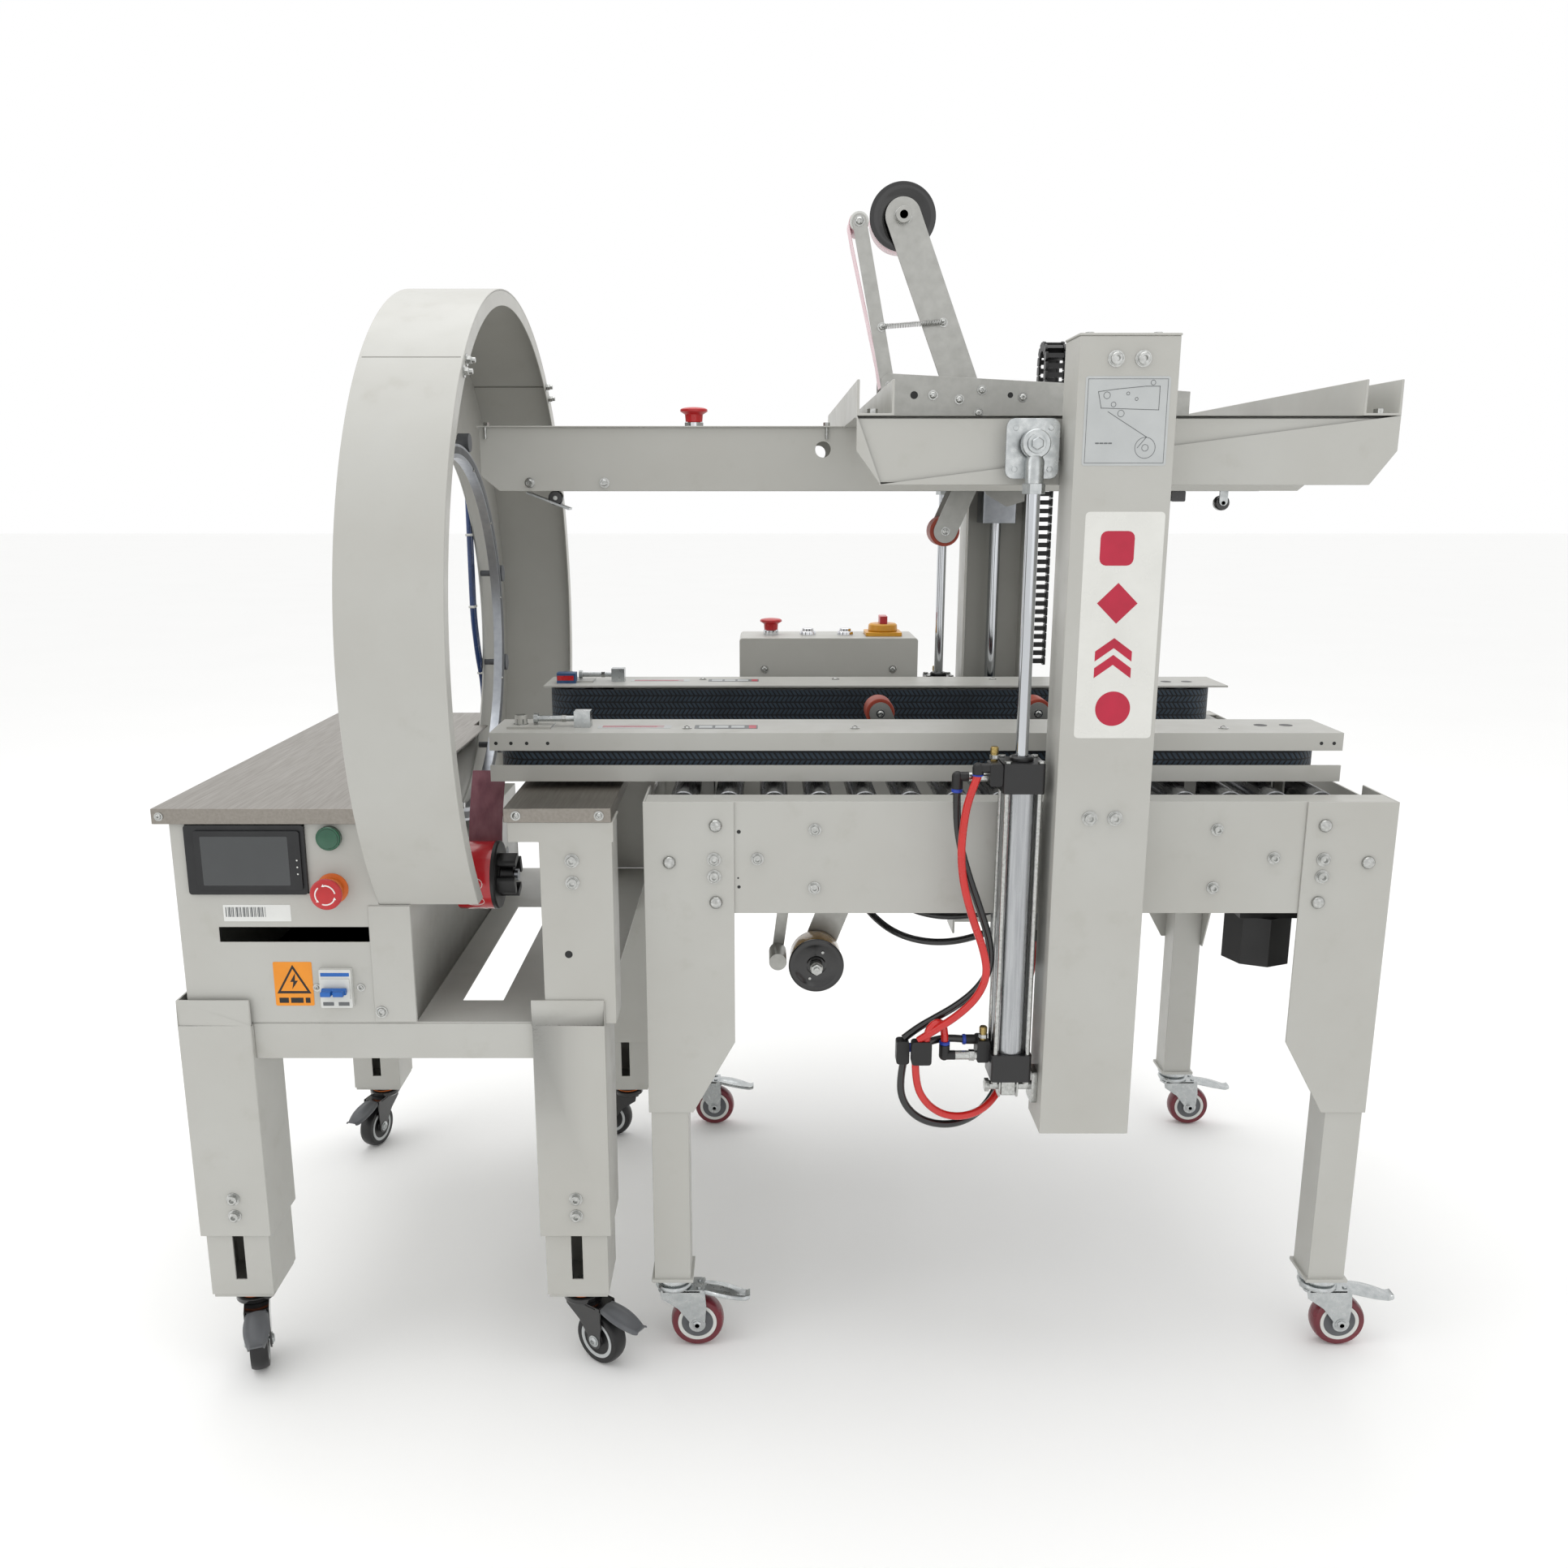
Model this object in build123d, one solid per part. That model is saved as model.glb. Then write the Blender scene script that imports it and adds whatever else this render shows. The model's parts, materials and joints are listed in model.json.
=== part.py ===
"""Side-belt carton sealer joined to an orbital tape ring, in millimetres.

+X runs along the carton path, +Y from the operator's side to the far side, +Z up.
The origin is on the floor at the centre of the outline.
"""

from build123d import *
import math
import os

# ---------------------------------------------------------------- driving sizes
SHEET = 3.0                  # folded sheet steel
THIN = 2.0                   # cover sheet
RUN = 0.05                   # radial clearance of a running fit
GAP = 0.5                    # air between parts that pass each other
ARCH_R = 492.0               # ring cover, outer radius
PATH_HEIGHT = 977.0          # centre of the ring above the floor

TABLE_LEFT = -830.0          # outline, left end
TABLE_RIGHT = -557.0
TABLE_FRONT = -398.0
TABLE_BACK = 330.0
TABLE_TOP = 803.0
APRON = 20.0

BED_LEFT = -219.0
BED_RIGHT = 750.0
BED_HALF = 358.0             # half the width over the corner brackets
BED_TOP = 802.0
PANEL_HEIGHT = 150.0
FLANGE = 40.0
INNER_RAIL = 52.0            # inner roller rail, distance from the centre line

BRACKET_TOP_WIDTH = 117.0
BRACKET_FOOT_WIDTH = 60.0
BRACKET_BOTTOM = 370.0
BRACKET_KNEE = 472.0
BRACKET_RETURN = 100.0

LEG = 50.0                   # square leg tube of the bed
LEG_WALL = 2.5
FOOT_TOP = 117.0             # top of the foot plates
FOOT_PLATE = 5.0

ROLLER_R = 19.0
ROLLER_SHAFT_R = 5.0
ROLLER_PITCH = 60.0
ROLLER_LAST = 670.0          # X of the roller nearest the infeed end
ROLLER_COUNT = 15
ROLLER_PROUD = 3.0

COLUMN_LEFT = 294.0
COLUMN_RIGHT = 409.0
COLUMN_OUT = BED_HALF + 68.0    # outer face, distance from the centre line
COLUMN_BOTTOM = 375.0
COLUMN_TOP = 1361.0
COLUMN_WALL = 4.0
GUIDE_R = 10.0

CYL_X = 257.0
CYL_Y = BED_HALF + 30.0
CYL_OUT = 50.0
BORE_R = 20.0
ROD_R = 8.0
CYL_FOOT = 441.0             # underside of the rear cap
CYL_BARREL = 478.0
CYL_HEAD = 825.0
CYL_HEAD_TOP = 863.0
PIN_Z = 426.0
PISTON_TOP = 802.0
ROD_EYE_Z = 1244.0

HEAD_LEFT = 48.0
HEAD_RIGHT = 702.0
HEAD_LOW = 1197.0
HEAD_HIGH = 1278.0
HEAD_CHAMFER = (30.0, 40.0)
CROSS_WIDTH = 45.0
CROSS_HEIGHT = 42.0
BEAM_LEFT = -465.0
BEAM_RIGHT = 708.0
BEAM_HALF = 80.0
BEAM_LOW = 1191.0

ARM_LEFT = -430.0
ARM_RIGHT = 709.0
ARM_OUTER = 272.0            # belt arm housing, outer face from the centre line
ARM_INNER = 164.0
ARM_CLEAR = 5.0              # above the rollers
ARM_HEIGHT = 66.0
BELT_THICK = 4.0
BELT_OUT_R = 50.0
DRIVE_X = 640.0
IDLER_X = -374.0
SLIDE_RODS_X = (-140.0, 520.0)
SLIDE_ROD_Z = 715.0
SLIDE_ROD_R = 10.0
MOTOR_R = 45.0
DRIVE_SHAFT_R = 6.0
HANGER = 2.5                 # hanger plates of the motor, in the gap between two rollers
MOTOR_TOP = 655.0
MOTOR_BOTTOM = 541.0

ROLL_X = 131.0               # top tape roll
ROLL_R = 46.5
ROLL_TOP = 1612.0
TAPE_WIDTH = 48.0
PRESS_R = 22.0               # red applying rollers
PRESS_LENGTH = 44.0
PRESS_PITCH = 240.0
TOP_PIVOT = (254.0, 1248.0)
TOP_ROLLER = (204.0, 1133.0)
LOW_PIVOT = (164.0, 746.0)
LOW_ROLLER = (114.0, 861.0)
LOW_ROLL = (20.0, 455.0)
LOW_ROLL_R = 44.0
CARTRIDGE_HALF = 36.0

SIDE_FRONT = -398.0          # left unit, outer face of the near leg covers
SIDE_BACK = 325.0
SIDE_LEFT = -824.0
SIDE_RIGHT = -270.0
COVER = 95.0
COVER_LOW = 209.0
COVER_TOP = 548.0
SHELF_Z = 513.0
INNER_LEG = 84.0
CABINET_LEFT = -812.0
CABINET_STEP = -555.0
CABINET_RIGHT = -515.0
CABINET_FRONT = -390.0
CABINET_BACK = 320.0
ARCH_END_Z = 675.0
ARCH_RIGHT = -428.0
RING_OUT_R = 282.0
RING_IN_R = 262.0
RING_X = (-529.0, -515.0)
RING_ROLL_R = 46.0
RING_ROLL_ORBIT = 412.0
RING_ROLL_ANGLE = 225.0

BOX_LEFT = -107.0
BOX_RIGHT = 215.0
BOX_BACK = 478.0
BOX_LOW = 700.0
BOX_TOP = 934.0
BOX_CONTROL_Y = 418.0

WHEEL_R = 37.5
WHEEL_WIDTH = 24.0
TRAIL = 33.0
PEDAL_REACH = 108.0
AXLE_R = 5.0

HOSE_R = 5.0
STOP_TRAVEL = 4.0            # push of a mushroom head

NODES = {}


# ---------------------------------------------------------------- helpers
def block(x0, x1, y0, y1, z0, z1):
    """A box between two corners."""
    middle = Pos((x0 + x1) / 2, (y0 + y1) / 2, (z0 + z1) / 2)
    return middle * Box(abs(x1 - x0), abs(y1 - y0), abs(z1 - z0))


def rod_x(x0, x1, y, z, r):
    return Pos((x0 + x1) / 2, y, z) * Rot(0, 90, 0) * Cylinder(r, abs(x1 - x0))


def rod_y(y0, y1, x, z, r):
    return Pos(x, (y0 + y1) / 2, z) * Rot(90, 0, 0) * Cylinder(r, abs(y1 - y0))


def rod_z(z0, z1, x, y, r):
    return Pos(x, y, (z0 + z1) / 2) * Cylinder(r, abs(z1 - z0))


def plate_y(points, y0, y1):
    """An outline in X and Z, thickened from y0 to y1."""
    plane = Plane((0, y1, 0), x_dir=(1, 0, 0), z_dir=(0, -1, 0))
    return extrude(plane * make_face(Polyline(*points, close=True)), amount=y1 - y0)


def plate_x(points, x0, x1):
    """An outline in Y and Z, thickened from x0 to x1."""
    plane = Plane((x0, 0, 0), x_dir=(0, 1, 0), z_dir=(1, 0, 0))
    return extrude(plane * make_face(Polyline(*points, close=True)), amount=x1 - x0)


def link_y(start, end, width, y0, y1):
    """A flat bar with round ends, between two points in X and Z."""
    (x0, z0), (x1, z1) = start, end
    run = math.hypot(x1 - x0, z1 - z0)
    nx, nz = -(z1 - z0) / run * width / 2, (x1 - x0) / run * width / 2
    bar = plate_y([(x0 + nx, z0 + nz), (x1 + nx, z1 + nz), (x1 - nx, z1 - nz), (x0 - nx, z0 - nz)], y0, y1)
    return bar + rod_y(y0, y1, x0, z0, width / 2) + rod_y(y0, y1, x1, z1, width / 2)


def mirror_y(shape):
    return mirror(shape, about=Plane.XZ)


def both(shape):
    """The shape and its mirror image across the carton path."""
    return [shape, mirror_y(shape)]


def mirror_bed(shape):
    """The mirror image across the middle of the bed."""
    return mirror(shape, about=Plane(((BED_LEFT + BED_RIGHT) / 2, 0, 0), z_dir=(1, 0, 0)))


def node(name, *shapes):
    """Keep a sub-part as a list of solids."""
    solids = []
    for shape in shapes:
        for one in shape if isinstance(shape, (list, tuple)) else [shape]:
            solids.extend(one.solids())
    NODES[name] = solids


# ---------------------------------------------------------------- sealer bed
WEB_OUT = BED_HALF - SHEET              # outer face of the side panels
WEB_IN = WEB_OUT - SHEET
PANEL_LOW = BED_TOP - PANEL_HEIGHT
ROLLER_Z = BED_TOP + ROLLER_PROUD - ROLLER_R
ROLLERS_X = [ROLLER_LAST - ROLLER_PITCH * k for k in range(ROLLER_COUNT)]
END_IN = SHEET                          # the end rails sit inside the brackets


CROSS_X = (-60.0, 470.0)                # cross members under the rollers
LIP = 25.0                              # lower lip of the side panels


def make_bed_frame():
    """Two folded side panels, two inner roller rails, two end rails and the cross members."""
    x0, x1 = BED_LEFT + END_IN, BED_RIGHT - END_IN
    inner_low = SLIDE_ROD_Z + 15
    sheets = []
    for s in (-1, 1):
        web = block(x0, x1, s * WEB_OUT, s * WEB_IN, PANEL_LOW, BED_TOP)
        web += block(x0, x1, s * WEB_OUT, s * (WEB_OUT - FLANGE), BED_TOP - SHEET, BED_TOP)
        web += block(x0, x1, s * WEB_OUT, s * (WEB_OUT - LIP), PANEL_LOW, PANEL_LOW + SHEET)
        sheets.append(web)
        sheets.append(block(x0 + SHEET, x1 - SHEET, s * INNER_RAIL, s * (INNER_RAIL + SHEET), inner_low, BED_TOP - 5))
    flat = WEB_OUT - LIP
    for x, inward, foot, top in ((x0, 1, 22, BED_TOP - 14), (x1, -1, 22, BED_TOP - 14),
                                 (CROSS_X[0], 1, 30, inner_low), (CROSS_X[1], 1, 30, inner_low)):
        rail = block(x, x + inward * SHEET, -WEB_IN, WEB_IN, PANEL_LOW + SHEET, top)
        rail += block(x, x + inward * foot, -flat, flat, PANEL_LOW, PANEL_LOW + SHEET)
        sheets.append(rail)
    return sheets


def make_corner_bracket():
    """The near left bracket: a tapered angle bolted round the corner."""
    x, y, top = BED_LEFT, -BED_HALF, BED_TOP
    front = plate_y([(x, BRACKET_BOTTOM), (x + BRACKET_FOOT_WIDTH, BRACKET_BOTTOM),
                     (x + BRACKET_TOP_WIDTH, BRACKET_KNEE), (x + BRACKET_TOP_WIDTH, top), (x, top)],
                    y, y + SHEET)
    side = plate_x([(y, BRACKET_BOTTOM), (y + BRACKET_FOOT_WIDTH, BRACKET_BOTTOM),
                    (y + BRACKET_RETURN, BRACKET_KNEE), (y + BRACKET_RETURN, top), (y, top)],
                   x, x + SHEET)
    return front + side


def square_tube(x, y, size, wall, z0, z1):
    outer = block(x - size / 2, x + size / 2, y - size / 2, y + size / 2, z0, z1)
    inner = size / 2 - wall
    return outer - block(x - inner, x + inner, y - inner, y + inner, z0 - 1, z1 + 1)


def foot_plate(x, y, size):
    plate = block(x - size / 2, x + size / 2, y - size / 2, y + size / 2, FOOT_TOP - FOOT_PLATE, FOOT_TOP)
    return plate - rod_z(FOOT_TOP - FOOT_PLATE - 1, FOOT_TOP + 1, x, y, 6 + RUN)


BED_LEG_X = (BED_LEFT + SHEET + LEG / 2, BED_RIGHT - SHEET - LEG / 2)
BED_LEG_Y = BED_HALF - SHEET - LEG / 2


def make_bed_legs():
    legs = []
    for x in BED_LEG_X:
        for y in (-BED_LEG_Y, BED_LEG_Y):
            tube = square_tube(x, y, LEG, LEG_WALL, FOOT_TOP, PANEL_LOW)
            legs.append(tube + foot_plate(x, y, LEG + 8))
    return legs


def make_bed_rollers():
    """Short rollers each side of the tape cartridge, and a middle row clear of it."""
    rollers = []
    for x in ROLLERS_X:
        for s in (-1, 1):
            tube = rod_y(s * 60, s * (WEB_OUT - FLANGE - 5), x, ROLLER_Z, ROLLER_R)
            shaft = rod_y(s * (INNER_RAIL + SHEET), s * WEB_IN, x, ROLLER_Z, ROLLER_SHAFT_R)
            rollers.append(tube + shaft)
        if x < -40 or x > 480:
            tube = rod_y(-46, 46, x, ROLLER_Z, ROLLER_R)
            rollers.append(tube + rod_y(-INNER_RAIL, INNER_RAIL, x, ROLLER_Z, ROLLER_SHAFT_R))
    return rollers


def make_slide_rods():
    return [rod_y(-WEB_IN, WEB_IN, x, SLIDE_ROD_Z, SLIDE_ROD_R) for x in SLIDE_RODS_X]


# ---------------------------------------------------------------- columns and cylinders
COLUMN_X = (COLUMN_LEFT + COLUMN_RIGHT) / 2
GUIDE_Y = (COLUMN_OUT + WEB_OUT) / 2 - 1.5


def make_near_column():
    """A channel open to the carton path, with a cap plate, a guide shaft and its end blocks."""
    y0, y1 = -COLUMN_OUT, -WEB_OUT
    z0, z1 = COLUMN_BOTTOM, COLUMN_TOP
    channel = block(COLUMN_LEFT, COLUMN_RIGHT, y0, y0 + COLUMN_WALL, z0, z1)
    channel += block(COLUMN_LEFT, COLUMN_LEFT + COLUMN_WALL, y0, y1, z0, z1)
    channel += block(COLUMN_RIGHT - COLUMN_WALL, COLUMN_RIGHT, y0, y1, z0, z1)
    cap = block(COLUMN_LEFT - 1, COLUMN_RIGHT + 1, y0 - 1, y1, z1, z1 + SHEET)
    inner = y0 + COLUMN_WALL
    upper = block(COLUMN_X - 28, COLUMN_X + 28, inner, inner + 52, z1 - 22, z1)
    lower = block(COLUMN_X - 28, COLUMN_X + 28, inner, inner + 52, PANEL_LOW, PANEL_LOW + 20)
    shaft = rod_z(PANEL_LOW + 20, z1 - 22, COLUMN_X, -GUIDE_Y, GUIDE_R)
    return [channel, cap, upper, lower, shaft]


def make_near_cylinder():
    """Barrel with end caps, tie rods, clevis tang, pin and its bracket on the column."""
    x, y, half = CYL_X, -CYL_Y, CYL_OUT / 2
    cap = half + 1
    body = rod_z(CYL_BARREL, CYL_HEAD, x, y, half - 2)
    body += block(x - cap, x + cap, y - cap, y + cap, CYL_FOOT, CYL_BARREL)
    body += block(x - cap, x + cap, y - cap, y + cap, CYL_HEAD, CYL_HEAD_TOP)
    for dx in (-20.5, 20.5):
        for dy in (-20.5, 20.5):
            body += rod_z(CYL_BARREL - 1, CYL_HEAD + 1, x + dx, y + dy, 3.5)
    body += block(x - 9, x + 9, y - 9, y + 9, PIN_Z - 12, CYL_FOOT)
    body -= rod_z(CYL_BARREL, CYL_HEAD, x, y, BORE_R)
    body -= rod_z(CYL_HEAD - 1, CYL_HEAD_TOP + 1, x, y, ROD_R + RUN)
    body -= rod_x(x - 10, x + 10, y, PIN_Z, 6 + RUN)
    pin = rod_x(x - 30, COLUMN_LEFT - 6, y, PIN_Z, 6)
    pin += block(COLUMN_LEFT - 8, COLUMN_LEFT, y - 16, y + 16, PIN_Z - 20, PIN_Z + 24)
    pin += rod_x(x - 30, x - 24, y, PIN_Z, 9)
    return [body, pin]


def valve_fitting(x, y, z, hose_y, hose_z):
    """Needle valve on the cap's face, with an arm that ends 14 mm clear of it at the hose."""
    body = block(x - 16, x, min(hose_y, y) - 7, max(hose_y, y) + 7, z - 8, hose_z + 6)
    body += rod_z(hose_z + 6, hose_z + 20, x - 8, y, 5.5) + rod_z(hose_z + 20, hose_z + 28, x - 8, y, 4)
    return body + rod_x(x - 30, x - 16, hose_y, hose_z, 6.5)


def elbow_fitting(x, y, z, reach, turn):
    """Adapter from the cap's face and an elbow; turn is the signed height of its mouth."""
    body = rod_x(x - reach, x, y, z, 6) + Pos(x - reach, y, z) * Sphere(7)
    return body + rod_z(min(z, z + turn), max(z, z + turn), x - reach, y, 7)


def far_fitting(x, y, z):
    """Needle valve on the far cylinder's outer face."""
    body = rod_y(y, y + 24, x, z, 7) + rod_z(z - 4, z + 16, x, y + 18, 7)
    return body + rod_z(z + 16, z + 34, x, y + 18, 4)


def make_cylinders():
    solids = []
    for shape in make_near_cylinder():
        solids.extend(both(shape))
    left = CYL_X - CYL_OUT / 2 - 1
    back = CYL_Y + CYL_OUT / 2 + 1
    low, high = CYL_BARREL - 10, CYL_HEAD + 17
    top_arm = rod_z(high + 4, high + 16, left - 30, -CYL_Y - 15, 7)
    solids.append(valve_fitting(left, -CYL_Y, high, -CYL_Y - 15, high + 14) + top_arm
                  + elbow_fitting(left, -CYL_Y, high, 53, -20))
    solids.append(valve_fitting(left, -CYL_Y, low, -CYL_Y + 14, low + 16)
                  + elbow_fitting(left, -CYL_Y, low, 58, 20))
    for z in (low, high):
        solids.append(far_fitting(CYL_X, back, z))
    return solids


def make_air_block():
    """Valve manifold and regulator hung from the cross member under the bed."""
    manifold = block(300, 380, -300, -180, PANEL_LOW - 60, PANEL_LOW)
    manifold += block(250, 470, -260, -220, PANEL_LOW, PANEL_LOW + SHEET)
    regulator = block(250, 292, -300, -258, PANEL_LOW - 150, PANEL_LOW)
    regulator += rod_z(PANEL_LOW - 190, PANEL_LOW - 150, 271, -279, 17)
    return manifold + block(292, 300, -290, -270, PANEL_LOW - 40, PANEL_LOW - 20) + regulator


# ---------------------------------------------------------------- lifting head
HEAD_PLATE_Y = WEB_IN                    # outer face of the head's side plates


def make_head_frame():
    """Two side plates, two cross channels on top of them and the rod brackets."""
    dx, dz = HEAD_CHAMFER
    y0 = -HEAD_PLATE_Y
    plate = plate_y([(HEAD_LEFT, HEAD_HIGH), (HEAD_LEFT, HEAD_LOW + dz), (HEAD_LEFT + dx, HEAD_LOW),
                     (HEAD_RIGHT - dx, HEAD_LOW), (HEAD_RIGHT, HEAD_LOW + dz), (HEAD_RIGHT, HEAD_HIGH)],
                    y0, y0 + SHEET)
    plate += block(HEAD_LEFT + dx, HEAD_RIGHT - dx, y0, y0 + 20, HEAD_LOW, HEAD_LOW + SHEET)
    plate += block(HEAD_LEFT, HEAD_RIGHT, y0, y0 + 20, HEAD_HIGH - SHEET, HEAD_HIGH)
    bracket = block(CYL_X - 32, CYL_X + 32, y0 - 20, y0 - 14, ROD_EYE_Z - 40, ROD_EYE_Z + 30)
    bracket += block(CYL_X - 20, CYL_X + 20, y0 - 14, y0, ROD_EYE_Z - 30, ROD_EYE_Z + 22)
    solids = both(plate) + both(bracket)
    for x0, x1 in ((HEAD_LEFT, HEAD_LEFT + CROSS_WIDTH), (HEAD_RIGHT - CROSS_WIDTH, HEAD_RIGHT)):
        y1 = HEAD_PLATE_Y
        channel = block(x0, x1, -y1, y1, HEAD_HIGH, HEAD_HIGH + SHEET)
        channel += block(x0, x0 + SHEET, -y1, y1, HEAD_HIGH, HEAD_HIGH + CROSS_HEIGHT)
        channel += block(x1 - SHEET, x1, -y1, y1, HEAD_HIGH, HEAD_HIGH + CROSS_HEIGHT)
        solids.append(channel)
    return solids


def make_centre_beam():
    """Two webs with lips, end plates and the cover over the outfeed half."""
    low, high = BEAM_LOW, HEAD_HIGH
    x0, x1 = BEAM_LEFT, BEAM_RIGHT
    solids = []
    for s in (-1, 1):
        y = s * BEAM_HALF
        web = plate_y([(x0, high), (x0, low + 21), (x0 + 25, low), (x1 - 12, low), (x1, low + 10), (x1, high)],
                      min(y, y - s * SHEET), max(y, y - s * SHEET))
        web -= rod_y(y - s * 5, y + s * 5, 20, low + 57, 11)
        web += block(x0 + 25, x1 - 12, y, y - s * 16, low, low + SHEET)
        web += block(x0, x1, y, y - s * 18, high - SHEET, high)
        solids.append(web)
    inner = BEAM_HALF - SHEET
    solids.append(block(x0, x0 + SHEET, -inner, inner, low + 21, high - SHEET))
    solids.append(block(x1 - SHEET, x1, -inner, inner, low + 10, high - SHEET))
    solids.append(block(x0 - 3, HEAD_LEFT - GAP, -BEAM_HALF - 4, BEAM_HALF + 4, high, high + THIN))
    return solids


def make_lift_rods():
    """Piston rod, piston, rod end and its bolt, and the bearing block on the guide shaft."""
    x, y = CYL_X, -CYL_Y
    face = -HEAD_PLATE_Y - 20
    rod = rod_z(PISTON_TOP - 25, ROD_EYE_Z - 12, x, y, ROD_R)
    rod += rod_z(PISTON_TOP - 25, PISTON_TOP, x, y, BORE_R - RUN)
    rod += rod_z(ROD_EYE_Z - 44, ROD_EYE_Z - 14, x, y, 11)
    rod += rod_y(y - 7, y + 7, x, ROD_EYE_Z, 17)
    rod += rod_y(y - 14, face, x, ROD_EYE_Z, 7)
    blockish = block(COLUMN_X - 30, COLUMN_X + 30, -COLUMN_OUT + COLUMN_WALL + 6, -HEAD_PLATE_Y,
                     HEAD_LOW - 60, HEAD_HIGH)
    blockish -= rod_z(HEAD_LOW - 61, HEAD_HIGH + 1, COLUMN_X, -GUIDE_Y, GUIDE_R + RUN)
    return both(rod) + both(blockish)


# ---------------------------------------------------------------- tape cartridges
ROLL_Z = ROLL_TOP - ROLL_R


def make_top_head():
    """Cartridge plates with spacers, pivot rods, roll arm with axle, blade guard and end wheel."""
    inner = CARTRIDGE_HALF - SHEET
    outline = [(104, 1215), (104, 1348), (114, 1355), (400, 1340), (548, 1330), (548, 1215), (520, 1197),
               (135, 1197)]
    solids = both(plate_y(outline, -CARTRIDGE_HALF, -inner))
    for x, z in ((150, 1330), (320, 1322), (530, 1310), (530, 1225)):
        solids.append(rod_y(-inner, inner, x, z, 5))
    for dx in (0, PRESS_PITCH):
        solids.append(rod_y(-inner, inner, TOP_PIVOT[0] + dx, TOP_PIVOT[1], 6))
    arm = link_y((ROLL_X, ROLL_Z), (228, 1316), 50, -inner, -inner + 4)
    arm += rod_y(-inner - 10, inner - 4, ROLL_X, ROLL_Z, 6)
    arm += rod_y(-inner - 10, -inner, ROLL_X, ROLL_Z, 11)
    solids.append(arm)
    solids.append(plate_y([(266, 1197), (330, 1197), (330, 1176), (304, 1168), (272, 1186)], 30, inner))
    ties = [block(x, x + 12, CARTRIDGE_HALF, BEAM_HALF - SHEET, 1225, 1255) for x in (120, 520)]
    for tie in ties:
        solids.extend(both(tie))
    return solids


def press_arm(pivot, roller):
    """Two side bars, a pivot tube and the rubber roller, as separate solids."""
    bars = None
    for s in (-1, 1):
        bar = link_y(pivot, roller, 34, *sorted((s * 24, s * 27)))
        bars = bar if bars is None else bars + bar
    bars += rod_y(-27, 27, pivot[0], pivot[1], 11)
    bars -= rod_y(-28, 28, pivot[0], pivot[1], 6 + RUN)
    bars += rod_y(-29, 29, roller[0], roller[1], 5)
    wheel = rod_y(-PRESS_LENGTH / 2, PRESS_LENGTH / 2, roller[0], roller[1], PRESS_R)
    wheel -= rod_y(-PRESS_LENGTH, PRESS_LENGTH, roller[0], roller[1], 5)
    return [bars, wheel]


def tape_roll(x, z, r, half):
    """Roll of tape and the hub disc on its near face, bored for the axle."""
    body = rod_y(-half, half, x, z, r - 3) + rod_y(-half - 3, -half, x, z, r)
    return body - rod_y(-half - 5, half + 5, x, z, 6 + RUN)


TENSION_PIVOT = (114.0, 1340.0)
TENSION_ROLLER = (70.0, 1559.0)


def make_tension_arm():
    inner = CARTRIDGE_HALF - SHEET
    bar = link_y(TENSION_PIVOT, TENSION_ROLLER, 20, -inner + GAP, -inner + 4)
    bar += rod_y(-inner + 4, 24, *TENSION_ROLLER, 14)
    return bar


def make_bottom_head():
    """Lower cartridge hung between the inner rails, with its roll arm and guide roller."""
    inner = CARTRIDGE_HALF - SHEET
    outline = [(-28, 655), (450, 655), (450, 780), (430, 796), (60, 796), (-28, 700)]
    solids = both(plate_y(outline, -CARTRIDGE_HALF, -inner))
    for x, z in ((280, 668), (440, 668)):
        solids.append(rod_y(-inner, inner, x, z, 5))
    for dx in (0, PRESS_PITCH):
        solids.append(rod_y(-inner, inner, LOW_PIVOT[0] + dx, LOW_PIVOT[1], 6))
    for x in (90, 300):
        solids.extend(both(block(x, x + 14, -INNER_RAIL, -CARTRIDGE_HALF, 740, 775)))
    far = link_y(LOW_ROLL, (104, 672), 50, inner - 4, inner)
    far += rod_y(-inner - 6, inner - 4, *LOW_ROLL, 6)
    far += rod_y(-inner - 6, -TAPE_WIDTH / 2 - 4, *LOW_ROLL, 10)
    guide = link_y((-41, 460), (-14, 672), 18, inner - 4, inner)
    guide += rod_y(-24, inner - 4, -41, 460, 14)
    return solids + [far, guide]


# ---------------------------------------------------------------- side belt arms
ARM_LOW = BED_TOP + ROLLER_PROUD + ARM_CLEAR
ARM_TOP = ARM_LOW + ARM_HEIGHT
PULLEY_Y = ARM_INNER + BELT_OUT_R - 2    # the belt stands 2 mm proud of the housing
BELT_LOW = ARM_LOW + SHEET + 3
BELT_HIGH = ARM_TOP - SHEET - 3


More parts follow.
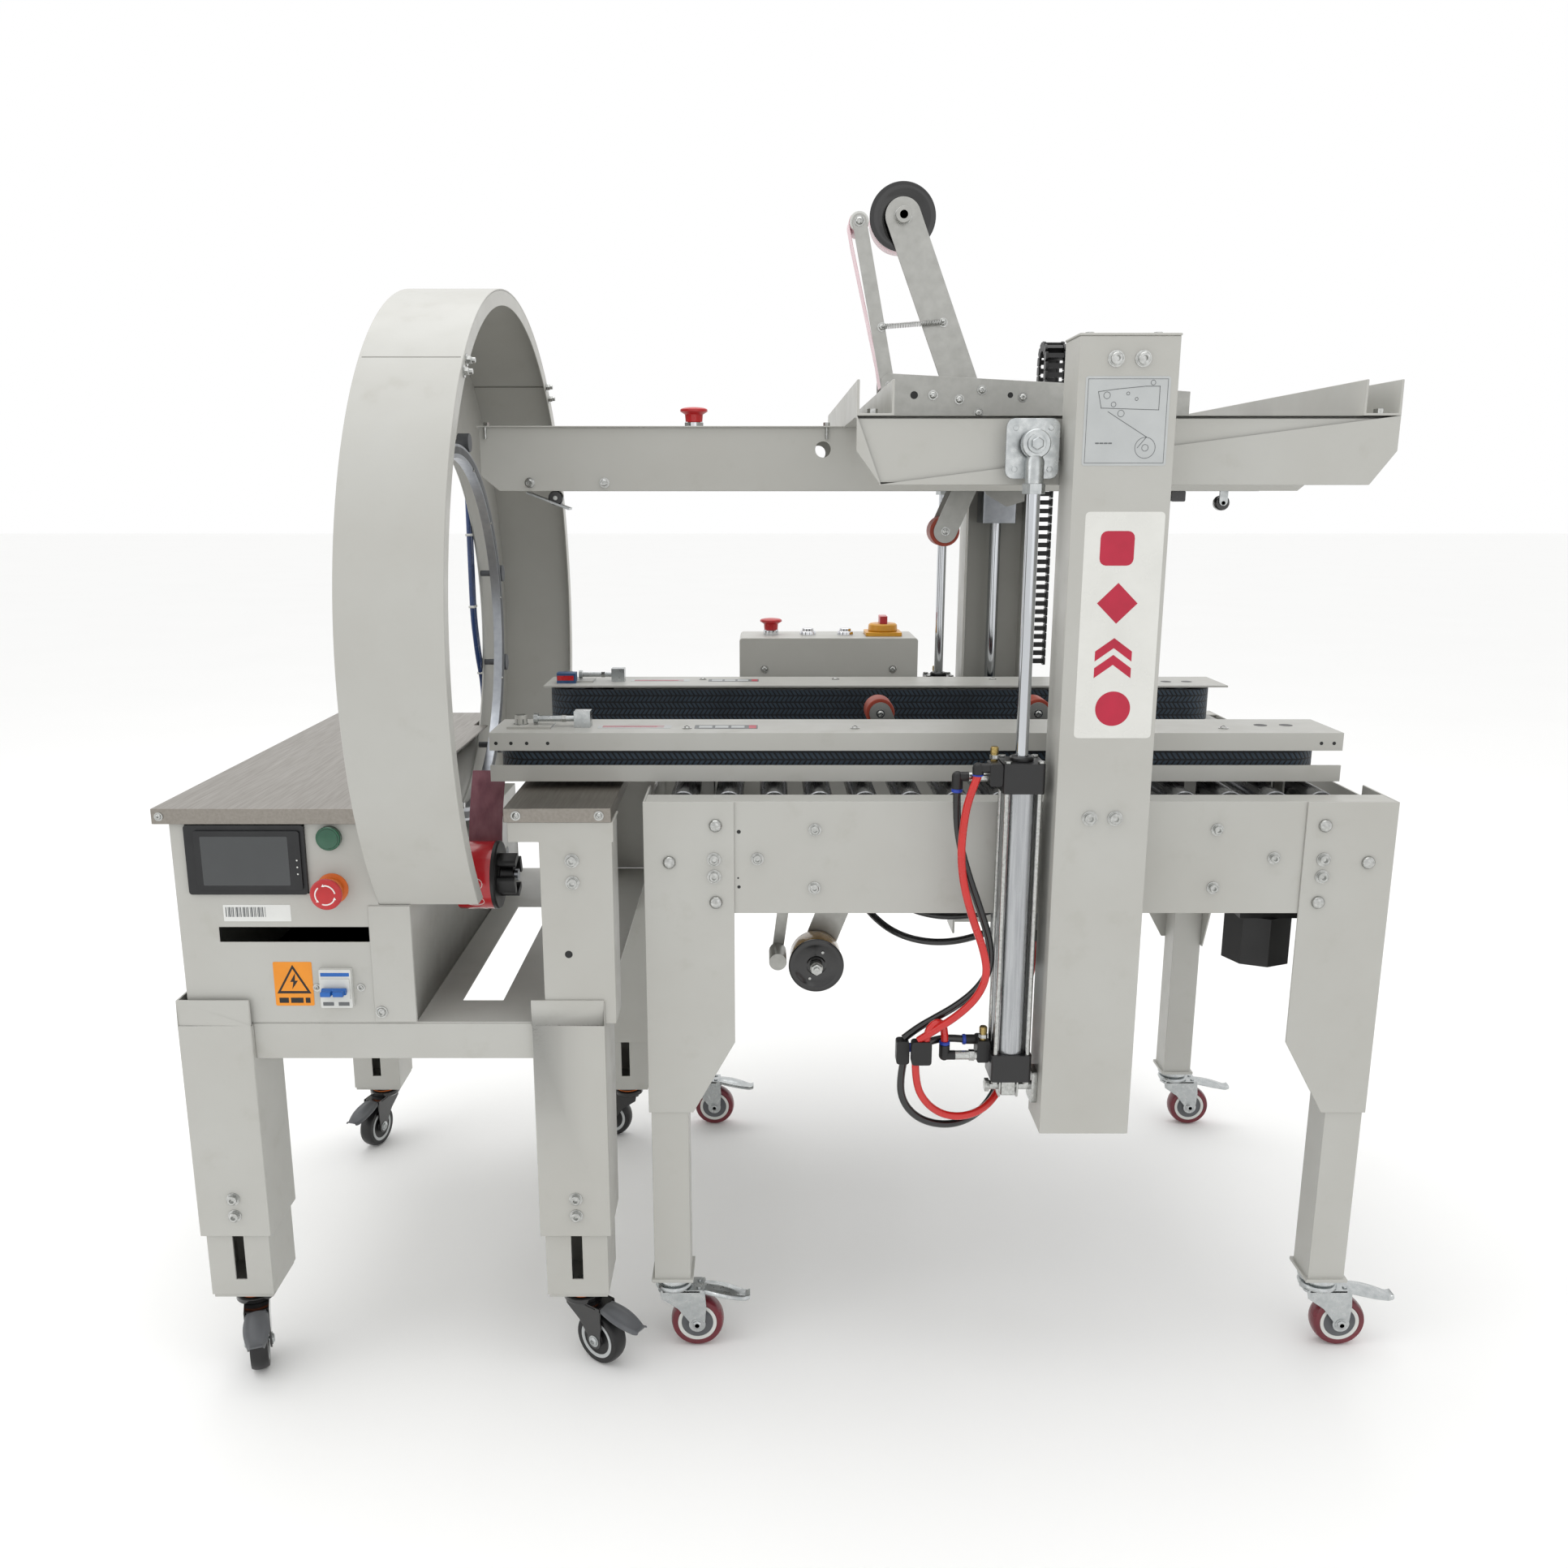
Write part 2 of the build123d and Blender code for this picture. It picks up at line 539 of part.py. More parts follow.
def make_near_arm():
    """Folded housing, core bar, carriages, motor with its hangers and the belt tensioner."""
    y0, y1 = -ARM_OUTER, -ARM_INNER
    top = block(ARM_LEFT, ARM_RIGHT, y0, y1, ARM_TOP - SHEET, ARM_TOP)
    top += block(ARM_LEFT, ARM_RIGHT, y0, y0 + SHEET, ARM_TOP - 24, ARM_TOP)
    base = block(ARM_LEFT, ARM_RIGHT, y0, y1, ARM_LOW, ARM_LOW + SHEET)
    base += block(ARM_LEFT, ARM_RIGHT, y0, y0 + SHEET, ARM_LOW, ARM_LOW + 22)
    core_end = BELT_OUT_R - BELT_THICK + 12
    core = block(IDLER_X + core_end, DRIVE_X - core_end, -PULLEY_Y - 16, -PULLEY_Y + 16,
                 ARM_LOW + SHEET, ARM_TOP - SHEET)
    housing = top + base + core
    housing -= rod_z(ARM_LOW - 1, ARM_LOW + SHEET + 1, DRIVE_X, -PULLEY_Y, DRIVE_SHAFT_R + 1)
    for x in SLIDE_RODS_X:
        housing += block(x - 8, x + 8, -PULLEY_Y - 28, -PULLEY_Y + 28, SLIDE_ROD_Z + 18, ARM_LOW)
        carriage = block(x - 20, x + 20, -PULLEY_Y - 38, -PULLEY_Y + 38, SLIDE_ROD_Z - 18, SLIDE_ROD_Z + 20)
        housing += carriage - rod_y(-PULLEY_Y - 40, -PULLEY_Y + 40, x, SLIDE_ROD_Z, SLIDE_ROD_R + RUN)
    for out in (-1, 1):
        x = DRIVE_X + out * (DRIVE_SHAFT_R + 1)
        housing += block(x, x + out * HANGER, -PULLEY_Y - 28, -PULLEY_Y + 28, MOTOR_TOP, ARM_LOW)
    idler_pin = rod_z(ARM_LOW + SHEET, ARM_TOP - SHEET, IDLER_X, -PULLEY_Y, 8)
    motor = extrude(Pos(DRIVE_X, -PULLEY_Y, MOTOR_BOTTOM) * RegularPolygon(MOTOR_R + 3, 8), 70)
    motor += block(DRIVE_X - 42, DRIVE_X + 42, -PULLEY_Y - 42, -PULLEY_Y + 42, MOTOR_BOTTOM + 70, MOTOR_TOP)
    motor -= rod_z(MOTOR_TOP - 20, MOTOR_TOP + 1, DRIVE_X, -PULLEY_Y, DRIVE_SHAFT_R + RUN)
    nut = block(-322, -300, y0 + 40, y0 + 62, ARM_TOP, ARM_TOP + 22)
    bolt = rod_x(-372, -322, y0 + 51, ARM_TOP + 11, 4) + rod_x(-378, -372, y0 + 51, ARM_TOP + 11, 7)
    slider = block(-412, -352, y0 + 30, y0 + 72, ARM_TOP, ARM_TOP + 3)
    slider += rod_z(ARM_TOP + 3, ARM_TOP + 16, -396, y0 + 51, 8)
    return [housing + idler_pin, motor, nut + bolt, slider]


def belt_loop(y):
    """The closed flat belt round both pulleys."""
    inner_r = BELT_OUT_R - BELT_THICK

    def loop(r, z0, z1):
        shape = block(IDLER_X, DRIVE_X, y - r, y + r, z0, z1)
        return shape + rod_z(z0, z1, IDLER_X, y, r) + rod_z(z0, z1, DRIVE_X, y, r)

    return loop(BELT_OUT_R, BELT_LOW, BELT_HIGH) - loop(inner_r, BELT_LOW - 1, BELT_HIGH + 1)


def drive_pulley(y):
    r = BELT_OUT_R - BELT_THICK - 0.3
    pulley = rod_z(BELT_LOW + 1, BELT_HIGH - 1, DRIVE_X, y, r)
    return pulley + rod_z(MOTOR_TOP - 18, BELT_LOW + 1, DRIVE_X, y, DRIVE_SHAFT_R)


def idler_pulley(y):
    r = BELT_OUT_R - BELT_THICK - 0.3
    pulley = rod_z(BELT_LOW + 1, BELT_HIGH - 1, IDLER_X, y, r)
    return pulley - rod_z(BELT_LOW, BELT_HIGH, IDLER_X, y, 8 + RUN)


# ---------------------------------------------------------------- left unit
SIDE_LEG_X = (SIDE_LEFT + COVER / 2, SIDE_RIGHT - COVER / 2)
SIDE_LEG_Y = (SIDE_FRONT + COVER / 2, SIDE_BACK - COVER / 2)
POST_LEFT, POST_RIGHT = -347.0, -255.0
HEADER_LEFT, HEADER_RIGHT = -386.0, -253.0
BRIDGE_LEFT = -390.0
BRIDGE_LOW = TABLE_TOP - 18
RAIL_LOW = SHELF_Z - 49
RAIL_WIDTH = 40.0


def hollow_rail(x0, x1, y0, y1, along):
    """Box rail between the legs, open at its ends; along is "x" or "y"."""
    rail = block(x0, x1, y0, y1, RAIL_LOW, SHELF_Z)
    if along == "x":
        core = block(x0 - 1, x1 + 1, y0 + SHEET, y1 - SHEET, RAIL_LOW + SHEET, SHELF_Z - SHEET)
    else:
        core = block(x0 + SHEET, x1 - SHEET, y0 - 1, y1 + 1, RAIL_LOW + SHEET, SHELF_Z - SHEET)
    return rail - core


def make_side_frame():
    """Leg covers, rails, shelf, corner lips and the two posts under the bridge table."""
    solids = [square_tube(x, y, COVER, SHEET, COVER_LOW, SHELF_Z) for x in SIDE_LEG_X for y in SIDE_LEG_Y]
    xa, xb = SIDE_LEFT + COVER, SIDE_RIGHT - COVER
    ya, yb = SIDE_FRONT + COVER, SIDE_BACK - COVER
    for y in (CABINET_FRONT, SIDE_BACK - RAIL_WIDTH):
        solids.append(hollow_rail(xa, xb, y, y + RAIL_WIDTH, "x"))
    for x in (SIDE_LEFT + 20, SIDE_RIGHT - 20 - RAIL_WIDTH):
        solids.append(hollow_rail(x, x + RAIL_WIDTH, ya, yb, "y"))
    shelf = block(SIDE_LEFT + 10, SIDE_RIGHT - 5, CABINET_FRONT + 1, SIDE_BACK - 5, SHELF_Z, SHELF_Z + THIN)
    solids.append(shelf - block(-473, -418, -315, 93, SHELF_Z - 1, SHELF_Z + THIN + 1))
    for x, out in zip(SIDE_LEG_X, (-1, 1)):
        edge = x + out * COVER / 2
        lip = block(x - COVER / 2, x + COVER / 2, SIDE_FRONT, SIDE_FRONT + SHEET, SHELF_Z, COVER_TOP)
        lip += block(edge, edge - out * SHEET, SIDE_FRONT, SIDE_FRONT + COVER, SHELF_Z, COVER_TOP)
        solids.append(lip)
    for y, s in ((SIDE_FRONT + SHEET, 1), (SIDE_BACK - SHEET, -1)):
        post = block(POST_LEFT, POST_RIGHT, y, y + s * SHEET, SHELF_Z + THIN, BRIDGE_LOW)
        for x0 in (POST_LEFT, POST_RIGHT - SHEET):
            post += block(x0, x0 + SHEET, y, y + s * 60, SHELF_Z + THIN, BRIDGE_LOW)
        post += block(HEADER_LEFT, HEADER_RIGHT, y, y + s * SHEET, BRIDGE_LOW - 26, BRIDGE_LOW)
        post += block(HEADER_LEFT, HEADER_RIGHT, y, y + s * 60, BRIDGE_LOW - SHEET, BRIDGE_LOW)
        solids.append(post)
    return solids


def make_side_legs():
    legs = []
    for x in SIDE_LEG_X:
        for y in SIDE_LEG_Y:
            tube = square_tube(x, y, INNER_LEG, SHEET, FOOT_TOP, SHELF_Z - 60)
            slot = block(x - 7.5, x + 7.5, y - INNER_LEG / 2 - 1, y - INNER_LEG / 2 + SHEET + 1, 140, 330)
            collar = square_tube(x, y, COVER - 2 * SHEET, (COVER - 2 * SHEET - INNER_LEG) / 2, 260, 300)
            legs.append(tube - slot + foot_plate(x, y, INNER_LEG - 4))
            legs.append(collar)
    return legs


def make_cabinet():
    """Sheet cabinet with a step under the ring cover, a slot, a screen and a breaker body."""
    x0, xs, x1 = CABINET_LEFT, CABINET_STEP, CABINET_RIGHT
    y0, y1 = CABINET_FRONT, CABINET_BACK
    floor, step, top = SHELF_Z + THIN, ARCH_END_Z, TABLE_TOP - APRON
    outline = [(x0, floor), (x1, floor), (x1, step), (xs, step), (xs, top), (x0, top)]
    front = plate_y(outline, y0, y0 + THIN) - block(-762, -570, y0 - 1, y0 + THIN + 1, 625, 645)
    back = plate_y(outline, y1 - THIN, y1)
    ya, yb = y0 + THIN, y1 - THIN
    walls = [block(x0, x1, ya, yb, floor, floor + THIN), block(x0, x0 + THIN, ya, yb, floor + THIN, top),
             block(x1 - THIN, x1, ya, yb, floor + THIN, step), block(x0 + THIN, xs, ya, yb, top - THIN, top),
             block(xs - THIN, x1 - THIN, ya, yb, step - THIN, step),
             block(xs - THIN, xs, ya, yb, step, top - THIN)]
    screen = block(-793, -642, y0 - 8, y0, 690, 781)
    breaker = block(-636, -595, y0 - 10, y0, 538, 590)
    green = rod_y(y0 - 8, y0, -611, 764, 15.5) - rod_y(y0 - 9, y0 - 4, -611, 764, 13)
    collar = rod_y(y0 - 10, y0, -612, 697, 15) - rod_y(y0 - 11, y0 - 1, -612, 697, 10)
    return [front, back, *walls, screen, breaker, green, collar]


def make_tables():
    """Outfeed table with aprons, its tongue through the ring, and the bridge table."""
    top = block(TABLE_LEFT, TABLE_RIGHT, TABLE_FRONT, TABLE_BACK, TABLE_TOP - APRON, TABLE_TOP)
    top -= block(TABLE_LEFT + THIN, TABLE_RIGHT - THIN, TABLE_FRONT + THIN, TABLE_BACK - THIN,
                 TABLE_TOP - APRON - 1, TABLE_TOP - THIN)
    top += block(TABLE_RIGHT - 5, TABLE_RIGHT + 24, -200, 200, TABLE_TOP - THIN, TABLE_TOP)
    x0, x1, y0, y1 = BRIDGE_LEFT, POST_RIGHT, SIDE_FRONT + GAP, SIDE_BACK
    bridge = block(x0, x1, y0, y1, BRIDGE_LOW, TABLE_TOP)
    bridge -= block(x0 + THIN, x1 - THIN, y0 + THIN, y1 - THIN, BRIDGE_LOW - 1, TABLE_TOP - THIN)
    return [top, bridge]


def ring_x(x0, x1, outer, inner):
    """A flat annulus round the ring's axis."""
    return rod_x(x0, x1, 0, PATH_HEIGHT, outer) - rod_x(x0 - 1, x1 + 1, 0, PATH_HEIGHT, inner)


GUIDE_WHEEL_R = 14.0
ARCH_LIP = 22.0
BACK_PLATE_R = 290.0
WELD = 0.2                   # seam between the rim and the sheets inside it


def make_arch():
    """The rim, the near flange and the back plate of the ring cover, cut off level below."""
    x0, x1 = CABINET_STEP, ARCH_RIGHT
    below = block(x0 - 1, x1 + 1, -ARCH_R - 1, ARCH_R + 1, PATH_HEIGHT - ARCH_R - 1, ARCH_END_Z)
    inside = ARCH_R - THIN - WELD
    sheets = [ring_x(x0, x1, ARCH_R, ARCH_R - THIN), ring_x(x1 - THIN, x1, inside, ARCH_R - ARCH_LIP),
              ring_x(x0, x0 + SHEET, inside, BACK_PLATE_R)]
    solids = [sheet - below for sheet in sheets]
    orbit = RING_OUT_R + GUIDE_WHEEL_R + 0.3
    for angle in (15, 75, 135, 165, 225, 315, 345):
        y = orbit * math.cos(math.radians(angle))
        z = PATH_HEIGHT + orbit * math.sin(math.radians(angle))
        wheel = rod_x(RING_X[0] - 2, RING_X[1] + 2, y, z, GUIDE_WHEEL_R)
        solids.append(wheel + rod_x(x0 + SHEET, RING_X[0], y, z, 5))
    return solids


def on_orbit(radius, degrees=RING_ROLL_ANGLE):
    a = math.radians(degrees)
    return radius * math.cos(a), PATH_HEIGHT + radius * math.sin(a)


def make_tape_ring():
    """Rotating ring with the bar that carries the tape roll's axle and a guide roller."""
    ring = ring_x(*RING_X, RING_OUT_R, RING_IN_R)
    face = RING_X[1]
    y0, z0 = on_orbit(RING_OUT_R - 12)
    y1, z1 = on_orbit(RING_ROLL_ORBIT)
    run = math.hypot(y1 - y0, z1 - z0)
    ny, nz = -(z1 - z0) / run * 18, (y1 - y0) / run * 18
    bar = plate_x([(y0 + ny, z0 + nz), (y1 + ny, z1 + nz), (y1 - ny, z1 - nz), (y0 - ny, z0 - nz)], face + 4, face + 9)
    bar += rod_x(face, face + 4, *on_orbit(RING_OUT_R - 10), 7)
    bar += rod_x(face + 4, ARCH_RIGHT + 34, y1, z1, 8)
    y2, z2 = on_orbit(RING_OUT_R + 60, RING_ROLL_ANGLE + 16)
    ym, zm = on_orbit(RING_OUT_R + 40)
    bar += plate_x([(ym - 12, zm - 12), (y2 - 10, z2 - 12), (y2 + 10, z2 + 10), (ym + 12, zm + 12)], face + 4, face + 9)
    bar += rod_x(face + 9, ARCH_RIGHT - 6, y2, z2, 11)
    return ring + bar


def make_ring_roll():
    """Tape roll and its hub on the ring's axle."""
    y, z = on_orbit(RING_ROLL_ORBIT)
    x0 = -471.0
    roll = rod_x(x0, ARCH_RIGHT + 10, y, z, RING_ROLL_R) + rod_x(ARCH_RIGHT + 10, ARCH_RIGHT + 34, y, z, 30)
    return roll - rod_x(x0 - 1, ARCH_RIGHT + 40, y, z, 8 + RUN)


# ---------------------------------------------------------------- controls
def estop_head(x, y, z):
    """Mushroom head and stem, pressed down 4 mm."""
    cap = Pos(x, y, z + 21) * Cone(17, 20, 10)
    return cap + rod_z(z + STOP_TRAVEL + 1.5, z + 16, x, y, 10 - RUN)


def estop_collar(x, y, z):
    return rod_z(z, z + 10, x, y, 14) - rod_z(z + 1, z + 11, x, y, 10)


BEAM_STOP = (-166.0, 0.0, HEAD_HIGH + THIN)
BOX_STOP = (-50.0, BOX_CONTROL_Y, BOX_TOP)
BOX_BUTTONS_X = (18.0, 87.0)
ISOLATOR_X = 156.0


def make_control_box():
    """Folded box behind the bed with the fixed collars and the isolator's square plate."""
    y0 = BED_HALF
    box = block(BOX_LEFT, BOX_RIGHT, y0, BOX_BACK, BOX_LOW, BOX_TOP)
    box = fillet(box.edges().filter_by(Axis.Y), 6)
    solids = [box, block(BOX_LEFT + 20, BOX_RIGHT - 20, WEB_OUT, y0, BOX_LOW + 10, BED_TOP - 10)]
    solids.append(estop_collar(*BOX_STOP))
    for x in BOX_BUTTONS_X:
        solids.append(rod_z(BOX_TOP, BOX_TOP + 7, x, BOX_CONTROL_Y, 14.5)
                      - rod_z(BOX_TOP + 1, BOX_TOP + 8, x, BOX_CONTROL_Y, 11))
    x, y = ISOLATOR_X, BOX_CONTROL_Y
    solids.append(block(x - 33, x + 33, y - 33, y + 33, BOX_TOP, BOX_TOP + 7))
    return solids


def make_button(x):
    return rod_z(BOX_TOP + 5, BOX_TOP + 12, x, BOX_CONTROL_Y, 11 - RUN)


def make_isolator_knob():
    z = BOX_TOP + 7 + 0.3
    knob = rod_z(z, z + 14, ISOLATOR_X, BOX_CONTROL_Y, 27)
    return knob + block(ISOLATOR_X - 7, ISOLATOR_X + 7, BOX_CONTROL_Y - 20, BOX_CONTROL_Y + 20, z + 14, z + 28)


def make_cabinet_stop():
    y = CABINET_FRONT
    cap = Pos(-612, y - 21, 697) * Rot(90, 0, 0) * Cone(17, 20, 10)
    return cap + rod_y(y - 16, y - STOP_TRAVEL - 1.5, -612, 697, 10 - RUN)


def make_start_button():
    y = CABINET_FRONT
    return rod_y(y - 9, y - 7, -611, 764, 13 - RUN)


def make_breaker_lever():
    y = CABINET_FRONT - 15
    lever = rod_x(-631, -600, y, 563, 4.5)
    return lever + block(-629, -602, y - 11, y, 561, 565.5)


# ---------------------------------------------------------------- casters
def make_caster(x, y, degrees):
    """Swivel fork with its pedal, and the wheel; the wheel trails along +X before turning."""
    fork = rod_z(WHEEL_R * 2 + 29, FOOT_TOP - FOOT_PLATE - GAP, 0, 0, 27)
    fork += rod_z(WHEEL_R * 2 + 17, WHEEL_R * 2 + 29, 0, 0, 21)
    fork += rod_z(FOOT_TOP - FOOT_PLATE - GAP, FOOT_TOP, 0, 0, 6)
    half = WHEEL_WIDTH / 2 + 2
    fork += block(-24, 44, -half - 2.5, half + 2.5, WHEEL_R * 2 + 12, WHEEL_R * 2 + 17)
    cheek_points = [(-24, 90), (44, 90), (TRAIL + 13, WHEEL_R), (TRAIL + 6, WHEEL_R - 12), (TRAIL - 6, WHEEL_R - 12),
                    (TRAIL - 13, WHEEL_R + 4), (-18, 78)]
    for s in (-1, 1):
        fork += plate_y(cheek_points, *sorted((s * half, s * (half + 2.5))))
    fork += rod_y(-half - 8, half + 8, TRAIL, WHEEL_R, AXLE_R)
    pedal = plate_y([(40, 92), (66, 92), (PEDAL_REACH, 76), (PEDAL_REACH, 71), (64, 84), (40, 84)], -15, 15)
    wheel = rod_y(-WHEEL_WIDTH / 2, WHEEL_WIDTH / 2, TRAIL, WHEEL_R, WHEEL_R)
    wheel -= rod_y(-WHEEL_WIDTH, WHEEL_WIDTH, TRAIL, WHEEL_R, AXLE_R + RUN)
    place = Pos(x, y, 0) * Rot(0, 0, degrees)
    return place * (fork + pedal), place * wheel


CASTERS = {
    "bed_near_left": (BED_LEG_X[0], -BED_LEG_Y, 0),
    "bed_near_right": (BED_LEG_X[1], -BED_LEG_Y, 0),
    "bed_far_left": (BED_LEG_X[0], BED_LEG_Y, 0),
    "bed_far_right": (BED_LEG_X[1], BED_LEG_Y, 0),
    "side_near_left": (SIDE_LEG_X[0], SIDE_LEG_Y[0], -70),
    "side_near_right": (SIDE_LEG_X[1], SIDE_LEG_Y[0], -35),
    "side_far_left": (SIDE_LEG_X[0], SIDE_LEG_Y[1], 252),
    "side_far_right": (SIDE_LEG_X[1], SIDE_LEG_Y[1], 170),
}


# ---------------------------------------------------------------- fasteners
def dome_near(x, z, y, r=7):
    """A button-head bolt on a face that looks towards -Y, with a washer."""
    return rod_y(y - 2, y, x, z, r + 2) + rod_y(y - 7, y - 2, x, z, r)


def make_bolts():
    """Bolt heads on the fixed panels, brackets, columns and posts, near and far side."""
    bolts = []
    face = -BED_HALF
    for x, z in ((BED_LEFT + 93, 771), (BED_LEFT + 33, 722), (BED_LEFT + 91, 726), (BED_LEFT + 91, 703),
                 (BED_LEFT + 93, 668)):
        near = dome_near(x, z, face)
        bolts.extend([near, mirror_bed(near)])
        if x < BED_LEFT + 92.5 and z > 700:
            bolts.extend([mirror_y(near), mirror_y(mirror_bed(near))])
    for x, z in ((2, 765), (-72, 726), (2, 687), (520, 765), (596, 727), (520, 687)):
        near = dome_near(x, z, -WEB_OUT, 6)
        bolts.append(near)
        if x > 300:
            bolts.append(mirror_y(near))
    for x in (COLUMN_LEFT + 42, COLUMN_LEFT + 73):
        for z in (BED_TOP - 4, COLUMN_TOP - 25):
            bolts.extend(both(dome_near(x, z, -COLUMN_OUT, 7)))
    for x in (COLUMN_LEFT + 18, COLUMN_RIGHT - 18):
        bolts.extend(both(rod_z(COLUMN_TOP + SHEET, COLUMN_TOP + SHEET + 5, x, -COLUMN_OUT + 30, 5)))
    for z in (735, 706):
        bolts.append(dome_near((POST_LEFT + POST_RIGHT) / 2 - 5, z, SIDE_FRONT + SHEET, 7))
    for x in SIDE_LEG_X:
        for z in (265, 240):
            bolts.append(dome_near(x + 2, z, SIDE_FRONT, 7))
    return bolts


# ---------------------------------------------------------------- air hoses
HOSE_ROUTES = {
    "hose_red": [
        [(201, -403, 846), (190, -405, 818), (184, -409, 783), (182, -411, 745), (187, -413, 706),
         (199, -417, 664), (214, -420, 624), (220, -419, 590), (208, -415, 558), (184, -408, 530),
         (157, -403, 509), (137, -401, 494)],
        [(134, -400, 462), (135, -400, 433), (148, -399, 406), (171, -396, 387), (200, -391, 381),
         (229, -381, 387), (252, -364, 405), (267, -345, 430), (277, -328, 461), (286, -314, 495),
         (296, -303, 529), (305, -295, 561), (311, -290, 592)],
        [(147, -401, 494), (149, -401, 508), (157, -400, 518), (167, -396, 517), (172, -391, 505),
         (173, -388, 488)],
    ],
    "hose_black": [
        [(178, -388, 822), (178, -391, 792), (183, -395, 755), (195, -398, 714), (211, -401, 671),
         (225, -402, 628), (227, -400, 592), (212, -395, 562), (187, -387, 536), (160, -380, 516),
         (137, -378, 501), (120, -381, 488)],
        [(120, -385, 456), (115, -388, 428), (121, -390, 400), (140, -390, 379), (167, -387, 368),
         (196, -380, 366), (224, -367, 374), (246, -349, 390), (261, -330, 414), (271, -312, 444),
         (281, -297, 480), (293, -285, 518), (307, -274, 556), (320, -266, 592)],
        [(130, -382, 476), (148, -378, 480), (167, -373, 484), (186, -372, 485), (201, -374, 484)],
        [(300, -212, 620), (282, -208, 613), (250, -201, 600), (215, -191, 592), (180, -179, 590),
         (146, -163, 596), (117, -142, 609), (96, -117, 625), (86, -90, 641), (81, -64, 652), (80, -42, 656)],
        [(300, -240, 606), (280, -236, 597), (244, -227, 577), (205, -215, 562), (165, -199, 557),
         (127, -179, 563), (97, -154, 580), (76, -125, 603), (66, -94, 627), (61, -65, 644), (60, -42, 652)],
    ],
}


def hose(points):
    """A tube of straight runs joined by tangent arcs; prints its bend radii and length."""
    corners = [Vector(*p) for p in points]
    radii = []
    for a, b, c in zip(corners, corners[1:], corners[2:]):
        turn = math.radians((b - a).get_angle(c - b))
        shorter = min((b - a).length, (c - b).length)
        radii.append(0.45 * shorter / math.tan(turn / 2))
    path = FilletPolyline(*corners, radius=radii)
    section = Plane(path @ 0, z_dir=path % 0) * Circle(HOSE_R)
    tube = sweep(section, path=path)
    share = tube.volume / (path.length * math.pi * HOSE_R ** 2)
    print("hose", [round(r) for r in radii], "length", round(path.length), "volume share", round(share, 4))
    return tube


def make_tee():
    """Y-connectors that the hoses meet at, one for each colour."""
    red = block(128, 154, -408, -394, 462, 494)
    black = block(110, 127, -392, -375, 456, 488) + rod_x(126, 130, -382, 476, 6.5)
    return [red, black]


# ---------------------------------------------------------------- assembly
node("bed_frame", make_bed_frame(), make_slide_rods())
near_bracket = make_corner_bracket()
node("corner_brackets", both(near_bracket), both(mirror_bed(near_bracket)))
node("leg_tubes", make_bed_legs(), make_side_legs())
node("bed_rollers", make_bed_rollers())
node("lift_columns", *[both(shape) for shape in make_near_column()])
node("air_cylinders", make_cylinders(), make_air_block(), make_tee())
node("side_frame", make_side_frame())
node("cabinet", make_cabinet())
node("table_tops", make_tables())
node("arch_cover", make_arch())
node("control_box", make_control_box())
node("frame_bolts", make_bolts())
node("bottom_head", make_bottom_head())
for name, routes in HOSE_ROUTES.items():
    node(name, [hose(points) for points in routes])

node("head_frame", make_head_frame())
node("centre_beam", make_centre_beam(), estop_collar(*BEAM_STOP))
node("lift_rods", make_lift_rods())
node("top_head", make_top_head())
node("top_front_arm", press_arm(TOP_PIVOT, TOP_ROLLER))
node("top_rear_arm", press_arm((TOP_PIVOT[0] + PRESS_PITCH, TOP_PIVOT[1]),
                               (TOP_ROLLER[0] + PRESS_PITCH, TOP_ROLLER[1])))
node("top_roll", tape_roll(ROLL_X, ROLL_Z, ROLL_R, TAPE_WIDTH / 2))
node("tension_arm", make_tension_arm())
node("bottom_front_arm", press_arm(LOW_PIVOT, LOW_ROLLER))
node("bottom_rear_arm", press_arm((LOW_PIVOT[0] + PRESS_PITCH, LOW_PIVOT[1]),
                                  (LOW_ROLLER[0] + PRESS_PITCH, LOW_ROLLER[1])))
node("bottom_roll", tape_roll(*LOW_ROLL, LOW_ROLL_R, TAPE_WIDTH / 2))

near_arm = make_near_arm()
node("near_belt_arm", near_arm)
node("far_belt_arm", [mirror_y(shape) for shape in near_arm])
for side, y in (("near", -PULLEY_Y), ("far", PULLEY_Y)):
    node(side + "_belt", belt_loop(y))
    node(side + "_drive_pulley", drive_pulley(y))
    node(side + "_idler_pulley", idler_pulley(y))

node("tape_ring", make_tape_ring())
node("ring_roll", make_ring_roll())

node("beam_stop_button", estop_head(*BEAM_STOP))
node("box_stop_button", estop_head(*BOX_STOP))
node("cabinet_stop_button", make_cabinet_stop())
node("start_button", make_start_button())
for name, x in zip(("box_button_1", "box_button_2"), BOX_BUTTONS_X):
    node(name, make_button(x))
node("isolator_knob", make_isolator_knob())
node("breaker_lever", make_breaker_lever())
for name, place in CASTERS.items():
    fork, wheel = make_caster(*place)
    node("fork_" + name, fork)
    node("wheel_" + name, wheel)

os.makedirs("parts", exist_ok=True)
low, high = [1e9] * 3, [-1e9] * 3
for name, solids in NODES.items():
    shape = Compound(children=list(solids))
    export_step(shape, f"parts/{name}.step")
    box = shape.bounding_box()
    low = [min(a, b) for a, b in zip(low, tuple(box.min))]
    high = [max(a, b) for a, b in zip(high, tuple(box.max))]
print(len(NODES), "nodes, outline", [round(v, 2) for v in low], [round(v, 2) for v in high])
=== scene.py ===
"""Dresses a side-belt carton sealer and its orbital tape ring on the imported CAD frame.

Everything is in metres in the frame's own axes: +X towards the infeed end, +Y to the far side, +Z up.
Folded sheets are the CAD solids with their edges eased; turned, moulded and woven parts are new surfaces.
"""

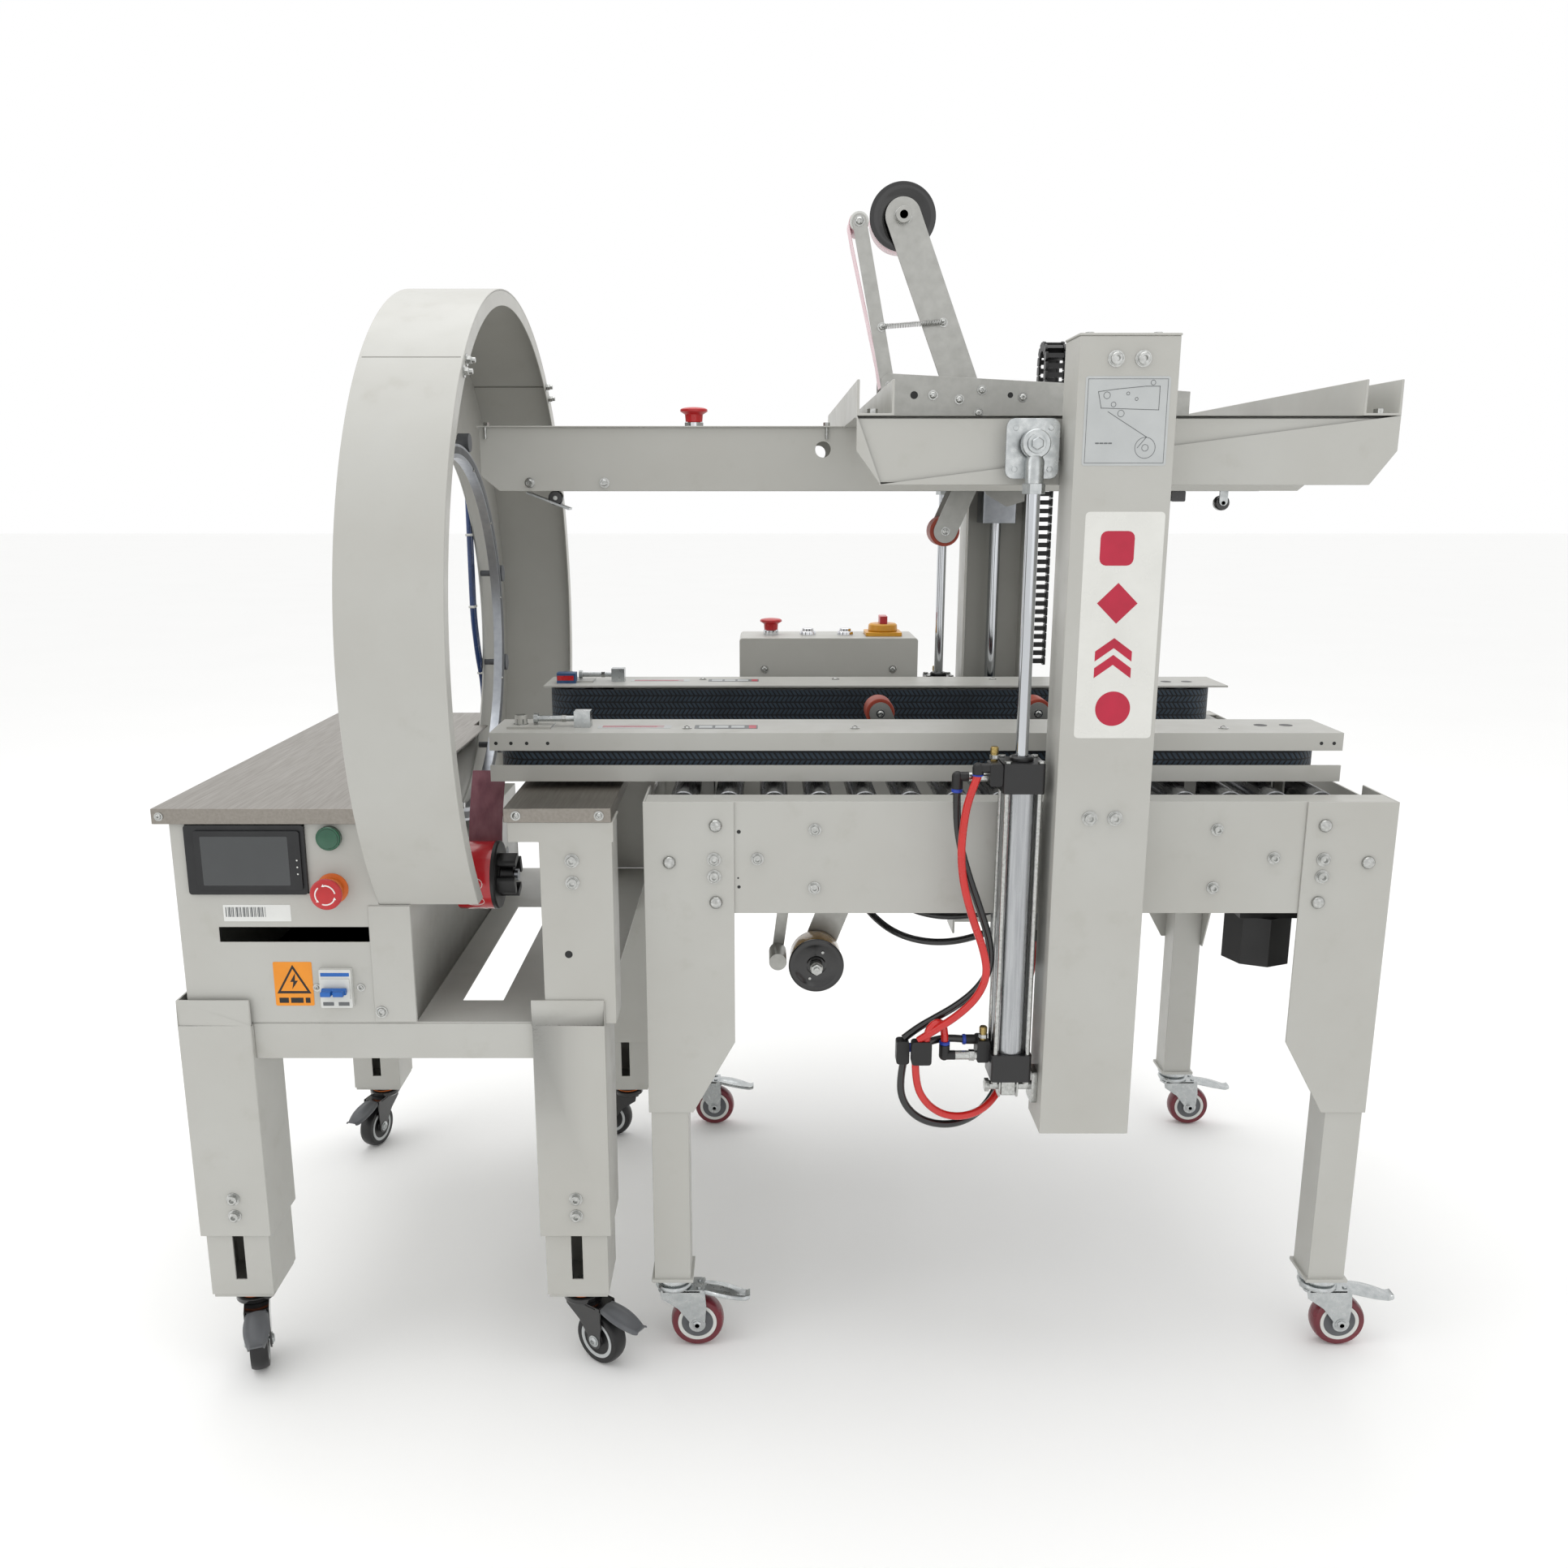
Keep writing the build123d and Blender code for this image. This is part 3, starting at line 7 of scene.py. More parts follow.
import json
import logging
import math
from dataclasses import dataclass, field
from enum import Enum
from functools import lru_cache
from typing import Any, Iterable, Protocol, Sequence

import bmesh
import bpy
import numpy as np
from numpy.typing import NDArray
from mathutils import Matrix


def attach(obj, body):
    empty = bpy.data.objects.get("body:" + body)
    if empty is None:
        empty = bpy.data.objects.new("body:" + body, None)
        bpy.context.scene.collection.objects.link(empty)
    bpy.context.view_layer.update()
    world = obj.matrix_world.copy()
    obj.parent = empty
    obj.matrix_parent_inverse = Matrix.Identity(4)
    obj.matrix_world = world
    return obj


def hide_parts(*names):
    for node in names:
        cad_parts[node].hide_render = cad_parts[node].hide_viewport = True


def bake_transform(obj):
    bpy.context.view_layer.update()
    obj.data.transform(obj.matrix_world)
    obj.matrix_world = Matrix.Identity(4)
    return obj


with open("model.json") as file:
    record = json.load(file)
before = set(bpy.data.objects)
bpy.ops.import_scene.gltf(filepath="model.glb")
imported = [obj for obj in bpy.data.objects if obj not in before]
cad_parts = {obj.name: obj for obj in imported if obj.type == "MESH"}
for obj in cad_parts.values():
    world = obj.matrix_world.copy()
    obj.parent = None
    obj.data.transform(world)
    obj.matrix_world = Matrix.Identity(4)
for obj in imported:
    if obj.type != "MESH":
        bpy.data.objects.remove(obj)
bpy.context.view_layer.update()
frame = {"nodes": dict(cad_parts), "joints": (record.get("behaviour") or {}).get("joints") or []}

Array = NDArray[np.float64]
Point = tuple[float, float, float]
Outline = Sequence[tuple[float, float]]

MM = 0.001
LOG = logging.getLogger("carton_sealer")
FLAT_ANGLE = math.radians(0.6)      # facets flatter than this belong to one sheet face
EDGE_ANGLE = math.radians(32)       # edges sharper than this get their edge eased
RING_AXIS_Z = 977.0                 # height of the tape ring's axis, in mm


class Axis(Enum):
    """A direction of the frame, with the two axes across it in right-handed order."""

    X = (1, 2, 0)
    Y = (2, 0, 1)
    Z = (0, 1, 2)


# ---------------------------------------------------------------- shader tools
def linear(colour: str, alpha: float = 1.0) -> tuple[float, float, float, float]:
    """Turn an sRGB hex colour into linear light.

    Args:
        colour: six hex digits after a hash.
        alpha: opacity kept beside the colour.

    Returns:
        Red, green, blue and alpha for a shader socket.
    """
    parts = [int(colour[i:i + 2], 16) / 255 for i in (1, 3, 5)]
    red, green, blue = (c / 12.92 if c <= 0.04045 else ((c + 0.055) / 1.055) ** 2.4 for c in parts)
    return red, green, blue, alpha


def add(tree: bpy.types.NodeTree, kind: str, inputs: dict[Any, Any] | None = None,
        **settings: Any) -> bpy.types.Node:
    """Add a shader node, set its properties, and fill its inputs with values or links.

    Args:
        tree: the material's node tree.
        kind: the node's type name.
        inputs: socket name or number, with a value or another node's output.
        settings: properties of the node itself.

    Returns:
        The new node.
    """
    made = tree.nodes.new(kind)
    for key, value in settings.items():
        setattr(made, key, value)
    for key, value in (inputs or {}).items():
        if isinstance(value, bpy.types.NodeSocket):
            tree.links.new(value, made.inputs[key])
        else:
            made.inputs[key].default_value = value
    return made


def start(name: str, **values: Any) -> tuple[bpy.types.Material, bpy.types.NodeTree, bpy.types.Node]:
    """Open a new material with one Principled shader.

    Args:
        name: the material's name.
        values: constant values of the shader's sockets, with underscores for spaces.

    Returns:
        The material, its tree and the shader node.
    """
    material = bpy.data.materials.new(name)
    material.use_nodes = True
    tree = material.node_tree
    shader = next(n for n in tree.nodes if n.type == "BSDF_PRINCIPLED")
    for key, value in values.items():
        shader.inputs[key.replace("_", " ")].default_value = value
    return material, tree, shader


def object_noise(tree: bpy.types.NodeTree, size_mm: float, stretch: Point = (1, 1, 1),
                 detail: float = 3.0) -> bpy.types.Node:
    """Noise in Object coordinates whose grain is size_mm, times stretch along each axis.

    Args:
        tree: the material's node tree.
        size_mm: the grain's size.
        stretch: how many times longer the grain is along X, Y and Z.
        detail: octaves of finer noise.

    Returns:
        The noise node.
    """
    place = add(tree, "ShaderNodeTexCoord")
    scale = tuple(1 / s for s in stretch)
    turned = add(tree, "ShaderNodeMapping", {"Vector": place.outputs["Object"], "Scale": scale})
    return add(tree, "ShaderNodeTexNoise", {"Vector": turned.outputs[0], "Scale": 1 / (size_mm * MM),
                                            "Detail": detail, "Roughness": 0.55})


def spread(tree: bpy.types.NodeTree, source: bpy.types.NodeSocket, low: float, high: float,
           span: tuple[float, float] = (0.3, 0.7)) -> bpy.types.NodeSocket:
    """Map a noise value onto a range.

    Args:
        tree: the material's node tree.
        source: a value from 0 to 1.
        low: the result at the span's low end.
        high: the result at the span's high end.
        span: the part of the source that is used.

    Returns:
        The mapped value's socket.
    """
    made = add(tree, "ShaderNodeMapRange", {"Value": source, "From Min": span[0], "From Max": span[1],
                                            "To Min": low, "To Max": high})
    return made.outputs[0]


def mixed(tree: bpy.types.NodeTree, share: bpy.types.NodeSocket, first: Any,
          second: Any) -> bpy.types.NodeSocket:
    """Mix two colours, each a hex string or a socket, by a share from 0 to 1."""
    made = add(tree, "ShaderNodeMix", {"Factor": share}, data_type="RGBA")
    for number, value in ((6, first), (7, second)):
        if isinstance(value, str):
            made.inputs[number].default_value = linear(value)
        else:
            tree.links.new(value, made.inputs[number])
    return made.outputs[2]


def raise_bump(tree: bpy.types.NodeTree, shader: bpy.types.Node, height: bpy.types.NodeSocket,
               depth_mm: float, strength: float) -> None:
    """Join a height to the shader's normal, as relief depth_mm deep."""
    bump = add(tree, "ShaderNodeBump", {"Height": height, "Distance": depth_mm * MM, "Strength": strength})
    tree.links.new(bump.outputs[0], shader.inputs["Normal"])


# ---------------------------------------------------------------- finishes
class Finish(Protocol):
    """Anything that can make a material."""

    def make(self) -> bpy.types.Material:
        """Build the material."""


@dataclass(frozen=True)
class PowderCoat:
    """Polyester powder coat, baked on: satin, with an orange-peel skin and faint handling marks; its white is
    drawn grey as painted shade.
    """

    name: str = "powder_coat_white"
    # painted shade: all three colours below are the white coat darkened to grey, standing in for the shade on
    # the faces that look towards the camera; the second and third also differ at random, as wear and handling
    # dirt
    colour: str = "#B6B6B1"
    worn_and_shaded: str = "#B0AFA9"
    marks: str = "#A4A299"
    roughness: float = 0.38
    peel_mm: float = 3.2                 # real peel is about 1.5 mm, drawn coarser so that it shows

    def make(self) -> bpy.types.Material:
        """Mix two greys over the panel, both the white coat under painted shade, dull it in patches and add the
        peel.
        """
        material, tree, shader = start(self.name, IOR=1.5, Specular_IOR_Level=0.5)
        broad = object_noise(tree, 210, detail=4)
        fine = object_noise(tree, 46, detail=5)
        colour = mixed(tree, spread(tree, broad.outputs[0], 0, 1), self.colour, self.worn_and_shaded)
        grime = spread(tree, fine.outputs[0], 0, 0.35, (0.6, 0.78))
        tree.links.new(mixed(tree, grime, colour, self.marks), shader.inputs["Base Color"])
        rough = spread(tree, fine.outputs[0], self.roughness - 0.05, self.roughness + 0.09)
        tree.links.new(rough, shader.inputs["Roughness"])
        peel = object_noise(tree, self.peel_mm, detail=1)
        raise_bump(tree, shader, peel.outputs[0], 0.12, 0.35)
        return material


@dataclass(frozen=True)
class BareMetal:
    """A metal surface: rolled, drawn, plated, turned or cast, told apart by grain and stretch."""

    name: str
    colour: str
    roughness: float
    second: str = ""
    grain_mm: float = 6.0
    stretch: Point = (1, 1, 1)           # long along the way that it was rolled or drawn
    relief_mm: float = 0.02
    swing: float = 0.08                  # how far the roughness varies

    def make(self) -> bpy.types.Material:
        """Vary colour and roughness with the grain, and raise it a little."""
        material, tree, shader = start(self.name, Metallic=1.0)
        grain = object_noise(tree, self.grain_mm, self.stretch)
        colour = mixed(tree, spread(tree, grain.outputs[0], 0, 1), self.colour, self.second or self.colour)
        tree.links.new(colour, shader.inputs["Base Color"])
        low, high = max(0.03, self.roughness - self.swing), self.roughness + self.swing
        tree.links.new(spread(tree, grain.outputs[0], low, high), shader.inputs["Roughness"])
        raise_bump(tree, shader, grain.outputs[0], self.relief_mm, 0.5)
        return material


@dataclass(frozen=True)
class Moulded:
    """Moulded or cast plastic and rubber: a fine spark-eroded grain under a gloss set by its coat."""

    name: str
    colour: str
    roughness: float = 0.45
    second: str = ""
    grain_mm: float = 1.2                # coarser than a real 0.2 mm spark grain, so that it shows
    relief_mm: float = 0.03
    coat: float = 0.0
    ior: float = 1.5
    see_through: float = 0.0

    def make(self) -> bpy.types.Material:
        """Vary the colour and gloss over the part and add the grain."""
        material, tree, shader = start(self.name, IOR=self.ior, Coat_Weight=self.coat, Coat_Roughness=0.12,
                                       Transmission_Weight=self.see_through)
        cloud = object_noise(tree, 38, detail=4)
        colour = mixed(tree, spread(tree, cloud.outputs[0], 0, 1), self.colour, self.second or self.colour)
        tree.links.new(colour, shader.inputs["Base Color"])
        rough = spread(tree, cloud.outputs[0], max(0.04, self.roughness - 0.06), self.roughness + 0.08)
        tree.links.new(rough, shader.inputs["Roughness"])
        grain = object_noise(tree, self.grain_mm, detail=2)
        raise_bump(tree, shader, grain.outputs[0], self.relief_mm, 0.4)
        return material


@dataclass(frozen=True)
class WoundTape:
    """Adhesive film wound on a core: fine rings on its side and a glossy wrapped face."""

    name: str
    colour: str
    second: str
    axis: Axis
    centre: Point
    ring_mm: float = 0.9                 # film is 0.05 mm thick, its rings are drawn coarser
    see_through: float = 0.0

    def make(self) -> bpy.types.Material:
        """Rings follow the distance from the roll's axis."""
        material, tree, shader = start(self.name, IOR=1.48, Roughness=0.22, Coat_Weight=0.4,
                                       Transmission_Weight=self.see_through)
        place = add(tree, "ShaderNodeTexCoord")
        across = [0.0 if i == self.axis.value[2] else 1.0 for i in range(3)]
        moved = add(tree, "ShaderNodeVectorMath", {0: place.outputs["Object"], 1: self.centre},
                    operation="SUBTRACT")
        flat = add(tree, "ShaderNodeVectorMath", {0: moved.outputs[0], 1: across}, operation="MULTIPLY")
        distance = add(tree, "ShaderNodeVectorMath", {0: flat.outputs[0]}, operation="LENGTH")
        rings = add(tree, "ShaderNodeMath", {0: distance.outputs["Value"], 1: math.tau / (self.ring_mm * MM)},
                    operation="MULTIPLY")
        wave = add(tree, "ShaderNodeMath", {0: rings.outputs[0]}, operation="SINE")
        share = spread(tree, wave.outputs[0], 0.1, 0.7, (-1, 1))
        cloud = object_noise(tree, 11, detail=3)
        streak = add(tree, "ShaderNodeMath", {0: share, 1: cloud.outputs[0]}, operation="MULTIPLY")
        tree.links.new(mixed(tree, streak.outputs[0], self.colour, self.second), shader.inputs["Base Color"])
        raise_bump(tree, shader, wave.outputs[0], 0.03, 0.3)
        return material


@dataclass(frozen=True)
class TapeFilm:
    """A single span of printed adhesive film: clear, tinted and crinkled, seen through in part."""

    name: str
    colour: str
    second: str
    opacity: float = 0.78

    def make(self) -> bpy.types.Material:
        """Tint the film in soft bands and crinkle it."""
        material, tree, shader = start(self.name, IOR=1.48, Alpha=self.opacity, Roughness=0.25)
        bands = object_noise(tree, 13, (1, 1, 2.5), 3)
        colour = mixed(tree, spread(tree, bands.outputs[0], 0, 1), self.colour, self.second)
        tree.links.new(colour, shader.inputs["Base Color"])
        raise_bump(tree, shader, bands.outputs[0], 0.5, 0.4)
        return material


@dataclass(frozen=True)
class ChevronBelt:
    """Woven conveyor belt in dark navy yarn with paler chevrons along the belt.

    Its map runs along the belt in U and across it in V, both in metres.
    """

    name: str = "belt_weave"
    yarn: str = "#0A0D12"
    thread: str = "#33424F"
    pitch_mm: float = 7.5
    rows: float = 5.0                    # chevrons across the belt's width
    width_mm: float = 54.0

    def make(self) -> bpy.types.Material:
        """Fold V into rows, shift U by it for the chevrons, and raise the threads."""
        material, tree, shader = start(self.name, IOR=1.5, Specular_IOR_Level=0.35, Roughness=0.62,
                                       Sheen_Weight=0.15, Sheen_Roughness=0.5)
        where = add(tree, "ShaderNodeSeparateXYZ", {0: add(tree, "ShaderNodeUVMap",
                                                           uv_map="along").outputs[0]})
        row = add(tree, "ShaderNodeMath", {0: where.outputs[1], 1: self.rows / (self.width_mm * MM)},
                  operation="MULTIPLY")
        fold = add(tree, "ShaderNodeMath", {0: row.outputs[0], 1: 1.0}, operation="PINGPONG")
        pitch = add(tree, "ShaderNodeMath", {0: where.outputs[0], 1: 1 / (self.pitch_mm * MM)},
                    operation="MULTIPLY")
        lean = add(tree, "ShaderNodeMath", {0: pitch.outputs[0], 1: fold.outputs[0]}, operation="ADD")
        beat = add(tree, "ShaderNodeMath", {0: lean.outputs[0], 1: 0.5}, operation="PINGPONG")
        strand = spread(tree, beat.outputs[0], 0, 1, (0.10, 0.26))
        gap = spread(tree, add(tree, "ShaderNodeMath", {0: row.outputs[0], 1: 0.5},
                               operation="PINGPONG").outputs[0], 0, 1, (0.04, 0.16))
        shown = add(tree, "ShaderNodeMath", {0: strand, 1: gap}, operation="MULTIPLY")
        faded = object_noise(tree, 60, detail=3)
        share = add(tree, "ShaderNodeMath", {0: shown.outputs[0], 1: spread(tree, faded.outputs[0], 0.55, 1)},
                    operation="MULTIPLY")
        tree.links.new(mixed(tree, share.outputs[0], self.yarn, self.thread), shader.inputs["Base Color"])
        raise_bump(tree, shader, shown.outputs[0], 0.8, 0.7)
        return material


@lru_cache(maxsize=None)
def dressed(finish: Finish) -> bpy.types.Material:
    """Make each finish's material once."""
    return finish.make()


WHITE = PowderCoat()
SATIN = BareMetal("satin_plate", "#B0B0AC", 0.42, "#A8A8A4", 14, (1, 1, 1), 0.01, 0.04)
CHROME = BareMetal("bright_chrome", "#D2D3D6", 0.06, "", 9, (1, 1, 1), 0.002, 0.03)
STAINLESS = BareMetal("stainless_brushed", "#96918A", 0.36, "#8C8780", 3, (1, 24, 1), 0.012, 0.05)
ZINC = BareMetal("zinc_plate", "#C4C7C7", 0.30, "#B0B4B5", 9, (1, 1, 1), 0.01)
ROD = BareMetal("hard_chrome", "#C9CCD0", 0.07, "", 9, (1, 1, 8), 0.004, 0.03)
DRAWN = BareMetal("drawn_aluminium", "#B4B6B8", 0.28, "#9FA1A4", 3, (1, 1, 30), 0.02)
ANODISED = BareMetal("anodised_aluminium", "#A6A9AE", 0.32, "#9A9EA4", 9, (1, 1, 1), 0.004, 0.03)
ROLLER = BareMetal("roller_tube", "#8F9092", 0.26, "#7A7B7D", 5, (1, 16, 1), 0.02)
BOLT = BareMetal("nickel_bolt", "#C3C4C2", 0.22, "#A5A6A3", 4)
BRASS = BareMetal("turned_brass", "#B9A26A", 0.28, "#94804E", 3)
BLACK = Moulded("black_nylon", "#0E0E0F", 0.42, "#161617")
BLACK_CAP = Moulded("black_anodised_cap", "#0B0B0C", 0.34, "#131315", coat=0.2)
RUBBER = Moulded("grey_polyamide", "#5F6163", 0.5, "#54565A")
GLOSS_BLACK = Moulded("gloss_black_lacquer", "#0A0A0B", 0.16, "#100F10", coat=0.6, relief_mm=0.01)
MAROON = Moulded("cast_polyurethane_maroon", "#6E0E22", 0.30, "#5A0A1A", coat=0.35, relief_mm=0.02)
RED_ROLLER = Moulded("cast_polyurethane_red", "#A8442E", 0.45, "#8E3522")
RED = Moulded("red_abs", "#C0161C", 0.30, "#A91218", coat=0.25)
GREEN = Moulded("green_lens", "#0A5A3C", 0.22, "#07452E", coat=0.5)
SEAM = Moulded("joint_line", "#8C8B85", 0.6, "#82817B")
TUBE_BLUE = Moulded("blue_polyurethane_tube", "#16386E", 0.25, "#12305F", coat=0.4, relief_mm=0.01)
BLUE = Moulded("blue_acetal", "#1F3FAE", 0.35, "#1A3590")
SKY_BLUE = Moulded("blue_lever", "#1E66B8", 0.4, "#1B5AA5")
AMBER = Moulded("amber_plate", "#D79A1C", 0.4, "#C48A14", coat=0.2)
ORANGE = Moulded("orange_seal", "#D9712A", 0.4, "#C8621F")
PALE = Moulded("pale_grey_abs", "#D6D7D3", 0.45, "#CBCCC8")
CLEAR = Moulded("clear_polycarbonate", "#DDE4E6", 0.1, "#D0D8DA", see_through=0.7, ior=1.58, relief_mm=0.01)
SCREEN = Moulded("screen_glass", "#2A2E30", 0.12, "#25292B", coat=0.8, relief_mm=0.004)
BEZEL = Moulded("screen_bezel", "#1C1D1F", 0.5, "#17181A")
HOSE_RED = Moulded("red_polyurethane_hose", "#C9150F", 0.25, "#B9110C", coat=0.5, relief_mm=0.01)
HOSE_BLACK = Moulded("black_polyurethane_hose", "#0C0C0D", 0.2, "#131314", coat=0.5, relief_mm=0.01)
STICKER = Moulded("label_film", "#DEDFDC", 0.35, "#D6D7D4", relief_mm=0.01)
STICKER_GREY = Moulded("label_grey", "#B9BCBC", 0.4, "#B2B5B5", relief_mm=0.01)
INK = Moulded("label_ink_grey", "#5A5D5E", 0.4, "#66696A", relief_mm=0.01)
INK_RED = Moulded("label_ink_red", "#B81238", 0.35, "#A80F31", relief_mm=0.01)
WHITE_INK = Moulded("white_mark", "#EDEDEA", 0.4, "#E4E4E1", relief_mm=0.01)
BELT = ChevronBelt()
CARD = Moulded("core_card", "#A89A86", 0.8, "#988A76")
SENSOR_BLUE = Moulded("sensor_blue", "#2A4E78", 0.4, "#24466E")
SIGN = Moulded("warning_orange", "#E8921E", 0.4, "#DF8818", relief_mm=0.01)
STRIP = Moulded("clear_strip", "#D9D9D4", 0.25, "#D3D3CE", coat=0.5, relief_mm=0.01)
PINK_FILM = Moulded("pink_film", "#D6A0AA", 0.3, "#C98D9A", coat=0.4, relief_mm=0.02)
RING_FILM = TapeFilm("ring_web_film", "#A5717C", "#8C5A66", 0.86)


# ---------------------------------------------------------------- surfaces
@dataclass
class Shape:
    """Points, faces as tuples of point numbers, and the finish number of each face."""

    points: Array
    faces: list[tuple[int, ...]]
    finish: list[int] = field(default_factory=list)

    def painted(self, number: int) -> "Shape":
        """Give every face one finish number."""
        return Shape(self.points, self.faces, [number] * len(self.faces))

    def moved(self, by: Point) -> "Shape":
        """Shift every point."""
        return Shape(self.points + np.array(by), self.faces, self.finish)

    def turned(self, axis: Axis, degrees: float, about: Point = (0, 0, 0)) -> "Shape":
        """Turn every point about an axis through a point."""
        u, v, _ = axis.value
        c, s = math.cos(math.radians(degrees)), math.sin(math.radians(degrees))
        local = self.points - np.array(about)
        out = local.copy()
        out[:, u] = c * local[:, u] - s * local[:, v]
        out[:, v] = s * local[:, u] + c * local[:, v]
        return Shape(out + np.array(about), self.faces, self.finish)

    def capped(self, rows: int, columns: int) -> "Shape":
        """Close both ends of a grid that wraps round its columns."""
        ends = [tuple(range(columns))[::-1], tuple(range((rows - 1) * columns, rows * columns))]
        return Shape(self.points, self.faces + ends, self.finish + [0, 0])

    def mirrored(self) -> "Shape":
        """The mirror image across the carton path; piece making turns its faces outwards again."""
        return Shape(self.points * np.array([1, -1, 1]), self.faces, self.finish)


def joined(shapes: Iterable[Shape]) -> Shape:
    """Put several shapes into one."""
    points: list[Array] = []
    faces: list[tuple[int, ...]] = []
    finish: list[int] = []
    count = 0
    for shape in shapes:
        points.append(shape.points)
        faces.extend(tuple(i + count for i in face) for face in shape.faces)
        finish.extend(shape.finish or [0] * len(shape.faces))
        count += len(shape.points)
    return Shape(np.concatenate(points), faces, finish)


def grid(points: Array, wrap_rows: bool = False, wrap_columns: bool = False, finish: int = 0) -> Shape:
    """Join a rows by columns grid of points with four-sided faces.

    Args:
        points: an array of rows, columns and three coordinates.
        wrap_rows: join the last row to the first.
        wrap_columns: join the last column to the first.
        finish: the finish number of its faces.

    Returns:
        The surface.
    """
    rows, columns = points.shape[:2]
    i, j = np.meshgrid(np.arange(rows if wrap_rows else rows - 1),
                       np.arange(columns if wrap_columns else columns - 1), indexing="ij")
    down, along = (i + 1) % rows, (j + 1) % columns
    corners = np.stack([i * columns + j, i * columns + along, down * columns + along, down * columns + j], -1)
    quads = corners.reshape(-1, 4)
    return Shape(points.reshape(-1, 3), [tuple(q) for q in quads.tolist()], [finish] * len(quads))


def placed(axis: Axis, across_u: Array, across_v: Array, along: Array) -> Array:
    """Stack coordinates given across and along an axis into frame coordinates."""
    out = np.zeros(np.broadcast(across_u, across_v, along).shape + (3,))
    u, v, w = axis.value
    out[..., u], out[..., v], out[..., w] = across_u, across_v, along
    return out


def lathe(profile: Outline, axis: Axis, centre: Point, segments: int = 40, finish: int = 0,
          ring: bool = False) -> Shape:
    """Turn a profile of (radius, height) in mm about an axis through centre.

    A point of the surface is centre plus the height along the axis plus the radius at each angle.

    Args:
        profile: radius and height of each corner, in millimetres.
        axis: the direction that the heights run in.
        centre: a point of the axis, in metres.
        segments: steps round the axis.
        finish: the finish number of its faces.
        ring: the profile closes on itself and never meets the axis.

    Returns:
        A closed surface; ends on the axis close to a pole, which piece making merges.
    """
    radius, height = np.array(profile, float).T[:, :, None] * MM
    angle = np.linspace(0, math.tau, segments, endpoint=False)[None, :]
    points = placed(axis, radius * np.cos(angle), radius * np.sin(angle), height + 0 * angle)
    return grid(points + np.array(centre), wrap_rows=ring, wrap_columns=True, finish=finish)


def disc(radius: float, low: float, high: float, axis: Axis, centre: Point, segments: int = 40,
         finish: int = 0) -> Shape:
    """A solid turned disc or rod between two heights, all in mm."""
    return lathe([(0, low), (radius, low), (radius, high), (0, high)], axis, centre, segments, finish)


def hexagon(across: float, low: float, high: float, axis: Axis, centre: Point, finish: int = 0) -> Shape:
    """A hexagonal nut or head, by its width across flats in mm."""
    return disc(across / math.sqrt(3), low, high, axis, centre, 6, finish)


def prism(outline: Outline, axis: Axis, low: float, high: float, finish: int = 0) -> Shape:
    """Thicken an outline in mm, given in the two axes across the axis, from low to high."""
    flat = np.array(outline, float) * MM
    ends = np.array([low, high])[:, None] * MM
    points = placed(axis, flat[:, 0] + 0 * ends, flat[:, 1] + 0 * ends, ends + 0 * flat[:, 0])
    wall = grid(points, wrap_columns=True, finish=finish)
    count = len(flat)
    caps = [tuple(range(count))[::-1], tuple(range(count, 2 * count))]
    return Shape(wall.points, wall.faces + caps, wall.finish + [finish, finish])


def slab(low: Point, high: Point, radius: float, axis: Axis = Axis.Z, finish: int = 0,
         steps: int = 5) -> Shape:
    """A block between two corners in mm, with its four edges along the axis rounded to a radius."""
    u, v, w = axis.value
    turn = np.linspace(0, math.pi / 2, steps)
    outline: list[tuple[float, float]] = []
    for quarter, (cu, cv) in enumerate(((high[u], high[v]), (low[u], high[v]), (low[u], low[v]),
                                        (high[u], low[v]))):
        su, sv = (1, -1, -1, 1)[quarter], (1, 1, -1, -1)[quarter]
        angle = turn + quarter * math.pi / 2
        outline.extend(zip(cu - su * radius + radius * np.cos(angle),
                           cv - sv * radius + radius * np.sin(angle)))
    return prism(outline, axis, low[w], high[w], finish)


def tube(path: Array, radius: float, side: Point, sides: int = 10, closed: bool = False,
         finish: int = 0) -> Shape:
    """Carry a circle along a path; its frame is the tangent, a fixed side direction and their product.

    Args:
        path: points of the path, in metres.
        radius: the circle's radius in mm.
        side: a direction that the path never runs along.
        sides: points round the circle.
        closed: the path joins its own start.
        finish: the finish number of its faces.

    Returns:
        A closed tube with flat ends.
    """
    path = np.asarray(path, float)
    ahead = np.roll(path, -1, 0) - np.roll(path, 1, 0) if closed else np.gradient(path, axis=0)
    ahead /= np.linalg.norm(ahead, axis=1, keepdims=True)
    across = np.cross(ahead, np.array(side, float))
    across /= np.linalg.norm(across, axis=1, keepdims=True)
    upward = np.cross(across, ahead)
    angle = np.linspace(0, math.tau, sides, endpoint=False)
    rim = np.cos(angle)[None, :, None] * across[:, None] + np.sin(angle)[None, :, None] * upward[:, None]
    wall = grid(path[:, None] + radius * MM * rim, wrap_rows=closed, wrap_columns=True, finish=finish)
    if closed:
        return wall
    last = len(path) * sides
    caps = [tuple(range(sides))[::-1], tuple(range(last - sides, last))]
    return Shape(wall.points, wall.faces + caps, wall.finish + [finish, finish])


def polar(axis: Axis, centre: Point, radius: float, degrees: float, along: float) -> Point:
    """A point at a radius and angle about an axis, in metres; radius and along are in mm."""
    u, v, w = axis.value
    out = list(centre)
    out[u] += radius * MM * math.cos(math.radians(degrees))
    out[v] += radius * MM * math.sin(math.radians(degrees))
    out[w] += along * MM
    return out[0], out[1], out[2]


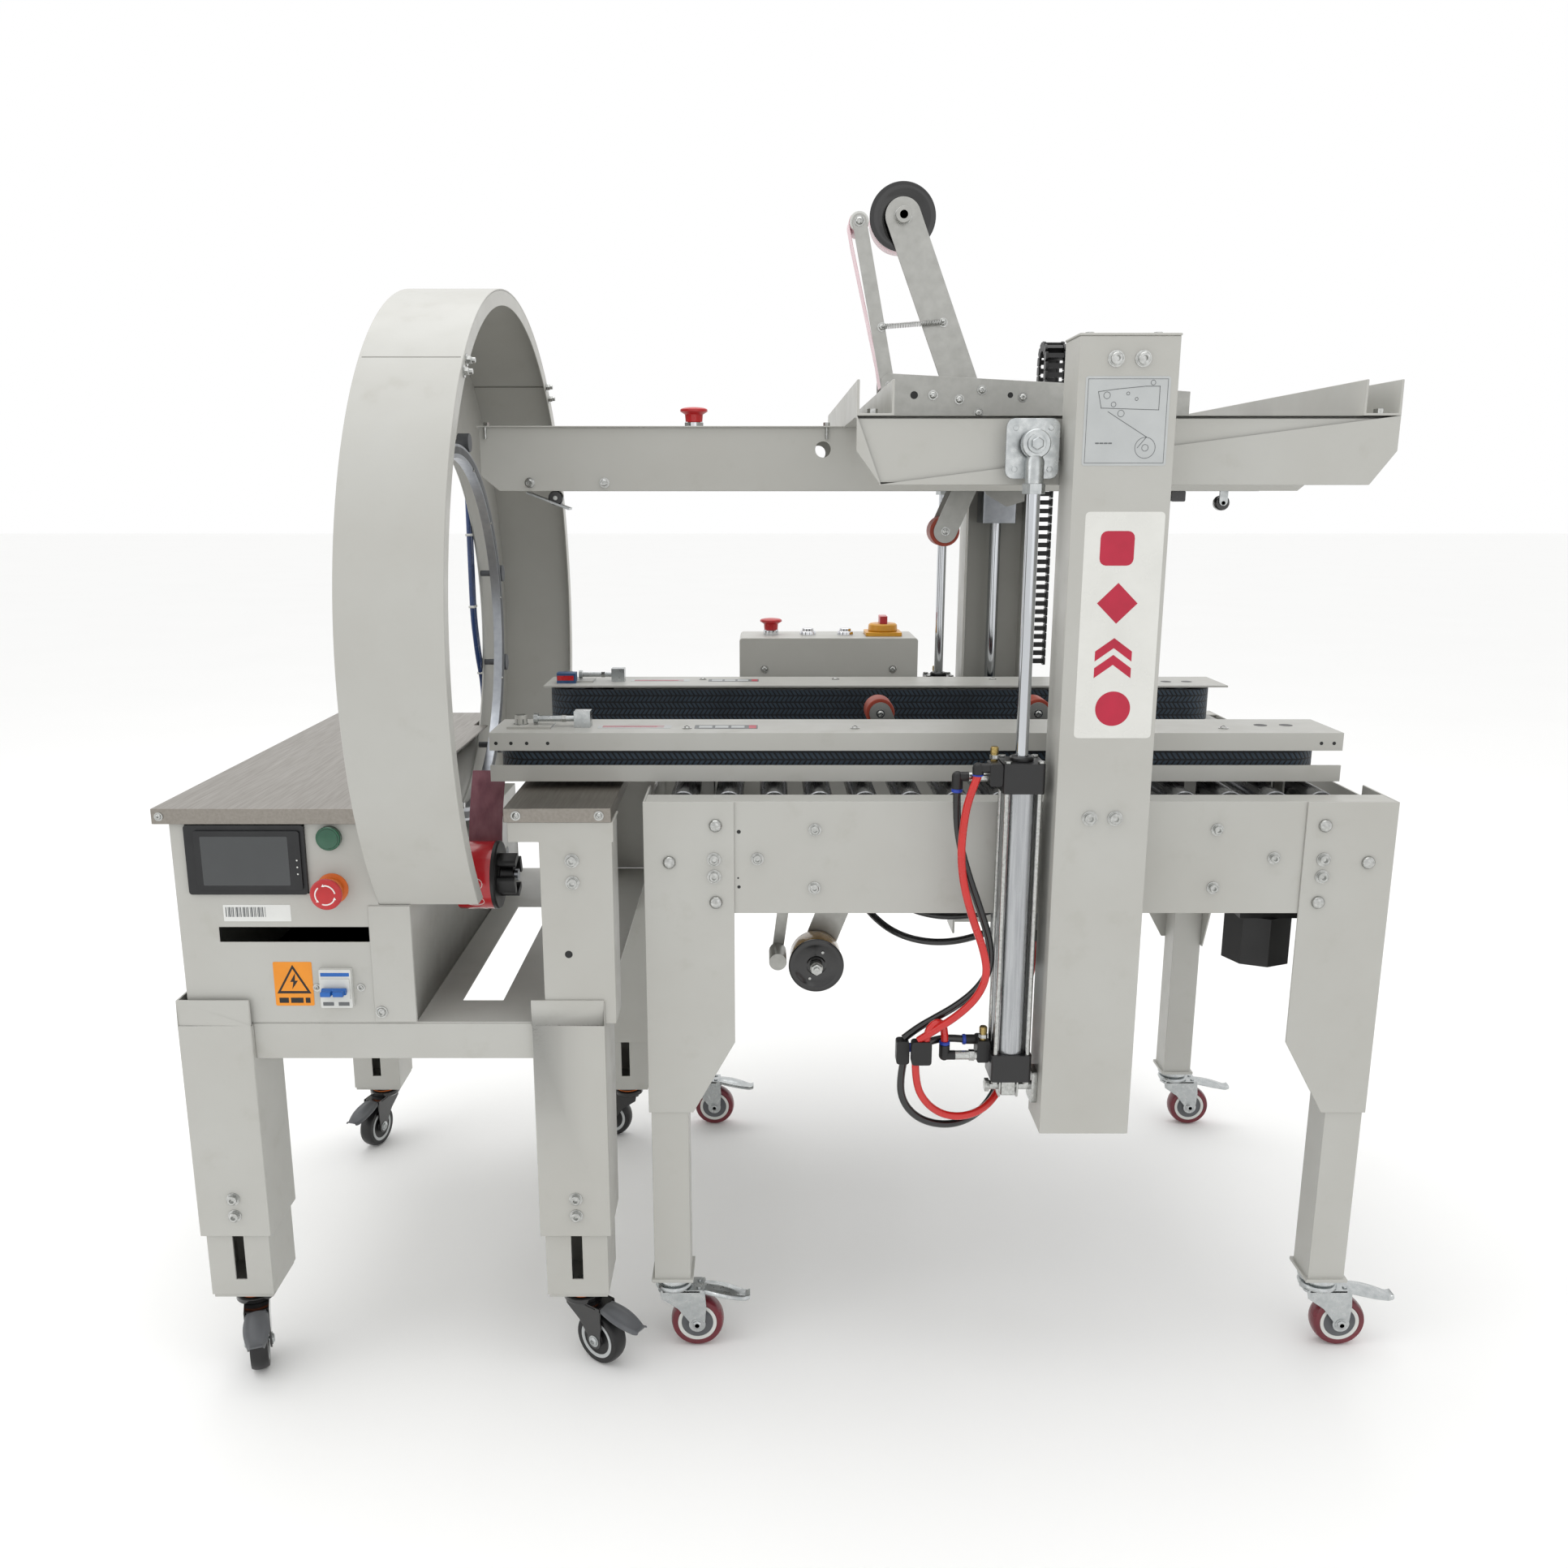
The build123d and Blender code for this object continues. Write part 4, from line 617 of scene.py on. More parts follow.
# ---------------------------------------------------------------- making pieces
def ease_edges(piece: bpy.types.Object, width_mm: float, steps: int = 2) -> None:
    """Round a piece's sharp edges with a live bevel."""
    bevel = piece.modifiers.new("eased_edges", "BEVEL")
    bevel.width = width_mm * MM
    bevel.segments = steps
    bevel.limit_method = "ANGLE"
    bevel.angle_limit = EDGE_ANGLE
    bevel.harden_normals = True
    bevel.use_clamp_overlap = True


def settle(piece: bpy.types.Object, body: str, finishes: Sequence[Finish], edge_mm: float, slot: str) -> None:
    """Give a piece its finishes, its eased edges and its body, and report it."""
    for finish in finishes:
        piece.data.materials.append(dressed(finish))
    bpy.context.scene.collection.objects.link(piece)
    if edge_mm:
        ease_edges(piece, edge_mm)
    if body:
        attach(piece, body)
    LOG.info("%s: %d faces on %s", piece.name, len(piece.data.polygons), body or "two bodies")


def make_piece(name: str, shapes: Iterable[Shape], body: str, finishes: Sequence[Finish], slot: str = "",
               edge_mm: float = 0.0, stands_for: Sequence[str] = ()) -> bpy.types.Object:
    """Build one object from shapes, with doubles merged and faces turned outwards.

    Args:
        name: the piece's name.
        shapes: its surfaces, whose faces hold numbers of finishes.
        body: the CAD body that it rides on, or nothing where it runs between two.
        finishes: the materials in the order of those numbers.
        slot: the record's material slot; not used.
        edge_mm: width of the eased edges.
        stands_for: CAD nodes that it replaces.

    Returns:
        The object.
    """
    shape = joined(shapes)
    mesh = bpy.data.meshes.new(name)
    mesh.from_pydata(shape.points.tolist(), [], shape.faces)
    mesh.polygons.foreach_set("material_index", np.array(shape.finish, np.int32))
    mesh.polygons.foreach_set("use_smooth", np.ones(len(mesh.polygons), bool))
    work = bmesh.new()
    work.from_mesh(mesh)
    bmesh.ops.remove_doubles(work, verts=work.verts, dist=1e-6)
    bmesh.ops.dissolve_degenerate(work, edges=work.edges, dist=1e-7)
    bmesh.ops.recalc_face_normals(work, faces=work.faces)
    mark_sharp(work)
    work.to_mesh(mesh)
    work.free()
    piece = bpy.data.objects.new(name, mesh)
    settle(piece, body, finishes, edge_mm, slot)
    if stands_for:
        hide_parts(*stands_for)
    return piece


def mark_sharp(work: bmesh.types.BMesh) -> None:
    """Keep creases crisp where no bevel rounds them."""
    for edge in work.edges:
        if len(edge.link_faces) == 2 and edge.calc_face_angle(0.0) > EDGE_ANGLE:
            edge.smooth = False


@dataclass
class Region:
    """A box of the frame, in mm, whose faces take another finish."""

    low: Point
    high: Point
    finish: int

    def holds(self, centres: Array) -> NDArray[np.bool_]:
        """Tell which face centres lie in the box."""
        return np.all((centres >= np.array(self.low) * MM) & (centres <= np.array(self.high) * MM), axis=1)


def formed(node: str, body: str, finishes: Sequence[Finish], slot: str, edge_mm: float = 0.8,
           regions: Sequence[Region] = (), dropped: Sequence[Region] = ()) -> bpy.types.Object:
    """Copy a CAD node, merge its loose triangles into whole faces and ease its edges.

    Args:
        node: the CAD node that the piece stands for.
        body: the body that it rides on.
        finishes: the materials, the first for all faces outside the regions.
        slot: the record's material slot; not used.
        edge_mm: width of the eased edges.
        regions: boxes whose faces take another finish.
        dropped: boxes whose solids are left out, for finer ones to take their place.

    Returns:
        The object that replaces the node.
    """
    work = bmesh.new()
    work.from_mesh(frame["nodes"][node].data)
    bmesh.ops.remove_doubles(work, verts=work.verts, dist=1e-5)
    centres = np.array([face.calc_center_median() for face in work.faces])
    for region in dropped:
        held = region.holds(centres)
        gone = [face for face, inside in zip(work.faces, held) if inside]
        bmesh.ops.delete(work, geom=gone, context="FACES")
        centres = centres[~held]
    bmesh.ops.dissolve_limit(work, angle_limit=FLAT_ANGLE, verts=work.verts, edges=work.edges)
    mark_sharp(work)
    mesh = bpy.data.meshes.new(node + "_formed")
    work.to_mesh(mesh)
    work.free()
    mesh.polygons.foreach_set("use_smooth", np.ones(len(mesh.polygons), bool))
    centres = np.zeros(len(mesh.polygons) * 3)
    mesh.polygons.foreach_get("center", centres)
    numbers = np.zeros(len(mesh.polygons), np.int32)
    for region in regions:
        numbers[region.holds(centres.reshape(-1, 3))] = region.finish
    mesh.polygons.foreach_set("material_index", numbers)
    piece = bpy.data.objects.new(mesh.name, mesh)
    settle(piece, body, finishes, edge_mm, slot)
    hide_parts(node)
    return piece


def joint(name: str) -> dict[str, Any]:
    """The record's joint of that name."""
    return next(j for j in frame["joints"] if j["name"] == name)


def at(x: float, y: float, z: float) -> Point:
    """A point given in millimetres, as metres."""
    return x * MM, y * MM, z * MM


def block(low: Point, high: Point, finish: int = 0) -> Shape:
    """A plain block between two corners in mm, for use inside a larger piece."""
    outline = [(low[0], low[1]), (high[0], low[1]), (high[0], high[1]), (low[0], high[1])]
    return prism(outline, Axis.Z, low[2], high[2], finish)


def bolt(axis: Axis, place: Point, outward: int, across: float = 10.0, head: float = 5.0,
         finish: int = 0) -> Shape:
    """A hexagon head with a chamfered crown on a washer, standing outward from a face.

    Args:
        axis: the bolt's axis.
        place: the middle of its seat, in mm.
        outward: 1 or -1, the way that it points along the axis.
        across: width across flats, in mm.
        head: height of the head, in mm.
        finish: the finish number of its faces.

    Returns:
        The washer and the head.
    """
    r = across / math.sqrt(3)
    washer = [(0, 0), (across * 0.85, 0), (across * 0.85, outward * 1.2), (0, outward * 1.2)]
    crown = [(0, outward * 1.2), (r, outward * 1.2), (r, outward * head * 0.85), (r * 0.82, outward * head),
             (0, outward * head)]
    return joined([lathe(washer, axis, at(*place), 24, finish), lathe(crown, axis, at(*place), 6, finish)])


def button_head(axis: Axis, place: Point, outward: int, radius: float = 6.0, height: float = 4.0,
                finish: int = 0) -> Shape:
    """A domed socket screw on a washer; the socket is a small hexagonal pit."""
    arc = [(radius * math.cos(a), outward * (1.2 + height * math.sin(a))) for a in np.linspace(0, 1.15, 5)]
    pit = radius * 0.42
    profile = [(0, 0), (radius + 2, 0), (radius + 2, outward * 1.2), *arc, (pit, arc[-1][1]),
               (pit, outward * (height - 1.2)), (0, outward * (height - 1.2))]
    return lathe(profile, axis, at(*place), 24, finish)


# ---------------------------------------------------------------- folded sheets
@dataclass
class Sheetwork:
    """The folded and welded sheets, which keep the CAD's shape and get eased edges and a finish."""

    edge_mm: float = 0.9

    def build(self) -> None:
        """Dress every folded node with its finishes."""
        coat, plain = "white_powder_coat", [WHITE]
        for node in ("bed_frame", "corner_brackets", "leg_tubes", "side_frame"):
            formed(node, "base", plain, coat, self.edge_mm)
        shafts = [Region((340, s * 389 - 11, 650), (363, s * 389 + 11, 1345), 1) for s in (-1, 1)]
        formed("lift_columns", "base", [WHITE, ROD], coat, 1.2, shafts)
        wheels = Region((-552, -330, 640), (-512, 330, 1320), 1)
        formed("arch_cover", "base", [WHITE, RUBBER], coat, 0.7, [wheels])
        formed("table_tops", "base", [STAINLESS], "stainless_sheet", self.edge_mm)


# ---------------------------------------------------------------- bed rollers
@dataclass
class BedRollers:
    """Plated rollers with rolled ends, black bearing seats and hexagonal shafts."""

    last_x: float = 670.0
    pitch: float = 60.0
    count: int = 15
    z: float = 786.0
    radius: float = 19.0

    def tube(self, x: float, low: float, high: float) -> list[Shape]:
        """One roller's skin with its rolled lips, a bearing at each end and the shaft.

        Args:
            x: the roller's place, in mm.
            low: its near end along Y, in mm.
            high: its far end along Y, in mm.

        Returns:
            The roller's surfaces, in three finishes.
        """
        r, centre = self.radius, at(x, 0, self.z)
        skin = [(r - 5, low + 2.5), (r - 5, low), (r - 1.2, low), (r, low + 1.2), (r, high - 1.2),
                (r - 1.2, high), (r - 5, high), (r - 5, high - 2.5)]
        ends = [disc(r - 5, e - 1.0 if s < 0 else e - 3.5, e + 3.5 if s < 0 else e + 1.0, Axis.Y, centre, 28,
                     1)
                for s, e in ((-1, low + 1), (1, high - 1))]
        shaft = hexagon(9.4, low - 4, high + 4, Axis.Y, centre, 2)
        return [lathe(skin, Axis.Y, centre, 40, 0, ring=True), *ends, shaft]

    def build(self) -> None:
        """Make the near row, the far row and the middle row."""
        near, far, middle = [], [], []
        for k in range(self.count):
            x = self.last_x - self.pitch * k
            near += self.tube(x, -310, -60)
            far += self.tube(x, 60, 310)
            if x < -40 or x > 480:
                middle += self.tube(x, -46, 46)
        finishes = [ROLLER, BLACK, ZINC]
        for name, shapes in (("near_rollers", near), ("far_rollers", far), ("middle_rollers", middle)):
            make_piece(name, shapes, "base", finishes, "roller_steel", 0.0, ("bed_rollers",))


# ---------------------------------------------------------------- casters
@dataclass
class Caster:
    """One swivel caster: race discs, a pressed yoke, a brake pedal and its wheel.

    It is drawn trailing along +X from the swivel's axis and then turned.
    """

    name: str
    plated: bool                          # plated with a maroon wheel, or black with a black wheel
    wheel_r: float = 37.5
    half: float = 12.0
    trail: float = 33.0
    reach: float = 108.0

    def place(self, shapes: Iterable[Shape]) -> list[Shape]:
        """Turn shapes to the caster's trailing direction and move them under its leg."""
        stem = np.array(joint("swivel_" + self.name)["pos_m"])
        hub = np.array(joint("roll_" + self.name)["pos_m"])
        degrees = math.degrees(math.atan2(hub[1] - stem[1], hub[0] - stem[0]))
        return [s.turned(Axis.Z, degrees).moved((stem[0], stem[1], 0.0)) for s in shapes]

    def cheek(self, side: int) -> Shape:
        """A pressed cheek of the yoke, wide at the race and round about the axle."""
        arc = [(self.trail + 12 * math.cos(a), self.wheel_r + 12 * math.sin(a))
               for a in np.linspace(math.radians(20), math.radians(-200), 14)]
        outline = [(-19, 91), (-17, 78), (6, 62)] + arc[::-1] + [(46, 66), (44, 91)]
        low, high = sorted((side * (self.half + 2), side * (self.half + 4.5)))
        return prism([(z, x) for x, z in outline], Axis.Y, low, high)

    def axle(self) -> list[Shape]:
        """The wheel's axle with a spacer, a nut and a head at its ends."""
        hub = at(self.trail, 0, self.wheel_r)
        nut = [(0, -20), (4.5, -20), (6.9, -18.6), (6.9, -17.5), (0, -17.5)]
        head = [(0, 17.5), (6.9, 17.5), (6.9, 18.6), (4.5, 20), (0, 20)]
        spacers = [lathe([(0, side * 16.4), (8.5, side * 16.4), (8.5, side * 17.6), (0, side * 17.6)],
                         Axis.Y, hub, 28)
                   for side in (-1, 1)]
        ends = [lathe(profile, Axis.Y, hub, 6) for profile in (nut, head)]
        return [disc(3.9, -20, 20, Axis.Y, hub, 24), *spacers, *ends]

    def yoke(self) -> list[Shape]:
        """Crown plate, races, rivets, cheeks and axle."""
        crown = slab((-22, -16.5, 87.5), (44, 16.5, 91.5), 7)
        race = lathe([(0, 91), (22, 91), (25.5, 93), (26.5, 96), (25, 99.5), (20.5, 101), (20.5, 102.2),
                      (25, 103.2), (27, 105.5), (27, 108), (25.5, 111), (0, 111.6)], Axis.Z, at(0, 0, 0), 48)
        rivets = [disc(3.4, 90, 93.5, Axis.Z, at(x, y, 0), 16) for x, y in ((36, 9), (36, -9))]
        stem = disc(5.8, 111, 116.6, Axis.Z, at(0, 0, 0), 24)
        return [crown, race, *rivets, stem, self.cheek(-1), self.cheek(1), *self.axle()]

    def pedal(self) -> Shape:
        """A pressed lever with a raised middle and an upturned tip.

        Across it, the height rises in a cosine; along it, it falls to the tip and then turns up.
        """
        along = np.linspace(0, 1, 26)[:, None]
        across = np.linspace(-1, 1, 15)[None, :]
        x = 38 + (self.reach - 38) * along + 0 * across
        width = 13 + 4.5 * np.sin(math.pi * np.clip(along * 1.1, 0, 1)) - 3.0 * along ** 4
        y = across * width
        fall = 90 - 15.5 * along ** 1.4 + 4.5 * np.clip((along - 0.86) / 0.14, 0, 1) ** 2
        ridge = 3.2 * np.clip(np.cos(across * math.pi / 1.1), 0,
                              1) * np.sin(math.pi * np.clip(along * 1.25, 0, 1))
        lip = -3.0 * np.clip((np.abs(across) - 0.8) / 0.2, 0, 1)
        top = np.stack([x, y + 0 * x, fall + ridge + lip], -1) * MM
        under = top[:, ::-1] - np.array([0, 0, 2.4]) * MM
        return grid(np.concatenate([top, under], 1), wrap_columns=True).capped(len(along), 30)

    def wheel(self) -> list[Shape]:
        """Tyre with a rounded tread, a pale rim ring, a hub face with a groove, and a bore."""
        r, h = self.wheel_r, self.half
        bulge = [(r - 4.2 + 4.2 * math.cos(a), h * math.sin(a) / math.sin(math.radians(72)) * 0.96)
                 for a in np.linspace(math.radians(-72), math.radians(72), 11)]
        tyre = [(27, -h * 0.9), (29, -h), *bulge, (29, h), (27, h * 0.9)]
        centre = at(self.trail, 0, self.wheel_r)
        shapes = [lathe(tyre, Axis.Y, centre, 72, 0, ring=True)]
        for s in (-1, 1):
            shapes.append(lathe([(22.5, s * h * 0.5), (27.4, s * h * 0.5), (27.4, s * h * 0.97),
                                 (26, s * h * 1.0), (22.5, s * h * 0.93)], Axis.Y, centre, 72, 1, ring=True))
            face = [(4.4, s * h * 0.3), (4.4, s * h), (9.5, s * h), (10.5, s * h * 0.86), (17, s * h * 0.78),
                    (20.5, s * h * 0.82), (22.8, s * h * 0.9), (22.8, s * h * 0.3)]
            shapes.append(lathe(face, Axis.Y, centre, 60, 2, ring=True))
        return shapes

    def housing(self) -> list[Shape]:
        """The black moulded cap with its orange ring over the races."""
        cap = [(0, 88), (24, 88), (27, 91), (27, 97), (25, 99), (21.5, 100), (0, 100)]
        ring = [(19, 99.5), (23.2, 99.5), (23.6, 101), (23.2, 102.5), (19, 102.5)]
        upper = [(0, 102), (25, 102), (27, 104), (27, 109), (25, 111.6), (0, 111.6)]
        return [lathe(cap, Axis.Z, (0, 0, 0), 48, 0), lathe(ring, Axis.Z, (0, 0, 0), 48, 1, ring=True),
                lathe(upper, Axis.Z, (0, 0, 0), 48, 0), disc(5.8, 111, 116.6, Axis.Z, (0, 0, 0), 20, 2)]

    def build(self) -> None:
        """Make the fork and the wheel on their two bodies."""
        fork, wheel = "fork_" + self.name, "wheel_" + self.name
        lever = self.pedal()
        if self.plated:
            body = self.place([*self.yoke(), lever])
            make_piece(fork + "_pressed", body, fork, [ZINC], "zinc_plate", 0.6, (fork,))
            tyre = [MAROON, PALE, RUBBER]
        else:
            shell = [*self.housing(), self.cheek(-1), self.cheek(1),
                     slab((-22, -16.5, 86.5), (44, 16.5, 90.5), 7)]
            body = self.place([*shell, *(part.painted(2) for part in self.axle()), lever.painted(3)])
            make_piece(fork + "_moulded", body, fork, [GLOSS_BLACK, ORANGE, ZINC, RUBBER], "black_plastic",
                       0.6, (fork,))
            tyre = [BLACK, STICKER_GREY, BLACK]
        make_piece(wheel + "_cast", self.place(self.wheel()), wheel, tyre,
                   "red_polyurethane" if self.plated else "black_tyre", 0.0, (wheel,))


@dataclass
class Casters:
    """The eight casters under the two units."""

    def build(self) -> None:
        """Four plated casters carry the bed and four black ones the side unit."""
        for unit in ("bed", "side"):
            for row in ("near", "far"):
                for end in ("left", "right"):
                    Caster(f"{unit}_{row}_{end}", unit == "bed").build()


# ---------------------------------------------------------------- lift cylinders
@dataclass
class LiftCylinders:
    """The two tie-rod cylinders, their clevises and pins, rods and bearing blocks."""

    x: float = 257.0
    y: float = 388.0
    foot: float = 441.0
    barrel_low: float = 478.0
    barrel_high: float = 825.0
    top: float = 863.0
    rod_end: float = 1244.0

    def cap(self, low: float, high: float) -> Shape:
        """A square end cap with rounded corners."""
        h = 26.0
        return slab((self.x - h, -self.y - h, low), (self.x + h, -self.y + h, high), 5)

    def cylinder(self, side: int) -> list[Shape]:
        """One cylinder, near or far: barrel, caps, glands, tie rods with nuts, and the clevis."""
        x, y = self.x, -self.y
        barrel = lathe([(0, self.barrel_low), (22.6, self.barrel_low), (22.6, self.barrel_high),
                        (0, self.barrel_high)], Axis.Z, at(x, y, 0), 64, 1)
        gland = lathe([(8.6, self.top), (15, self.top), (15, self.top + 4), (13, self.top + 6),
                       (8.6, self.top + 6)],
                      Axis.Z, at(x, y, 0), 40, 0, ring=True)
        shapes = [self.cap(self.foot, self.barrel_low), self.cap(self.barrel_high, self.top), barrel, gland]
        for dx in (-20.5, 20.5):
            for dy in (-20.5, 20.5):
                shapes.append(disc(3.2, self.barrel_low - 1, self.barrel_high + 1, Axis.Z,
                                   at(x + dx, y + dy, 0), 14, 2))
                for seat, way in ((self.foot, -1), (self.top, 1)):
                    shapes.append(hexagon(8.2, min(seat, seat + way * 3), max(seat, seat + way * 3), Axis.Z,
                                          at(x + dx, y + dy, 0), 2))
        tang = slab((x - 9, y - 9, 414), (x + 9, y + 9, self.foot), 3, Axis.X)
        lugs = [slab((x + s * 10 - 1.2, y - 12, 412), (x + s * 10 + 1.2, y + 12, 444), 6,
                     Axis.X) for s in (-1.15, 1.15)]
        pin = [disc(6, x - 27, 287, Axis.X, at(0, y, 426), 24, 2),
               disc(9, x - 30, x - 24, Axis.X, at(0, y, 426), 6, 2),
               slab((286, y - 16, 406), (294, y + 16, 450), 5, Axis.X, 2)]
        clevis = [s.painted(2) for s in (tang, *lugs)]
        made = [*shapes, *clevis, *pin]
        return made if side < 0 else [s.mirrored() for s in made]

    def rod(self) -> list[Shape]:
        """The near rod, its lock nut, the rod end with its bolt, and the bearing block."""
        x, y, top = self.x, -self.y, self.rod_end
        stem = disc(8, 780, top - 40, Axis.Z, at(x, y, 0), 40, 0)
        nut = hexagon(24, top - 58, top - 46, Axis.Z, at(x, y, 0), 1)
        neck = lathe([(0, top - 46), (11, top - 46), (11, top - 20), (8.5, top - 14), (0, top - 14)], Axis.Z,
                     at(x, y, 0), 32, 1)
        eye = lathe([(7.2, -7), (16, -7), (17, -5.5), (17, 5.5), (16, 7), (7.2, 7)], Axis.Y, at(x, y, top),
                    40, 1, ring=True)
        ball = lathe([(0, -8.5), (9, -8.5), (11, -5), (11, 5), (9, 8.5), (0, 8.5)], Axis.Y, at(x, y, top),
                     32, 0)
        pin = disc(7, y + 8, -372, Axis.Y, at(x, 0, top), 24, 1)
        head = bolt(Axis.Y, (x, y - 8.5, top), -1, 13, 6.5, 1)
        bearing = slab((322, -416, 1137), (381, -352, 1278), 4, Axis.Z, 2)
        screws = [bolt(Axis.Y, (xx, -416, zz), -1, 8, 3.5, 1) for xx in (332, 371) for zz in (1150, 1265)]
        return [stem, nut, neck, eye, ball, pin, head, bearing, *screws]

    def build(self) -> None:
        """Make both cylinders on the base and both rods on the head."""
        shapes = self.cylinder(-1) + self.cylinder(1)
        make_piece("tie_rod_cylinders", shapes, "base", [BLACK_CAP, DRAWN, BOLT], "mill_aluminium", 0.6,
                   ("air_cylinders",))
        near = self.rod()
        make_piece("piston_rods", near + [s.mirrored() for s in near], "head", [ROD, ZINC, ANODISED],
                   "polished_rod", 0.5, ("lift_rods",))


@dataclass
class AirFittings:
    """Needle valves, elbows, Y-connectors, the manifold and the regulator."""

    y: float = -388.0

    def needle(self, x: float, y: float, low: float) -> list[Shape]:
        """A brass needle with its hexagonal lock nut and slotted knob, rising from a block."""
        foot = at(x, y, 0)
        knob = [(0, low + 10), (5.2, low + 10), (5.2, low + 17), (4.2, low + 18.5), (0, low + 18.5)]
        return [disc(4.6, low, low + 10, Axis.Z, foot, 20, 1),
                hexagon(10.5, low + 3, low + 8, Axis.Z, foot, 2), lathe(knob, Axis.Z, foot, 20, 1)]

    def collar(self, axis: Axis, place: Point, low: float, high: float, radius: float = 7.0) -> Shape:
        """A blue release collar round a hose."""
        return lathe([(5.2, low), (radius - 1, low), (radius, low + 1), (radius, high - 1),
                      (radius - 1, high), (5.2, high)], axis, at(*place), 28, 3, ring=True)

    def elbow(self, corner: Point, reach: float, turn: float) -> list[Shape]:
        """A black elbow: a run along X, a round corner and a run along Z with its collar."""
        x, y, z = corner
        low, high = sorted((z, z + turn * 0.75))
        mouth = sorted((z + turn * 0.75, z + turn))
        return [disc(6.2, x, x + reach, Axis.X, at(0, y, z), 28, 0),
                lathe([(7.2 * math.cos(a), 7.2 * math.sin(a)) for a in np.linspace(-math.pi / 2, math.pi / 2,
                                                                                   9)],
                      Axis.Z, at(x, y, z), 28, 0),
                disc(7.0, low, high, Axis.Z, at(x, y, 0), 28, 0), self.collar(Axis.Z, (x, y, 0), *mouth)]

    def upper(self) -> list[Shape]:
        """The two fittings at the near cylinder's top cap."""
        z, y = 842.0, self.y
        valve = slab((215, -410, 834), (231, -381, 862), 3, Axis.Y, 0)
        adapter = [hexagon(13, 217, 223, Axis.X, at(0, y, z), 2),
                   disc(6, 178, 219, Axis.X, at(0, y, z), 24, 2)]
        arm = [disc(6.3, 201, 217, Axis.X, at(0, -403, 856), 28, 0)]
        return [valve, *self.needle(223, y, 862), *adapter, *arm, *self.elbow((201, -403, 856), 8, -10),
                *self.elbow((178, y, z), 14, -20)]

    def lower(self) -> list[Shape]:
        """The two fittings at the near cylinder's foot cap."""
        z, y = 468.0, self.y
        valve = slab((215, -395, 460), (231, -367, 490), 3, Axis.Y, 0)
        adapter = [hexagon(13, 205, 212, Axis.X, at(0, y, z), 2),
                   disc(6, 173, 216, Axis.X, at(0, y, z), 24, 2)]
        arm = [disc(6.3, 201, 217, Axis.X, at(0, -374, 484), 28, 0),
               self.collar(Axis.X, (0, -374, 484), 198, 203)]
        return [valve, *self.needle(223, y, 490), *adapter, *arm, *self.elbow((173, y, z), 14, 20)]

    def tee(self, low: Point, high: Point) -> list[Shape]:
        """A flat moulded Y-connector."""
        return [slab(low, high, 4, Axis.Y, 0)]

    def far(self) -> list[Shape]:
        """Needle valves on the far cylinder's outer face."""
        shapes: list[Shape] = []
        for z in (468.0, 842.0):
            shapes += [disc(6.6, 414, 436, Axis.Y, at(257, 0, z), 24, 0),
                       disc(7, z - 4, z + 14, Axis.Z, at(257, 432, 0), 24, 0), *self.needle(257, 432, z + 14)]
        return shapes

    def manifold(self) -> list[Shape]:
        """The valve block under the bed with four solenoids, the regulator and its bowl."""
        body = slab((300, -300, 610), (380, -180, 652), 2, Axis.Y, 4)
        coils = [slab((306, y, 592), (374, y + 22, 612), 2, Axis.Z, 0) for y in (-296, -266, -236, -206)]
        plate = block((250, -260, 652), (470, -220, 653.4), 2)
        regulator = [slab((250, -300, 560), (292, -258, 640), 5, Axis.Z, 0),
                     lathe([(0, 640), (14, 640), (16, 643), (16, 650), (14, 652), (0, 652)], Axis.Z,
                           at(271, -279, 0), 32, 0),
                     lathe([(0, 462), (6, 462), (12, 466), (16.5, 474), (16.8, 500), (16.8, 560), (0, 560)],
                           Axis.Z, at(271, -279, 0), 36, 5)]
        link = disc(6, 290, 302, Axis.X, at(0, -280, 622), 20, 2)
        return [body, *coils, plate, *regulator, link]

    def build(self) -> None:
        """Make all fittings as one piece of the base."""
        shapes = [*self.upper(), *self.lower(), *self.tee((128, -408, 462), (154, -394, 494)),
                  *self.tee((110, -392, 456), (127, -375, 488)), *self.far(), *self.manifold(),
                  disc(6.2, 126, 130.5, Axis.X, at(0, -382, 476), 24, 3)]
        make_piece("air_fittings", shapes, "base", [BLACK, BRASS, BOLT, BLUE, ANODISED, CLEAR],
                   "mill_aluminium", 0.5, ("air_cylinders",))


